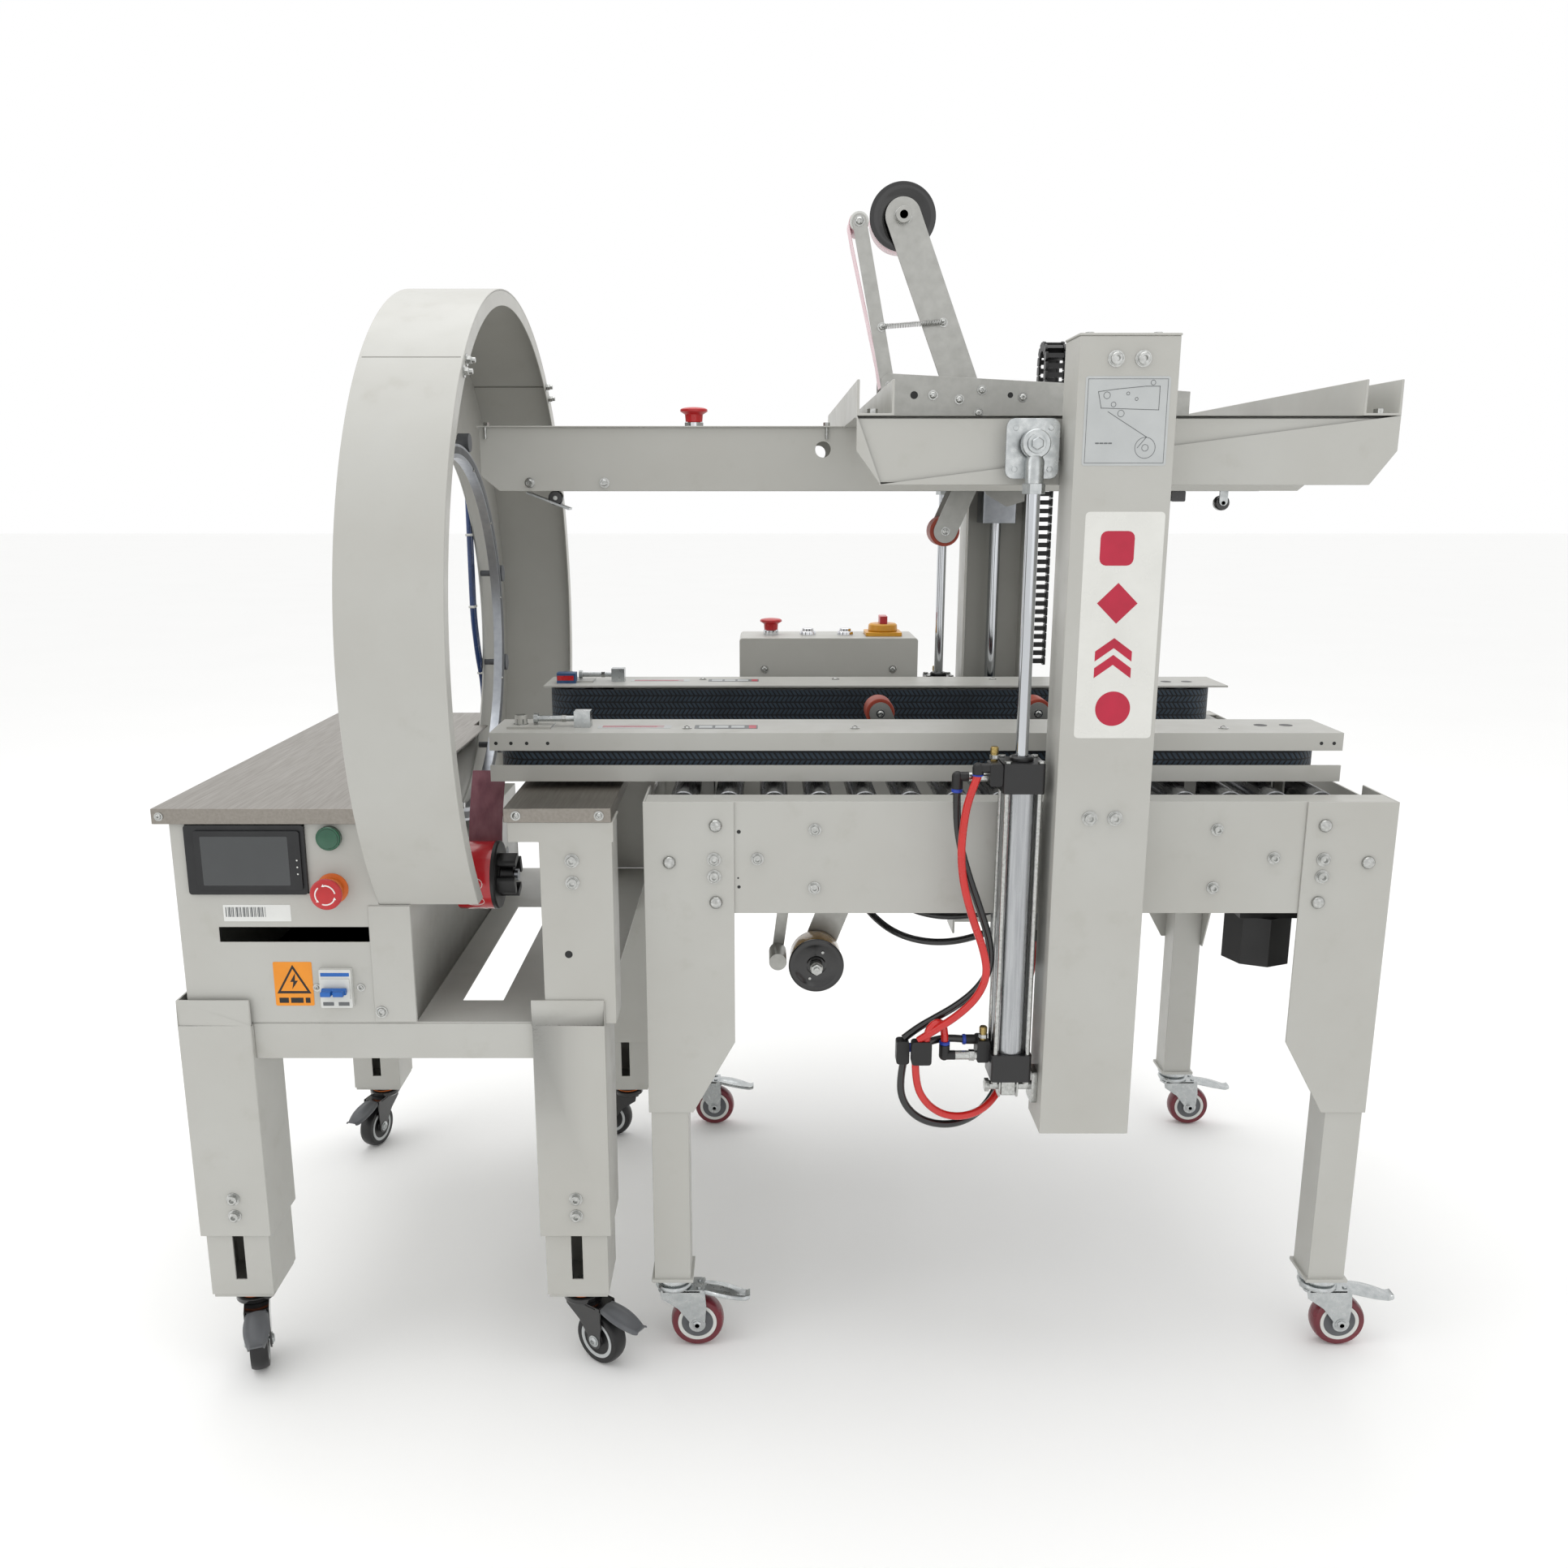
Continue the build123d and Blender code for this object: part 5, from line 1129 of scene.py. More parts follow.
# ---------------------------------------------------------------- air hoses
@dataclass
class Hoses:
    """Eight air hoses, each a smooth spline through its own chosen route, in mm."""

    diameter: float = 0.010
    runs: dict[str, tuple[float, list[Point]]] = field(default_factory=lambda: {
        "hose_red_down": (0.395, [
            (201, -403, 846), (190, -405, 818), (184, -409, 783), (182, -411, 745), (187, -413, 706),
            (199, -417, 664), (214, -420, 624), (220, -419, 590), (208, -415, 558), (184, -408, 530),
            (157, -403, 509), (137, -401, 494)]),
        "hose_red_loop": (0.394, [
            (134, -400, 462), (135, -400, 433), (148, -399, 406), (171, -396, 387), (200, -391, 381),
            (229, -381, 387), (252, -364, 405), (267, -345, 430), (277, -328, 461), (286, -314, 495),
            (296, -303, 529), (305, -295, 561), (311, -290, 592)]),
        "hose_red_branch": (0.067, [
            (147, -401, 494), (149, -401, 508), (157, -400, 518), (167, -396, 517), (172, -391, 505),
            (173, -388, 488)]),
        "hose_black_down": (0.391, [
            (178, -388, 822), (178, -391, 792), (183, -395, 755), (195, -398, 714), (211, -401, 671),
            (225, -402, 628), (227, -400, 592), (212, -395, 562), (187, -387, 536), (160, -380, 516),
            (137, -378, 501), (120, -381, 488)]),
        "hose_black_loop": (0.440, [
            (120, -385, 456), (115, -388, 428), (121, -390, 400), (140, -390, 379), (167, -387, 368),
            (196, -380, 366), (224, -367, 374), (246, -349, 390), (261, -330, 414), (271, -312, 444),
            (281, -297, 480), (293, -285, 518), (307, -274, 556), (320, -266, 592)]),
        "hose_black_branch": (0.073, [
            (130, -382, 476), (148, -378, 480), (167, -373, 484), (186, -372, 485), (201, -374, 484)]),
        "hose_black_upper": (0.325, [
            (300, -212, 620), (282, -208, 613), (250, -201, 600), (215, -191, 592), (180, -179, 590),
            (146, -163, 596), (117, -142, 609), (96, -117, 625), (86, -90, 641), (81, -64, 652),
            (80, -42, 656)]),
        "hose_black_lower": (0.377, [
            (300, -240, 606), (280, -236, 597), (244, -227, 577), (205, -215, 562), (165, -199, 557),
            (127, -179, 563), (97, -154, 580), (76, -125, 603), (66, -94, 627), (61, -65, 644),
            (60, -42, 652)]),
    })

    def build(self) -> None:
        for name, (length, route) in self.runs.items():
            curve = bpy.data.curves.new(name, "CURVE")
            curve.dimensions = "3D"
            curve.bevel_depth = self.diameter / 2
            curve.bevel_resolution = 5
            curve.resolution_u = 8
            curve.use_fill_caps = True
            spline = curve.splines.new("NURBS")
            spline.points.add(len(route) - 1)
            flat = [value for x, y, z in route for value in (x * MM, y * MM, z * MM, 1.0)]
            spline.points.foreach_set("co", flat)
            spline.order_u = 3
            spline.use_endpoint_u = True
            red = name.startswith("hose_red")
            curve.materials.append(dressed(HOSE_RED if red else HOSE_BLACK))
            hose = bpy.data.objects.new(name, curve)
            bpy.context.scene.collection.objects.link(hose)
            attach(hose, "base")
            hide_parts("hose_red" if red else "hose_black")
            at(*route[0])


# ---------------------------------------------------------------- tape cartridges
def link(start: tuple[float, float], end: tuple[float, float], width: float, low: float, high: float,
         finish: int = 0) -> Shape:
    """A flat bar with round ends between two points in X and Z, from low to high along Y, in mm."""
    lean = math.atan2(end[1] - start[1], end[0] - start[0])
    outline: list[tuple[float, float]] = []
    for (x, z), first in ((end, lean - math.pi / 2), (start, lean + math.pi / 2)):
        for a in np.linspace(first, first + math.pi, 13):
            outline.append((z + width / 2 * math.sin(a), x + width / 2 * math.cos(a)))
    return prism(outline, Axis.Y, low, high, finish)


def spring(start_point: Point, end_point: Point, radius: float, wire: float, turns: int,
           side: Point) -> Shape:
    """A closed-wound tension spring: a helix of wire round the line between two points, in metres."""
    first, last = np.array(start_point), np.array(end_point)
    run = (last - first) / np.linalg.norm(last - first)
    across = np.cross(run, np.array(side, float))
    across /= np.linalg.norm(across)
    upward = np.cross(run, across)
    t = np.linspace(0, 1, turns * 14 + 1)[:, None]
    angle = math.tau * turns * t
    path = first + (last - first) * t + radius * MM * (np.cos(angle) * across + np.sin(angle) * upward)
    return tube(path, wire, tuple(run), 6)


@dataclass
class PressArm:
    """A sprung arm with two bars, a pivot tube and a rubber applying roller."""

    node: str
    pivot: tuple[float, float]
    roller: tuple[float, float]

    def build(self) -> None:
        """Bars, pivot tube, rubber tyre with black end discs and a slotted screw."""
        (px, pz), (rx, rz) = self.pivot, self.roller
        bars = [link(self.pivot, self.roller, 34, *sorted((s * 24, s * 27))) for s in (-1, 1)]
        bars.append(lathe([(6.3, -27), (11, -27), (11, 27), (6.3, 27)], Axis.Y, at(px, 0, pz), 32, 0,
                          ring=True))
        tyre = [(5, -21.5), (21, -22), (22, -20.5), (22, 20.5), (21, 22), (5, 21.5)]
        shapes = [*bars, lathe(tyre, Axis.Y, at(rx, 0, rz), 56, 1, ring=True)]
        for s in (-1, 1):
            shapes.append(lathe([(4, s * 21.6), (15, s * 21.6), (15, s * 22.6), (13.4, s * 23.2),
                                 (4, s * 23.2)],
                                Axis.Y, at(rx, 0, rz), 44, 2, ring=True))
            shapes.append(button_head(Axis.Y, (rx, s * 27, rz), s, 4.6, 1.6, 3))
        shapes.append(disc(5, -27, 27, Axis.Y, at(rx, 0, rz), 20, 3))
        make_piece(self.node + "_dressed", shapes, self.node, [SATIN, RED_ROLLER, BLACK, BOLT], "zinc_plate",
                   0.5, (self.node,))


@dataclass
class TapeRoll:
    """A roll of film on its core, with a black hub disc on the near face."""

    node: str
    x: float
    z: float
    radius: float
    film: str
    film_dark: str
    slot_name: str

    def build(self) -> None:
        """Film wound round a card core, the hub's rim and face, and two small screws."""
        r, centre = self.radius, at(self.x, 0, self.z)
        wound = [(34, -23.6), (r - 3.2, -23.6), (r - 3, -23), (r - 3, 23.4), (r - 3.2, 24), (34, 24)]
        core = [(30, -23.4), (34, -23.4), (34, 23.8), (30, 23.8)]
        hub = [(6.4, -27), (14, -27), (16, -25.4), (33, -25.4), (35, -26.6), (r - 1.4, -26.8), (r, -26),
               (r, -24.6), (r - 1, -24), (30, -24), (30, 22), (24, 22), (22, -18), (6.4, -18)]
        shapes = [lathe(wound, Axis.Y, centre, 88, 0, ring=True),
                  lathe(core, Axis.Y, centre, 60, 2, ring=True), lathe(hub, Axis.Y, centre, 88, 1, ring=True)]
        for degrees in (25, 205):
            x, _, z = polar(Axis.Y, (0, 0, 0), 24, degrees, 0)
            shapes.append(disc(2.2, -26.8, -25, Axis.Y, (centre[0] + x, 0, centre[2] + z), 14, 3))
        film = WoundTape(f"{self.node}_film", self.film, self.film_dark, Axis.Y, centre)
        make_piece(self.node + "_wound", shapes, self.node, [film, GLOSS_BLACK, CARD, BOLT], self.slot_name,
                   0.0, (self.node,))


@dataclass
class TapeHeads:
    """Upper and lower tape cartridges with their rolls, rollers, film and fasteners."""

    plate_y: float = -36.0
    roll: tuple[float, float] = (131.0, 1565.5)
    tension_pivot: tuple[float, float] = (114.0, 1340.0)
    tension_roller: tuple[float, float] = (70.0, 1559.0)

    def tension_arm(self) -> None:
        """The swinging arm, its roller wrapped in film, and the span of film down to the plates."""
        x, z = self.tension_roller
        shapes = [link(self.tension_pivot, self.tension_roller, 20, -32.5, -29.2),
                  disc(13.4, -29, 24, Axis.Y, at(x, 0, z), 40, 1),
                  lathe([(13.4, -23), (14, -23), (14, 23), (13.4, 23)], Axis.Y, at(x, 0, z), 48, 2,
                        ring=True),
                  button_head(Axis.Y, (x, -32.5, z), -1, 5.5, 3.5, 3),
                  button_head(Axis.Y, (104, -32.5, 1418), -1, 4.5, 3.0, 3)]
        px, pz = self.tension_pivot
        shapes.append(button_head(Axis.Y, (px, -32.6, pz), -1, 5, 3, 3))
        span = np.array([[x - 13.9, z - 3], [x - 8, z - 32], [px - 14, pz + 26], [px - 9, pz - 4]])
        flat = [(b, a) for a, b in span] + [(b, a + 0.5) for a, b in span[::-1]]
        shapes.append(prism(flat, Axis.Y, -23, 23, 2))
        make_piece("tension_arm_dressed", shapes, "tension_arm", [SATIN, PALE, PINK_FILM, BOLT],
                   "zinc_plate", 0.4, ("tension_arm",))

    def spring(self) -> None:
        """The spring from the tension arm to the roll arm."""
        left, right = at(107, -39, 1418), at(188, -39, 1424)
        coil = spring(left, right, 3.2, 0.75, 34, (0, 1, 0))
        hooks = [tube(np.array([left, at(104, -36, 1418)]), 0.8, (0, 0, 1), 6),
                 tube(np.array([right, at(191, -36, 1424)]), 0.8, (0, 0, 1), 6)]
        piece = make_piece("tension_spring", [coil, *hooks], "", [BOLT], "zinc_plate")
        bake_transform(piece)
        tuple(left)
        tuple(right)

    def fasteners(self) -> None:
        """Screws, the roll's axle nut, and black discs as painted shade in two holes on the upper plates."""
        y = self.plate_y
        shapes = [button_head(Axis.Y, (x, y, z), -1, 5, 3, 0) for x, z in (
            (179, 1325), (217, 1319), (249, 1332), (245, 1300), (308, 1322), (400, 1325), (440, 1300),
            (520, 1316), (500, 1240), (150, 1240), (254, 1248), (494, 1248))]
        shapes += [button_head(Axis.Y, (x, -y, z), 1, 5, 3, 0) for x,
                   z in ((217, 1319), (400, 1325), (254, 1248),
(494, 1248))]
        # painted shade: thin black discs stand for the shade inside two holes in the plate
        shapes += [disc(r, y - 0.15, y, Axis.Y, at(x, 0, z), 24, 1) for x, z,
                   r in ((152, 1325, 5.5), (290, 1325, 4))]
        x, z = self.roll
        shapes += [disc(12, -35, -33, Axis.Y, at(x, 0, z), 36, 0),
                   hexagon(18, -41.5, -35, Axis.Y, at(x, 0, z), 0),
                   disc(5.8, -43, -41.5, Axis.Y, at(x, 0, z), 24, 0),
                   button_head(Axis.Y, (191, -33, 1424), -1, 4.5, 3.0, 0)]
        make_piece("top_head_fasteners", shapes, "head", [BOLT, BLACK], "zinc_plate", 0.3)
        low = [button_head(Axis.Y, (xx, y, zz), -1, 5, 3, 0) for xx,
               zz in ((164, 746), (404, 746), (280, 668), (440, 668))]
        low += [hexagon(16, -46, -39, Axis.Y, at(20, 0, 455), 0),
                disc(4.5, -50, -46, Axis.Y, at(20, 0, 455), 20, 0)]
        make_piece("bottom_head_fasteners", low, "base", [BOLT], "zinc_plate", 0.3)

    def build(self) -> None:
        """Dress the fixed plates, both rolls and all four pressing arms."""
        formed("top_head", "head", [SATIN], "white_powder_coat", 0.5)
        formed("bottom_head", "base", [SATIN], "white_powder_coat", 0.5)
        TapeRoll("top_roll", *self.roll, 46.5, "#D99AA6", "#C47F8E", "pink_tape").build()
        TapeRoll("bottom_roll", 20.0, 455.0, 44.0, "#A8823C", "#8A6526", "brown_tape").build()
        PressArm("top_front_arm", (254, 1248), (204, 1133)).build()
        PressArm("top_rear_arm", (494, 1248), (444, 1133)).build()
        PressArm("bottom_front_arm", (164, 746), (114, 861)).build()
        PressArm("bottom_rear_arm", (404, 746), (354, 861)).build()
        self.tension_arm()
        self.spring()
        self.fasteners()


# ---------------------------------------------------------------- side belts
@dataclass
class BeltUnit:
    """One side belt: the woven loop, its two pulleys, and what is fixed on the housing."""

    side: str                             # near or far
    drive_x: float = 640.0
    idler_x: float = -374.0
    centre_y: float = 212.0
    radius: float = 50.0
    low: float = 816.0
    high: float = 870.0
    thick: float = 4.0

    @property
    def sign(self) -> int:
        """-1 on the near side and 1 on the far side."""
        return -1 if self.side == "near" else 1

    def loop_points(self, steps: int = 48) -> tuple[Array, Array, float]:
        """Follow the loop round both pulleys, starting and ending at the same point.

        Returns:
            Places of the outer face in X and Y, the outward directions, both per station, and the loop's length.
        """
        turn = np.linspace(-math.pi / 2, math.pi / 2, steps)
        drive = np.stack([np.cos(turn), np.sin(turn)], 1)
        run = np.linspace(0, 1, 90)[1:-1, None]
        out = np.concatenate([drive, np.repeat([[0.0, 1.0]], len(run), 0), -drive,
                              np.repeat([[0.0, -1.0]], len(run), 0), drive[:1]])
        x0, x1 = self.idler_x, self.drive_x
        x = np.concatenate([np.full(steps, x1), x1 + (x0 - x1) * run[:, 0], np.full(steps, x0),
                            x0 + (x1 - x0) * run[:, 0], [x1]])
        return x, out, 2 * (x1 - x0) + math.tau * self.radius

    def belt(self) -> None:
        """A closed band whose map runs along the belt and across it, in metres."""
        x, out, length = self.loop_points()
        edge = 0.6
        outline = [(self.thick, self.low + edge), (edge, self.low), (0, self.low + edge),
                   (0, self.high - edge), (edge, self.high), (self.thick, self.high - edge)]
        depth, height = np.array(outline).T
        r = self.radius - depth[None, :]
        points = np.stack([x[:, None] + out[:, :1] * r, self.sign * self.centre_y + out[:, 1:] * r,
                           height[None, :] + 0 * x[:, None]], -1) * MM
        band = grid(points, wrap_columns=True)
        steps = np.linalg.norm(np.diff(points[:, 2], axis=0), axis=1)
        along = np.concatenate([[0], np.cumsum(steps)])
        along *= round(length / BELT.pitch_mm) * BELT.pitch_mm * MM / along[-1]
        mesh = bpy.data.meshes.new(self.side + "_belt_woven")
        mesh.from_pydata(band.points.tolist(), [], band.faces)
        layer = mesh.uv_layers.new(name="along")
        corners = np.zeros(len(mesh.loops), np.int32)
        mesh.loops.foreach_get("vertex_index", corners)
        rows, columns = np.divmod(corners, len(outline))
        layer.data.foreach_set("uv", np.stack([along[rows], (height[columns] - self.low) * MM], 1).ravel())
        mesh.polygons.foreach_set("use_smooth", np.ones(len(mesh.polygons), bool))
        work = bmesh.new()
        work.from_mesh(mesh)
        bmesh.ops.remove_doubles(work, verts=work.verts, dist=1e-6)
        bmesh.ops.recalc_face_normals(work, faces=work.faces)
        mark_sharp(work)
        work.to_mesh(mesh)
        work.free()
        piece = bpy.data.objects.new(mesh.name, mesh)
        settle(piece, f"{self.side}_arm", [BELT], 0, "belt_fabric")
        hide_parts(f"{self.side}_belt")

    def pulleys(self) -> None:
        """Two turned pulleys with flanged hubs; the drive pulley has its shaft."""
        r, low, high = self.radius - self.thick - 0.3, self.low + 1, self.high - 1
        y = self.sign * self.centre_y
        rim = [(r - 6, low), (r - 0.5, low), (r, low + 0.5), (r, high - 0.5), (r - 0.5, high), (r - 6, high),
               (r - 6, high - 6), (20, high - 6), (20, high), (8.4, high), (8.4, low), (20, low),
               (20, low + 6), (r - 6, low + 6)]
        for end, x in (("drive", self.drive_x), ("idler", self.idler_x)):
            node = f"{self.side}_{end}_pulley"
            shapes = [lathe(rim, Axis.Z, at(x, y, 0), 72, 0, ring=True)]
            if end == "drive":
                shapes.append(disc(6, 637, high, Axis.Z, at(x, y, 0), 28, 1))
            make_piece(node + "_turned", shapes, node, [ANODISED, BOLT], "mill_aluminium", 0.3, (node,))

    def fittings(self) -> None:
        """Screws, black discs as painted shade in holes and openings, labels and the tensioner's bolt on the
        housing.
        """
        face, top = -272.0, 876.0
        # painted shade: thin black discs stand for the shade inside the holes in the housing's face
        shapes = [disc(2.4, face - 0.15, face, Axis.Y, at(x, 0, 862), 16, 1) for x in (-421, -401, -380,
                                                                                       -352)]
        shapes += [disc(2.4, face - 0.15, face, Axis.Y, at(x, 0, 862), 16, 1) for x in (680, 697)]
        shapes += [hexagon(15, top + 3, top + 11, Axis.Z, at(-396, -221, 0), 0),
                   disc(10, top + 3, top + 4.2, Axis.Z, at(-396, -221, 0), 30, 0),
                   disc(7.6, top + 11, top + 16.2, Axis.Z, at(-396, -221, 0), 30, 0),
                   hexagon(9, -340, -334, Axis.X, at(0, -221, top + 11), 0)]
        for x in (-168, 60, 330, 560):
            shapes.append(button_head(Axis.Z, (x, -238, top), 1, 4.5, 2.6, 0))
        shapes += [slab((-290, -238, top), (-190, -214, top + 0.25), 2, Axis.Z, 2),
                   slab((-158, -240, top), (-72, -212, top + 0.25), 2, Axis.Z, 3),
                   slab((-84, -238, top + 0.2), (-74, -214, top + 0.4), 0.5, Axis.Z, 4)]
        shapes += [slab((x, -234, top + 0.2), (x + 18, -218, top + 0.4), 0.5, Axis.Z, 2) for x in (-152,
                                                                                                   -130,
                                                                                                   -108)]
        shapes += [slab((-284, -230 + k * 5, top + 0.2), (-200 - 9 * (k % 2), -228 + k * 5, top + 0.4), 0.4,
                        Axis.Z, 4)
                   for k in range(3)]
        # painted shade: thin black discs stand for the shade inside two openings in the top
        for x in (620, 655):
            shapes.append(disc(9, top - 0.1, top + 0.15, Axis.Z, at(x, -212, 0), 30, 1))
        if self.sign > 0:
            shapes = [s.mirrored() for s in shapes]
            shapes += [slab((-412, 190, top), (-380, 214, top + 17), 2, Axis.Z, 5),
                       slab((-411, 189.6, top + 5), (-383, 190, top + 13), 0.5, Axis.Z, 6)]
        make_piece(f"{self.side}_arm_fittings", shapes, f"{self.side}_arm",
                   [BOLT, BLACK, STICKER_GREY, INK, INK_RED, SENSOR_BLUE, RED], "zinc_plate", 0.0)

    def build(self) -> None:
        """Dress the housing, its motor and its carriages, then add the belt and pulleys."""
        s, node = self.sign, f"{self.side}_belt_arm"
        y0, y1 = sorted((s * 150, s * 290))
        regions = [Region((580, y0, 540), (700, y1, 656), 1), Region((-165, y0, 696), (-115, y1, 737), 2),
                   Region((495, y0, 696), (545, y1, 737), 2), Region((-380, y0, 876.5), (-298, y1, 900), 3)]
        formed(node, f"{self.side}_arm", [WHITE, BLACK, ANODISED, ZINC], "white_powder_coat", 0.9, regions)
        self.belt()
        self.pulleys()
        self.fittings()


# ---------------------------------------------------------------- tape ring
def ring_spot(radius: float, degrees: float) -> tuple[float, float]:
    """Y and Z in mm of a point about the ring's axis."""
    a = math.radians(degrees)
    return radius * math.cos(a), RING_AXIS_Z + radius * math.sin(a)


@dataclass
class TapeRing:
    """The rotating ring with its carrier, the ring's tape roll, film and guide roller."""

    orbit: float = 412.0
    roll_degrees: float = 225.0

    def ring(self) -> None:
        """The ring's grooves: a dark drive band and bright edges on both faces, and eight screws."""
        centre = at(0, 0, RING_AXIS_Z)
        shapes = []
        for face, way in ((-515.0, 1), (-529.0, -1)):
            low, high = sorted((face, face + way * 0.5))
            shapes.append(lathe([(268, low), (278, low), (278, high), (268, high)], Axis.X, centre, 160, 0,
                                ring=True))
        for degrees in range(0, 360, 30):
            y, z = ring_spot(265, degrees + 8)
            shapes.append(disc(2.6, -515, -513.4, Axis.X, at(0, y, z), 14, 1))
        make_piece("ring_band", shapes, "tape_ring", [RUBBER, BOLT], "mill_aluminium", 0.0)

    def roll(self) -> None:
        """The wound film, the black flange and a hub with four prongs."""
        y, z = ring_spot(self.orbit, self.roll_degrees)
        centre = at(0, y, z)
        wound = [(38, -470.6), (45.4, -470.6), (45.6, -470), (45.6, -424.6), (45.4, -424), (38, -424)]
        flange = [(8.4, -424), (46, -424), (46, -420), (44.5, -418), (24, -418), (22, -416), (8.4, -416)]
        core = [(8.4, -470), (38, -470), (38, -424), (8.4, -424)]
        shapes = [lathe(wound, Axis.X, centre, 88, 0, ring=True),
                  lathe(flange, Axis.X, centre, 88, 1, ring=True),
                  lathe(core, Axis.X, centre, 60, 1, ring=True),
                  lathe([(8.4, -416), (15, -416), (13, -400), (8.4, -399)], Axis.X, centre, 40, 1, ring=True)]
        for degrees in (20, 110, 200, 290):
            prong = slab((-418, y + 19, z - 12), (-394.5, y + 29, z + 12), 4, Axis.X, 1)
            shapes.append(prong.turned(Axis.X, degrees, centre))
        for k in range(5):
            y2, z2 = 45.75 * math.cos(math.radians(180 + 34 * k)), 45.75 * math.sin(math.radians(180 + 34 * k))
            bend = np.linspace(0, math.tau, 17)[:-1]
            lean = np.radians(180 + 34 * k) + 0.2 * np.sin(bend)
            path = np.stack([(-447 + 13 * np.cos(bend)) * MM, centre[1] + 45.7 * MM * np.cos(lean),
                             centre[2] + 45.7 * MM * np.sin(lean)], 1)
            shapes.append(tube(path, 0.45, (0, y2, z2), 5, closed=True, finish=2))
        film = WoundTape("ring_roll_film", "#B3121E", "#8E0C16", Axis.X, centre)
        make_piece("ring_roll_wound", shapes, "ring_roll", [film, BLACK, WHITE_INK], "red_tape", 0.0,
                   ("ring_roll",))

    def film(self) -> None:
        """The web from the roll over the guide roller and up to the applying head."""
        y, z = ring_spot(self.orbit, self.roll_degrees)
        t = np.linspace(0, 1, 24)
        path_y = y + 46.4 + 36 * t ** 2
        path_z = z + 8 + 118 * t
        u = np.linspace(-471, -425, 12)
        sway = 1.4 * np.sin(math.pi * t)[:, None] * np.cos(u / 9)[None, :]
        points = np.stack([u[None, :] + 3 * t[:, None], path_y[:, None] + sway, path_z[:, None] + 0 * sway],
                          -1) * MM
        back = points[:, ::-1] - np.array([0, 0.25, 0]) * MM
        sheet = grid(np.concatenate([points, back], 1), wrap_columns=True).capped(24, 24)
        gy, gz = ring_spot(342, self.roll_degrees + 16)
        roller = [disc(10.6, -500, -437, Axis.X, at(0, gy, gz), 36, 1),
                  lathe([(10.7, -494), (11.6, -494), (11.6, -440), (10.7, -440)], Axis.X, at(0, gy, gz), 40,
                        2, ring=True),
                  disc(12.5, -437, -434.2, Axis.X, at(0, gy, gz), 36, 1)]
        roller += [disc(1.4, -434.3, -434, Axis.X, at(0, gy, gz + s * 4), 12, 3) for s in (-1, 1)]
        make_piece("ring_film", [sheet, *roller], "tape_ring", [RING_FILM, PALE, PINK_FILM, BLACK],
                   "pink_tape", 0.0)

    def carrier(self) -> None:
        """Two nuts on the ring at the roll and the guide roller, and the nut of the roll's axle."""
        y, z = ring_spot(self.orbit, self.roll_degrees)
        shapes = [hexagon(13, -397, -394.2, Axis.X, at(0, y, z), 0)]
        for degrees in (self.roll_degrees, self.roll_degrees + 16):
            cy, cz = ring_spot(268, degrees)
            shapes.append(hexagon(9, -506, -501, Axis.X, at(0, cy, cz), 0))
        make_piece("ring_carrier_nuts", shapes, "tape_ring", [BOLT], "zinc_plate", 0.2)

    def build(self) -> None:
        """Dress the ring and everything that turns with it."""
        formed("tape_ring", "tape_ring", [ANODISED], "mill_aluminium", 0.8)
        self.ring()
        self.roll()
        self.film()
        self.carrier()


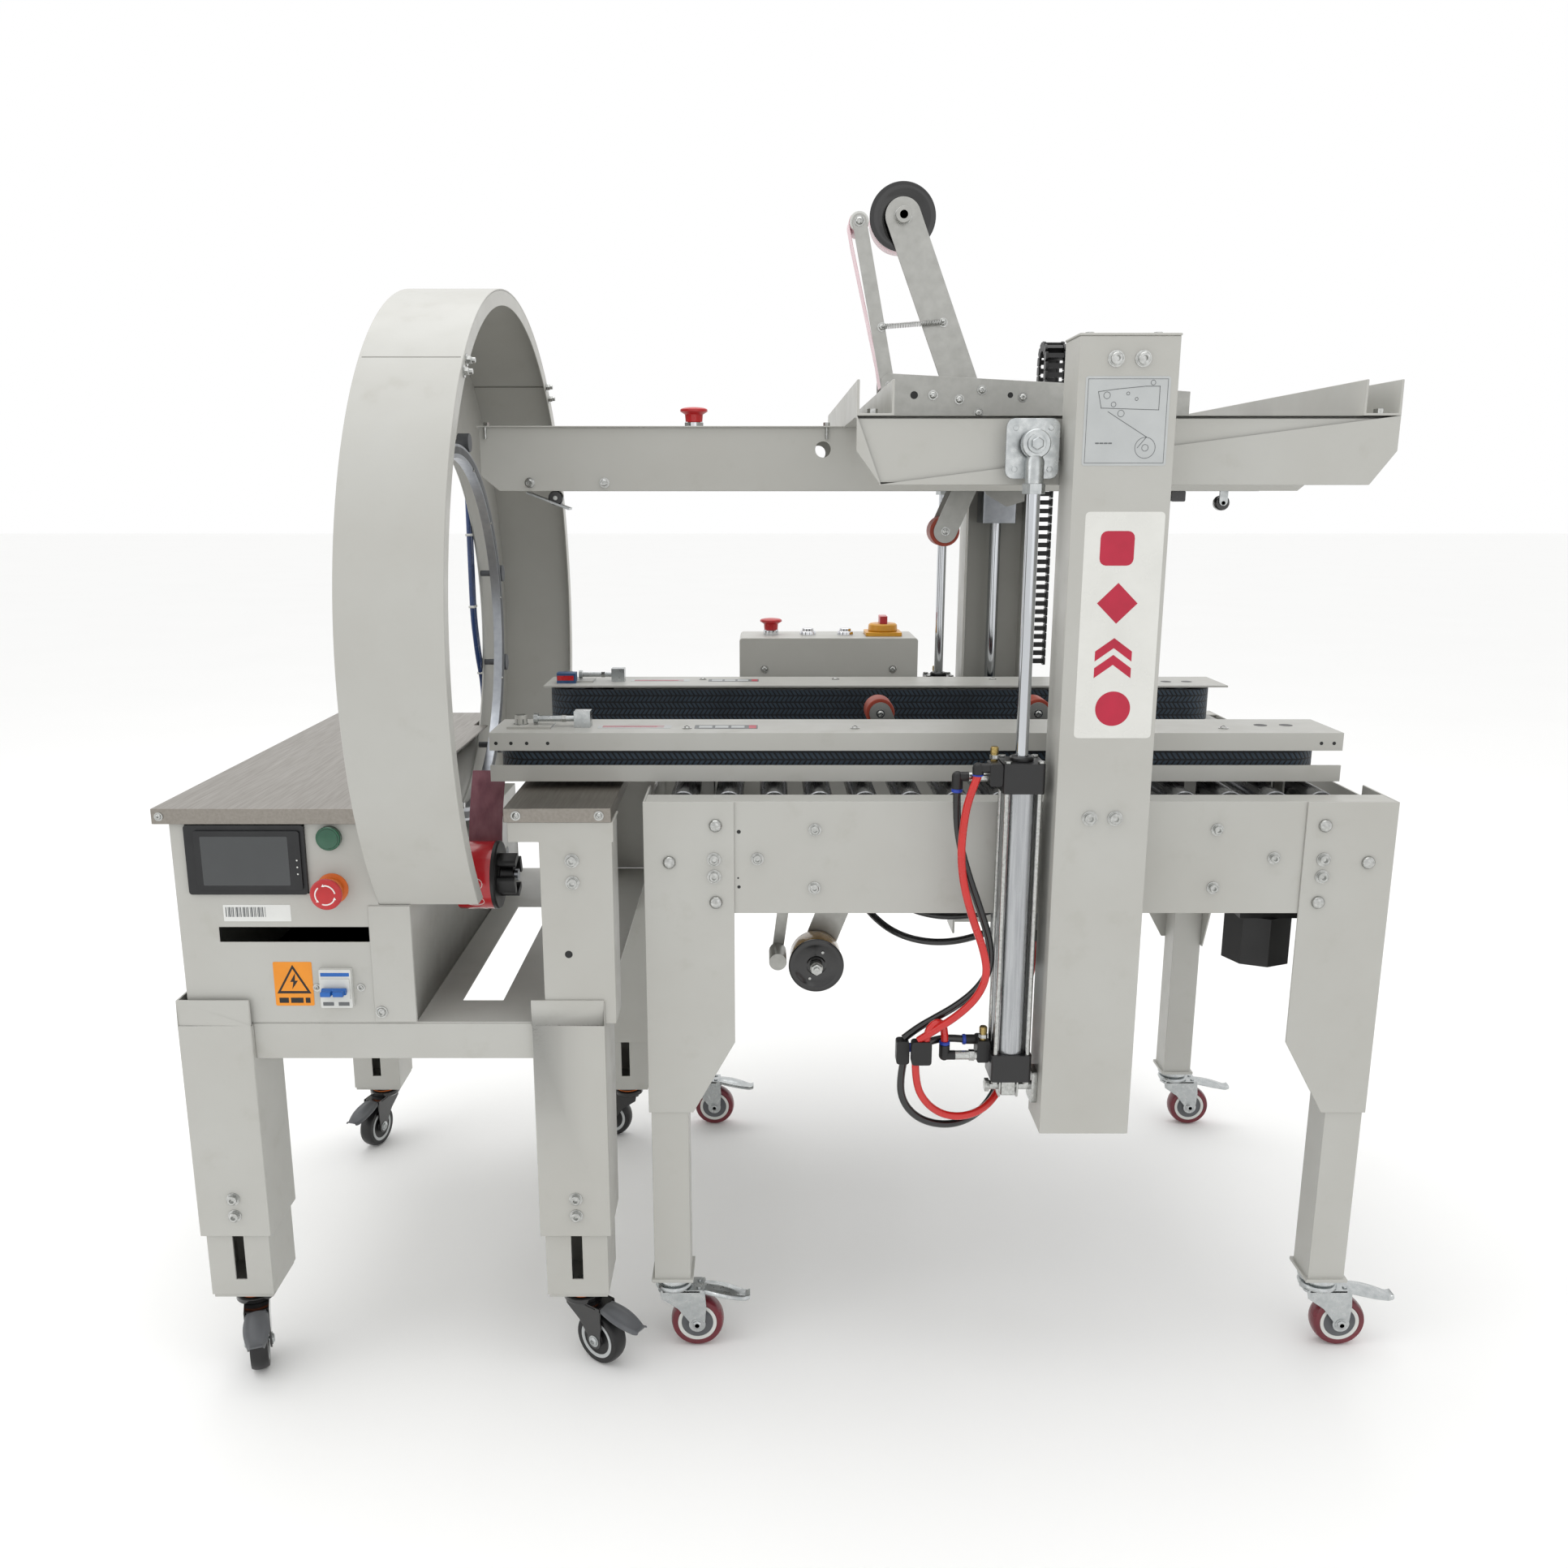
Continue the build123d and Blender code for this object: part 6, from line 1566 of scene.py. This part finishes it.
# ---------------------------------------------------------------- controls
@dataclass
class Controls:
    """Stop buttons, push buttons, the isolator, the touch screen, the breaker and the warning plate."""

    front: float = -390.0                 # the cabinet's front face

    def stop_profile(self) -> list[tuple[float, float]]:
        """Radius and height of a mushroom head with a waisted skirt, from its seat."""
        crown = [(20 * math.cos(a), 27 + 3.8 * math.sin(a)) for a in np.linspace(0, math.pi / 2, 7)]
        return [(0, 9), (12.4, 9), (13.2, 20), (17, 22.5), (20, 24.2), *crown]

    def stops(self) -> None:
        """The three stop buttons and their collars."""
        collar = [(10.2, 0), (14, 0), (14, 8.6), (13, 9.6), (10.2, 9.6)]
        for node, body, place in (("beam_stop_button", "head", (-166, 0, 1280)),
                                  ("box_stop_button", "base", (-50, 418, 934))):
            head = lathe(self.stop_profile(), Axis.Z, at(*place), 60)
            make_piece(node + "_head", [head], node, [RED], "red_plastic", 0.0, (node,))
            make_piece(node + "_collar", [lathe(collar, Axis.Z, at(*place), 48, 0, ring=True)], body,
                       [CHROME], "chrome_cap")
        seat = at(-612, self.front, 697)
        flipped = [(r, -h) for r, h in self.stop_profile()]
        head = [lathe(flipped, Axis.Y, seat, 60)]
        for first in (10, 130, 250):
            sweep = np.radians(np.linspace(first, first + 82, 12))
            path = np.stack([seat[0] + 12.5 * MM * np.cos(sweep), np.full(12, seat[1] - 30.0 * MM),
                             seat[2] + 12.5 * MM * np.sin(sweep)], 1)
            head.append(tube(path, 0.9, (0, 1, 0), 6, finish=1))
            tip = math.radians(first + 88)
            x, z = -612 + 12.5 * math.cos(tip), 697 + 12.5 * math.sin(tip)
            head.append(disc(2.2, self.front - 30.7, self.front - 29.8, Axis.Y, at(x, 0, z), 3, 1))
        make_piece("cabinet_stop_button_head", head, "cabinet_stop_button", [RED, WHITE_INK], "red_plastic",
                   0.0, ("cabinet_stop_button",))
        ring = [lathe([(10.2, 0), (20, 0), (20, -1.5), (15, -2.4), (15, -8), (13, -9.6), (10.2, -9.6)],
                      Axis.Y, seat, 48, 0, ring=True)]
        make_piece("cabinet_stop_collar", ring, "base", [ORANGE], "chrome_cap")

    def box(self) -> None:
        """Two chromed buttons, their rings, and the isolator's plate and knob."""
        for number, x in ((1, 18), (2, 87)):
            node = f"box_button_{number}"
            button = [(0, 939), (10.6, 939), (10.6, 945.4), (9.8, 946), (0, 945.6)]
            make_piece(node + "_cap", [lathe(button, Axis.Z, at(x, 418, 0), 40)], node, [CHROME],
                       "chrome_cap", 0.0, (node,))
            ring = [(11.2, 934), (15, 934), (15, 936), (14.5, 940), (13.5, 941), (11.2, 941)]
            make_piece(node + "_ring", [lathe(ring, Axis.Z, at(x, 418, 0), 44, ring=True)], "base", [CHROME],
                       "chrome_cap")
        plate = slab((123, 385, 934), (189, 451, 941), 6, Axis.Z)
        make_piece("isolator_plate", [plate], "base", [AMBER], "red_plastic", 0.8)
        knob = [lathe([(0, 941.3), (26, 941.3), (27, 943), (26, 953), (23, 955.3), (0, 955.3)], Axis.Z,
                      at(156, 418, 0), 60, 0),
                slab((149, 398, 955.3), (163, 438, 969), 4, Axis.Z, 1)]
        make_piece("isolator_knob_moulded", knob, "isolator_knob", [AMBER, RED], "red_plastic", 0.5,
                   ("isolator_knob",))
        screws = [button_head(Axis.Y, (x, 358, 878), -1, 5, 3) for x in (-62, 170)]
        make_piece("control_box_screws", screws, "base", [BOLT], "zinc_plate")

    def screen(self) -> None:
        """The bezel with its sloped inner frame and the glass."""
        y = self.front
        bezel = [slab((-793, y - 5, 690), (-642, y, 781), 4, Axis.Y, 0)]
        bezel.append(slab((-780, y - 7.8, 697), (-647, y - 5, 774), 3, Axis.Y, 0))
        bezel.append(slab((-772, y - 8, 703), (-662, y - 7.6, 767), 1.5, Axis.Y, 1))
        for k in range(3):
            bezel.append(disc(1.1, y - 8, y - 7.7, Axis.Y, at(-652, 0, 718 + 9 * k), 12, 2))
        make_piece("touch_screen", bezel, "base", [BEZEL, SCREEN, PALE], "black_plastic", 0.7)

    def breaker(self) -> None:
        """A two-pole breaker with blue levers, and the plate with its warning triangle."""
        y = self.front
        body = [slab((-636, y - 8, 538), (-595, y, 590), 1.5, Axis.Y, 0),
                slab((-634, y - 10, 550), (-597, y - 8, 578), 1, Axis.Y, 0),
                slab((-634, y - 8.3, 581), (-597, y - 8, 586), 0.5, Axis.Y, 1)]
        body += [slab((x, y - 8.3, 541), (x + 14, y - 8, 546), 0.5, Axis.Y, 2) for x in (-633, -613)]
        make_piece("breaker_body", body, "base", [PALE, SKY_BLUE, INK], "white_powder_coat", 0.4)
        lever = [slab((x, y - 26, 559.5), (x + 13, y - 14, 566), 1.5, Axis.X, 0) for x in (-630, -614)]
        lever.append(disc(4.5, -631, -600, Axis.X, at(0, y - 15, 563), 24, 0))
        make_piece("breaker_lever_moulded", lever, "breaker_lever", [SKY_BLUE], "blue_plastic", 0.5,
                   ("breaker_lever",))
        plate = [slab((-697, y - 0.4, 538), (-647, y, 598), 2, Axis.Y, 0)]
        tri = [(594, -672), (555, -694), (555, -650)]
        inner = [(588.5, -672), (558.5, -689), (558.5, -655)]
        flash = [(583, -669), (571, -676), (571, -672), (561, -674), (572.5, -666), (572.5, -670)]
        plate += [prism(tri, Axis.Y, y - 0.7, y - 0.4, 1), prism(inner, Axis.Y, y - 0.9, y - 0.7, 0),
                  prism(flash, Axis.Y, y - 1.1, y - 0.9, 1)]
        plate += [slab((x, y - 0.7, 542), (x + w, y - 0.4, 549), 0.3, Axis.Y, 1) for x,
                  w in ((-692, 12), (-677, 16), (-658, 6))]
        make_piece("warning_plate", plate, "base", [SIGN, BLACK], "white_powder_coat")

    def cabinet_extras(self) -> None:
        """The start button, its ring, a bar label, the corner post's skin, and small screws."""
        y = self.front
        lens = [(0, y - 6.8), (12.2, y - 6.8), (12.6, y - 8.4), (11.4, y - 9), (0, y - 9)]
        make_piece("start_button_lens", [lathe(lens, Axis.Y, at(-611, 0, 764), 48)], "start_button", [GREEN],
                   "green_plastic", 0.0, ("start_button",))
        ring = [(12.9, y), (15.5, y), (15.5, y - 7), (14.6, y - 8), (12.9, y - 8)]
        make_piece("start_button_ring", [lathe(ring, Axis.Y, at(-611, 0, 764), 48, ring=True)], "base",
                   [GREEN], "green_plastic")
        label = [slab((-754, y - 0.3, 653), (-668, y, 675), 1, Axis.Y, 0)]
        widths = [1.2, 0.7, 1.8, 0.9, 1.4, 0.6, 2.0, 0.8]
        x = -751.0
        for k in range(22):
            w = widths[k % len(widths)]
            label.append(slab((x, y - 0.5, 659), (x + w, y - 0.3, 672), 0.2, Axis.Y, 1))
            x += w + widths[(k * 3 + 2) % len(widths)]
        make_piece("bar_label", label, "base", [STICKER, INK], "white_powder_coat")
        post = [slab((-569, y - 2, 516), (-515.2, y, 674), 1.5, Axis.Y, 0)]
        make_piece("cabinet_corner_post", post, "base", [WHITE], "white_powder_coat", 0.9)
        screws = [button_head(Axis.Y, (-560, y - 2, 530), -1, 6, 4),
                  button_head(Axis.Y, (-585, y, 563), -1, 3.2, 2),
                  button_head(Axis.Y, (-642, y, 563), -1, 3.2, 2)]
        make_piece("cabinet_screws", screws, "base", [BOLT], "zinc_plate")

    def build(self) -> None:
        """Dress the cabinet and the control box without their plain blocks, then add the controls."""
        y = self.front
        dropped = [Region((-794, y - 12, 688), (-641, y - 0.2, 783), 0),
                   Region((-637, y - 12, 536), (-594, y - 0.2, 592), 0),
                   Region((-628, y - 12, 680), (-594, y - 0.2, 781), 0)]
        formed("cabinet", "base", [WHITE], "white_powder_coat", 0.9, dropped=dropped)
        over = Region((-70, 380, 934.2), (190, 456, 946), 0)
        formed("control_box", "base", [WHITE], "white_powder_coat", 1.2, dropped=[over])
        self.stops()
        self.box()
        self.screen()
        self.breaker()
        self.cabinet_extras()


# ---------------------------------------------------------------- fasteners
@dataclass
class Fasteners:
    """Screws of the panels, brackets, columns and posts, in their CAD places."""

    bed_left: float = -219.0
    bed_right: float = 750.0
    face: float = -358.0
    web: float = -355.0

    def cap_screw(self, x: float, y: float, z: float, radius: float = 6.4) -> Shape:
        """A socket cap screw with a spring washer and a flat washer, on a face that looks towards -Y."""
        r = radius
        profile = [(0, 0), (r + 2.6, 0), (r + 2.6, -1.3), (r + 1.0, -1.4), (r + 1.0, -2.6), (r, -2.7),
                   (r, -6.3), (r - 0.8, -7), (r * 0.5, -7), (r * 0.5, -4), (0, -4)]
        return lathe(profile, Axis.Y, at(x, y, z), 36)

    def dome(self, x: float, y: float, z: float) -> Shape:
        """A pan-head screw, on a face that looks towards -Y."""
        arc = [(8.6 * math.cos(a), -1.2 - 5.4 * math.sin(a)) for a in np.linspace(0, math.pi / 2, 8)]
        return lathe([(0, 0), (8.6, 0), *arc], Axis.Y, at(x, y, z), 36)

    def bracket(self, edge: float, inward: int) -> list[Shape]:
        """Screws of one near corner bracket, placed inward from an end of the bed."""
        caps = [self.cap_screw(edge + inward * 91, self.face, z) for z in (726, 703)]
        domes = [self.dome(edge + inward * x, self.face, z) for x, z in ((93, 771), (33, 722), (93, 668))]
        return caps + domes

    def panel(self) -> list[Shape]:
        """Screws of the near side panel."""
        places = ((2, 765), (-72, 726), (2, 687), (520, 765), (596, 727), (520, 687))
        return [self.cap_screw(x, self.web, z, 5.6) for x, z in places]

    def column(self) -> list[Shape]:
        """Screws on the near column's face and on its cap plate."""
        shapes = [self.cap_screw(x, -426, z, 6.8) for x in (336, 367) for z in (798, 1336)]
        for x in (312, 391):
            shapes.append(hexagon(9, 1364, 1368, Axis.Z, at(x, -396, 0)))
        return shapes

    def side_unit(self) -> list[Shape]:
        """Screws of the bridge posts, the leg covers and the aprons."""
        shapes = [self.cap_screw(-306, -395, z) for z in (735, 706)]
        for x in (-776.5, -317.5):
            shapes += [self.cap_screw(x + 2, -398, z) for z in (265, 240)]
        shapes += [button_head(Axis.Y, (x, -397.6, 794), -1, 4.2, 2.6) for x in (-374, -270)]
        shapes += [button_head(Axis.Y, (x, -398, 793), -1, 3.6, 2.4) for x in (-820, -566)]
        return shapes

    def beam(self) -> list[Shape]:
        """Screws on the beam's near web and through its cover."""
        shapes = [self.cap_screw(x, -80, 1202, 4.6) for x in (-396, -290)]
        for x in (-456, 25):
            shapes += [hexagon(8, 1280, 1285, Axis.Z, at(x, -74, 0)),
                       disc(2.4, 1262, 1278, Axis.Z, at(x, -83, 0), 14)]
        for x in (60, 690):
            for y in (-335, 335):
                shapes.append(hexagon(11, 1281, 1287, Axis.Z, at(x + (8 if x < 100 else -8), y, 0)))
        return shapes

    def holes(self) -> list[Shape]:
        """Black discs as painted shade in the mouths of small drilled holes in the panels and posts."""
        places = [(-96, -355, 762, 2.6), (-96, -355, 688, 2.2), (-314, -395, 610, 5.0), (-97, -355, 700, 1.2)]
        return [disc(r, y - 0.15, y, Axis.Y, at(x, 0, z), 20, 1) for x, y, z, r in places]

    def build(self) -> None:
        """Make the fixed screws on both sides and the head's own."""
        left, right = self.bracket(self.bed_left, 1), self.bracket(self.bed_right, -1)
        near = left + right + self.panel() + self.column() + self.side_unit()
        far = [shape.mirrored() for shape in left + self.column()]
        fixed = near + far + self.holes()
        make_piece("frame_screws", fixed, "base", [BOLT, BLACK], "zinc_plate", 0.0, ("frame_bolts",))
        make_piece("head_screws", self.beam(), "head", [BOLT], "zinc_plate", 0.0)


# ---------------------------------------------------------------- head details
@dataclass
class HeadDetails:
    """Rod brackets with rounded corners, and the flap and wheels under the beam."""

    def build(self) -> None:
        """Dress the head frame without its plain brackets, then add the pressed ones and the wheels."""
        dropped = [Region((224, s * 362 - 12, 1202), (290, s * 362 + 12, 1276), 0) for s in (-1, 1)]
        formed("head_frame", "head", [WHITE], "white_powder_coat", 0.9, dropped=dropped)
        formed("centre_beam", "head", [WHITE], "white_powder_coat", 0.9,
               dropped=[Region((-185, -20, 1280.2), (-150, 20, 1292), 0)])
        plate = [slab((225, -372, 1204), (289, -366, 1274), 10, Axis.Y),
                 slab((237, -366, 1214), (277, -352, 1266), 4, Axis.Y)]
        plate += [disc(3.4, -373.2, -372, Axis.Y, at(x, 0, z), 18) for x in (236, 278) for z in (1215, 1263)]
        make_piece("rod_brackets", plate + [s.mirrored() for s in plate], "head", [ZINC], "zinc_plate", 0.8)
        y = -58.0
        flap = [(1190, -404), (1187, -404), (1164, -344), (1167, -343)]
        shapes = [prism(flap, Axis.Y, -70, -38, 0),
                  lathe([(3, -7), (9.4, -7), (10.6, -5), (10.6, 5), (9.4, 7), (3, 7)], Axis.Y,
                        at(-363, y, 1181), 40, 1, ring=True),
                  disc(3.2, y - 9, y + 9, Axis.Y, at(-363, 0, 1181), 16, 2),
                  link((597, 1196), (597, 1176), 12, -66, -63, 0),
                  lathe([(3, -7), (9.4, -7), (10.6, -5), (10.6, 5), (9.4, 7), (3, 7)], Axis.Y,
                        at(597, -56, 1174), 40, 1, ring=True),
                  disc(3.2, -66, -46, Axis.Y, at(597, 0, 1174), 16, 2),
                  slab((520, -72, 1176), (540, -50, 1191), 2, Axis.Y, 1)]
        make_piece("beam_wheels", shapes, "head", [ZINC, GLOSS_BLACK, BOLT], "zinc_plate", 0.3)


# ---------------------------------------------------------------- ring cover
@dataclass
class CoverDetails:
    """Joint lines and joint screws of the ring cover, and the tubes tied behind its back plate."""

    face: float = -428.0
    back: float = -555.0

    def seam(self, radius: float, degrees: float, width: float) -> Shape:
        """A joint line across the rim at one angle."""
        y, z = ring_spot(radius, degrees)
        line = block((self.back + 4, y - 0.15, z - width / 2), (self.face - 3, y + 0.15, z + width / 2))
        return line.turned(Axis.X, degrees, at(0, y, z))

    def screws(self) -> list[Shape]:
        """Two joint screws on each side of the front flange."""
        shapes = []
        for degrees in (129.7, 132.4, 53.2, 49.9):
            y, z = ring_spot(480, degrees)
            shapes.append(bolt(Axis.X, (self.face, y, z), 1, 9, 7))
            shapes.append(disc(3.4, self.face + 6.8, self.face + 11, Axis.X, at(0, y, z), 16))
        return shapes

    def tubes(self) -> Shape:
        """Three air tubes side by side, down the back plate and past the ring's opening."""
        route = np.array([(252, 1196), (252, 1156), (249, 1070), (248, 982), (270, 915), (300, 862),
                          (300, 800)], float)
        t = np.linspace(0, len(route) - 1, 60)
        y, z = (np.interp(t, range(len(route)), route[:, k]) for k in (0, 1))
        soft = np.ones(7) / 7
        y[3:-3], z[3:-3] = np.convolve(y, soft, "valid"), np.convolve(z, soft, "valid")
        runs = [tube(np.stack([0 * y + self.back - 4.3, y + side, z], 1) * MM, 3.8, (1, 0, 0), 14)
                for side in (-8.2, 0.0, 8.2)]
        return joined(runs)

    def ties(self) -> list[Shape]:
        """Pale ties round the tubes."""
        return [slab((self.back - 9, y - 13, z - 2), (self.back, y + 13, z + 2), 1.2, Axis.X, 1)
                for y, z in ((250, 1120), (248, 1000), (289, 882))]

    def build(self) -> None:
        """Lay the joint lines, then the screws and the tubes."""
        seams = [self.seam(492.0, 131, 1.4), self.seam(488.9, 52, 1.8), self.seam(492.0, 49, 1.4)]
        make_piece("cover_seams", seams, "base", [SEAM], "white_powder_coat")
        make_piece("cover_screws", self.screws(), "base", [BOLT], "zinc_plate", 0.2)
        make_piece("cover_tubes", [self.tubes(), *self.ties()], "base", [TUBE_BLUE, PALE], "blue_plastic")


# ---------------------------------------------------------------- labels
@dataclass
class Labels:
    """The threading diagram and the clear strip of plain red marks on the near column."""

    face: float = -426.0

    def ring_line(self, x: float, z: float, radius: float, width: float, finish: int) -> Shape:
        """A printed circle on the column's face."""
        y = self.face - 0.35
        return lathe([(radius - width, y), (radius, y), (radius, y - 0.15), (radius - width, y - 0.15)],
                     Axis.Y, at(x, 0, z), 40, finish, ring=True)

    def line(self, start_at: tuple[float, float], end_at: tuple[float, float], width: float,
             finish: int) -> Shape:
        """A printed line on the column's face."""
        return link(start_at, end_at, width, self.face - 0.5, self.face - 0.35, finish)

    def diagram(self) -> list[Shape]:
        """A grey plate with the outline of a tape cartridge: plates, rollers, arms and the film's path."""
        shapes = [slab((303, self.face - 0.35, 1218), (400, self.face, 1317), 3, Axis.Y, 0)]
        frame_corners = [(306, 1221), (397, 1221), (397, 1314), (306, 1314)]
        for first, second in zip(frame_corners, frame_corners[1:] + frame_corners[:1]):
            shapes.append(self.line(first, second, 0.5, 1))
        outline = [(318, 1300), (322, 1282), (388, 1280), (388, 1306), (372, 1306), (340, 1303), (318, 1300)]
        outline2 = [(330, 1278), (376, 1250), (366, 1238)]
        for points in (outline, outline2):
            for first, second in zip(points, points[1:]):
                shapes.append(self.line(first, second, 0.7, 1))
        for x, z, r in ((375, 1238, 12), (375, 1238, 4), (328, 1296, 4), (336, 1286, 3), (380, 1310, 3),
                        (352, 1298, 2), (362, 1292, 2), (345, 1276, 4)):
            shapes.append(self.ring_line(x, z, r, 0.6, 1))
        shapes += [self.line((318 + 5 * k, 1243), (321 + 5 * k, 1243), 1.6, 1) for k in range(4)]
        return shapes

    def marks(self) -> list[Shape]:
        """Four plain red marks: a filled rounded square, a diamond, a pair of chevrons and a disc."""
        y0, y1 = self.face - 0.35, self.face - 0.2
        square = slab((330, y0, 1104), (370, y1, 1144), 8, Axis.Y, 3)
        diamond = prism([(1036, 354), (1060, 330), (1084, 354), (1060, 378)], Axis.Y, y0, y1, 3)
        chevrons = [prism([(low, 331), (low + 12, 331), (low + 28, 353), (low + 12, 375), (low, 375),
                           (low + 16, 353)],
                          Axis.Y, y0, y1, 3) for low in (971, 991)]
        return [square, diamond, *chevrons, disc(21, y0, y1, Axis.Y, at(356, 0, 934), 48, 3)]

    def build(self) -> None:
        """Lay the diagram, the strip and its marks on the column."""
        strip = slab((311, self.face - 0.2, 898), (404, self.face, 1166), 5, Axis.Y, 2)
        make_piece("column_labels", [*self.diagram(), strip, *self.marks()], "base",
                   [STICKER_GREY, INK, STRIP, INK_RED], "white_powder_coat")


# ---------------------------------------------------------------- cable chain
@dataclass
class CableChain:
    """The energy chain behind the far column, from the base up over a bend and down to the head."""

    x: float = 436.0
    fixed_y: float = 404.0
    moving_y: float = 348.0
    low: float = 880.0
    bend: float = 1408.0
    head_z: float = 1290.0
    pitch: float = 15.0

    def build(self) -> None:
        """Links follow a straight rise, a half turn of 28 mm and a short drop to the head."""
        radius = (self.fixed_y - self.moving_y) / 2
        middle = (self.fixed_y + self.moving_y) / 2
        rise, drop = self.bend - self.low, self.bend - self.head_z
        total = rise + math.pi * radius + drop
        shapes = []
        for s in np.arange(self.pitch / 2, total, self.pitch):
            if s < rise:
                y, z, lean = self.fixed_y, self.low + s, 0.0
            elif s < rise + math.pi * radius:
                lean = (s - rise) / radius
                y, z = middle + radius * math.cos(lean), self.bend + radius * math.sin(lean)
            else:
                y, z, lean = self.moving_y, self.bend - (s - rise - math.pi * radius), math.pi
            half = self.pitch * 0.47
            one = [slab((self.x - 18, y - 8, z - half), (self.x - 14, y + 8, z + half), 3, Axis.X),
                   slab((self.x + 14, y - 8, z - half), (self.x + 18, y + 8, z + half), 3, Axis.X),
                   slab((self.x - 15, y - 6.5, z - 4), (self.x + 15, y + 6.5, z + 4), 2, Axis.Z)]
            shapes += [part.turned(Axis.X, math.degrees(lean), at(0, y, z)) for part in one]
        piece = make_piece("cable_chain", shapes, "", [BLACK], "black_plastic")
        at(self.x, self.fixed_y, self.low + 250)
        at(self.x, self.moving_y, self.bend)
        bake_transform(piece)


ASSEMBLIES = [Hoses(), Sheetwork(), BedRollers(), Casters(), LiftCylinders(), AirFittings(), HeadDetails(),
              TapeHeads(), BeltUnit("near"), BeltUnit("far"), TapeRing(), CoverDetails(), Controls(),
              Fasteners(), Labels(), CableChain()]


# ---------------------------------------------------------------- studio
@dataclass
class Studio:
    """Pale floor, soft light from above and in front, and the camera."""

    camera_at: Point = (-0.065, -1.950, 1.184)
    pitch: float = 12.68                 # degrees below the horizon
    lens: float = 29.40
    shift_x: float = 0.0135
    floor_half: float = 40.0

    def set_camera(self) -> None:
        """Place the camera in front, looking along +Y and a little down."""
        data = bpy.data.cameras.new("camera")
        data.lens, data.sensor_width, data.shift_x = self.lens, 36.0, self.shift_x
        camera = bpy.data.objects.new("camera", data)
        camera.location = self.camera_at
        camera.rotation_euler = (math.radians(90 - self.pitch), 0, 0)
        bpy.context.scene.collection.objects.link(camera)
        bpy.context.scene.camera = camera

    def set_floor(self) -> None:
        """A pale floor that runs far past the machine."""
        half = self.floor_half
        mesh = bpy.data.meshes.new("floor")
        corners = [(-half, -half, 0), (half, -half, 0), (half, half, 0), (-half, half, 0)]
        mesh.from_pydata(corners, [], [(0, 1, 2, 3)])
        material, tree, shader = start("studio_floor", Roughness=0.85)
        cloud = object_noise(tree, 900, detail=2)
        tree.links.new(mixed(tree, cloud.outputs[0], "#FBFBFA", "#F8F8F7"), shader.inputs["Base Color"])
        mesh.materials.append(material)
        floor = bpy.data.objects.new("floor", mesh)
        bpy.context.scene.collection.objects.link(floor)

    def set_lights(self) -> None:
        """A pale sky, a wide overhead panel, a side panel and a weak front fill."""
        world = bpy.data.worlds.new("studio")
        bpy.context.scene.world = world
        world.use_nodes = True
        backdrop = next(n for n in world.node_tree.nodes if n.type == "BACKGROUND")
        backdrop.inputs["Color"].default_value = linear("#FFFFFF")
        backdrop.inputs["Strength"].default_value = 1.0
        for name, place, turn, size, power in (
                ("overhead", (-0.3, 0.4, 3.6), (0, 0, 0), 3.4, 48),
                ("left_window", (-3.4, -1.2, 2.3), (math.radians(-10), math.radians(-62), 0), 2.6, 14),
                ("front_fill", (1.6, -4.2, 1.9), (math.radians(72), 0, math.radians(20)), 2.6, 6)):
            light = bpy.data.lights.new(name, "AREA")
            light.energy, light.size = power, size
            lamp = bpy.data.objects.new(name, light)
            lamp.location, lamp.rotation_euler = place, turn
            bpy.context.scene.collection.objects.link(lamp)

    def build(self) -> None:
        """Set the camera, the floor, the lights and the plain view transform."""
        self.set_camera()
        self.set_floor()
        self.set_lights()
        bpy.context.scene.view_settings.view_transform = "Standard"


def main() -> None:
    """Build every sub-assembly in order."""
    logging.basicConfig(level=logging.INFO, format="%(name)s %(message)s")
    Studio().build()
    for assembly in ASSEMBLIES:
        LOG.info("building %s", type(assembly).__name__)
        assembly.build()


if __name__ == "__main__":
    main()
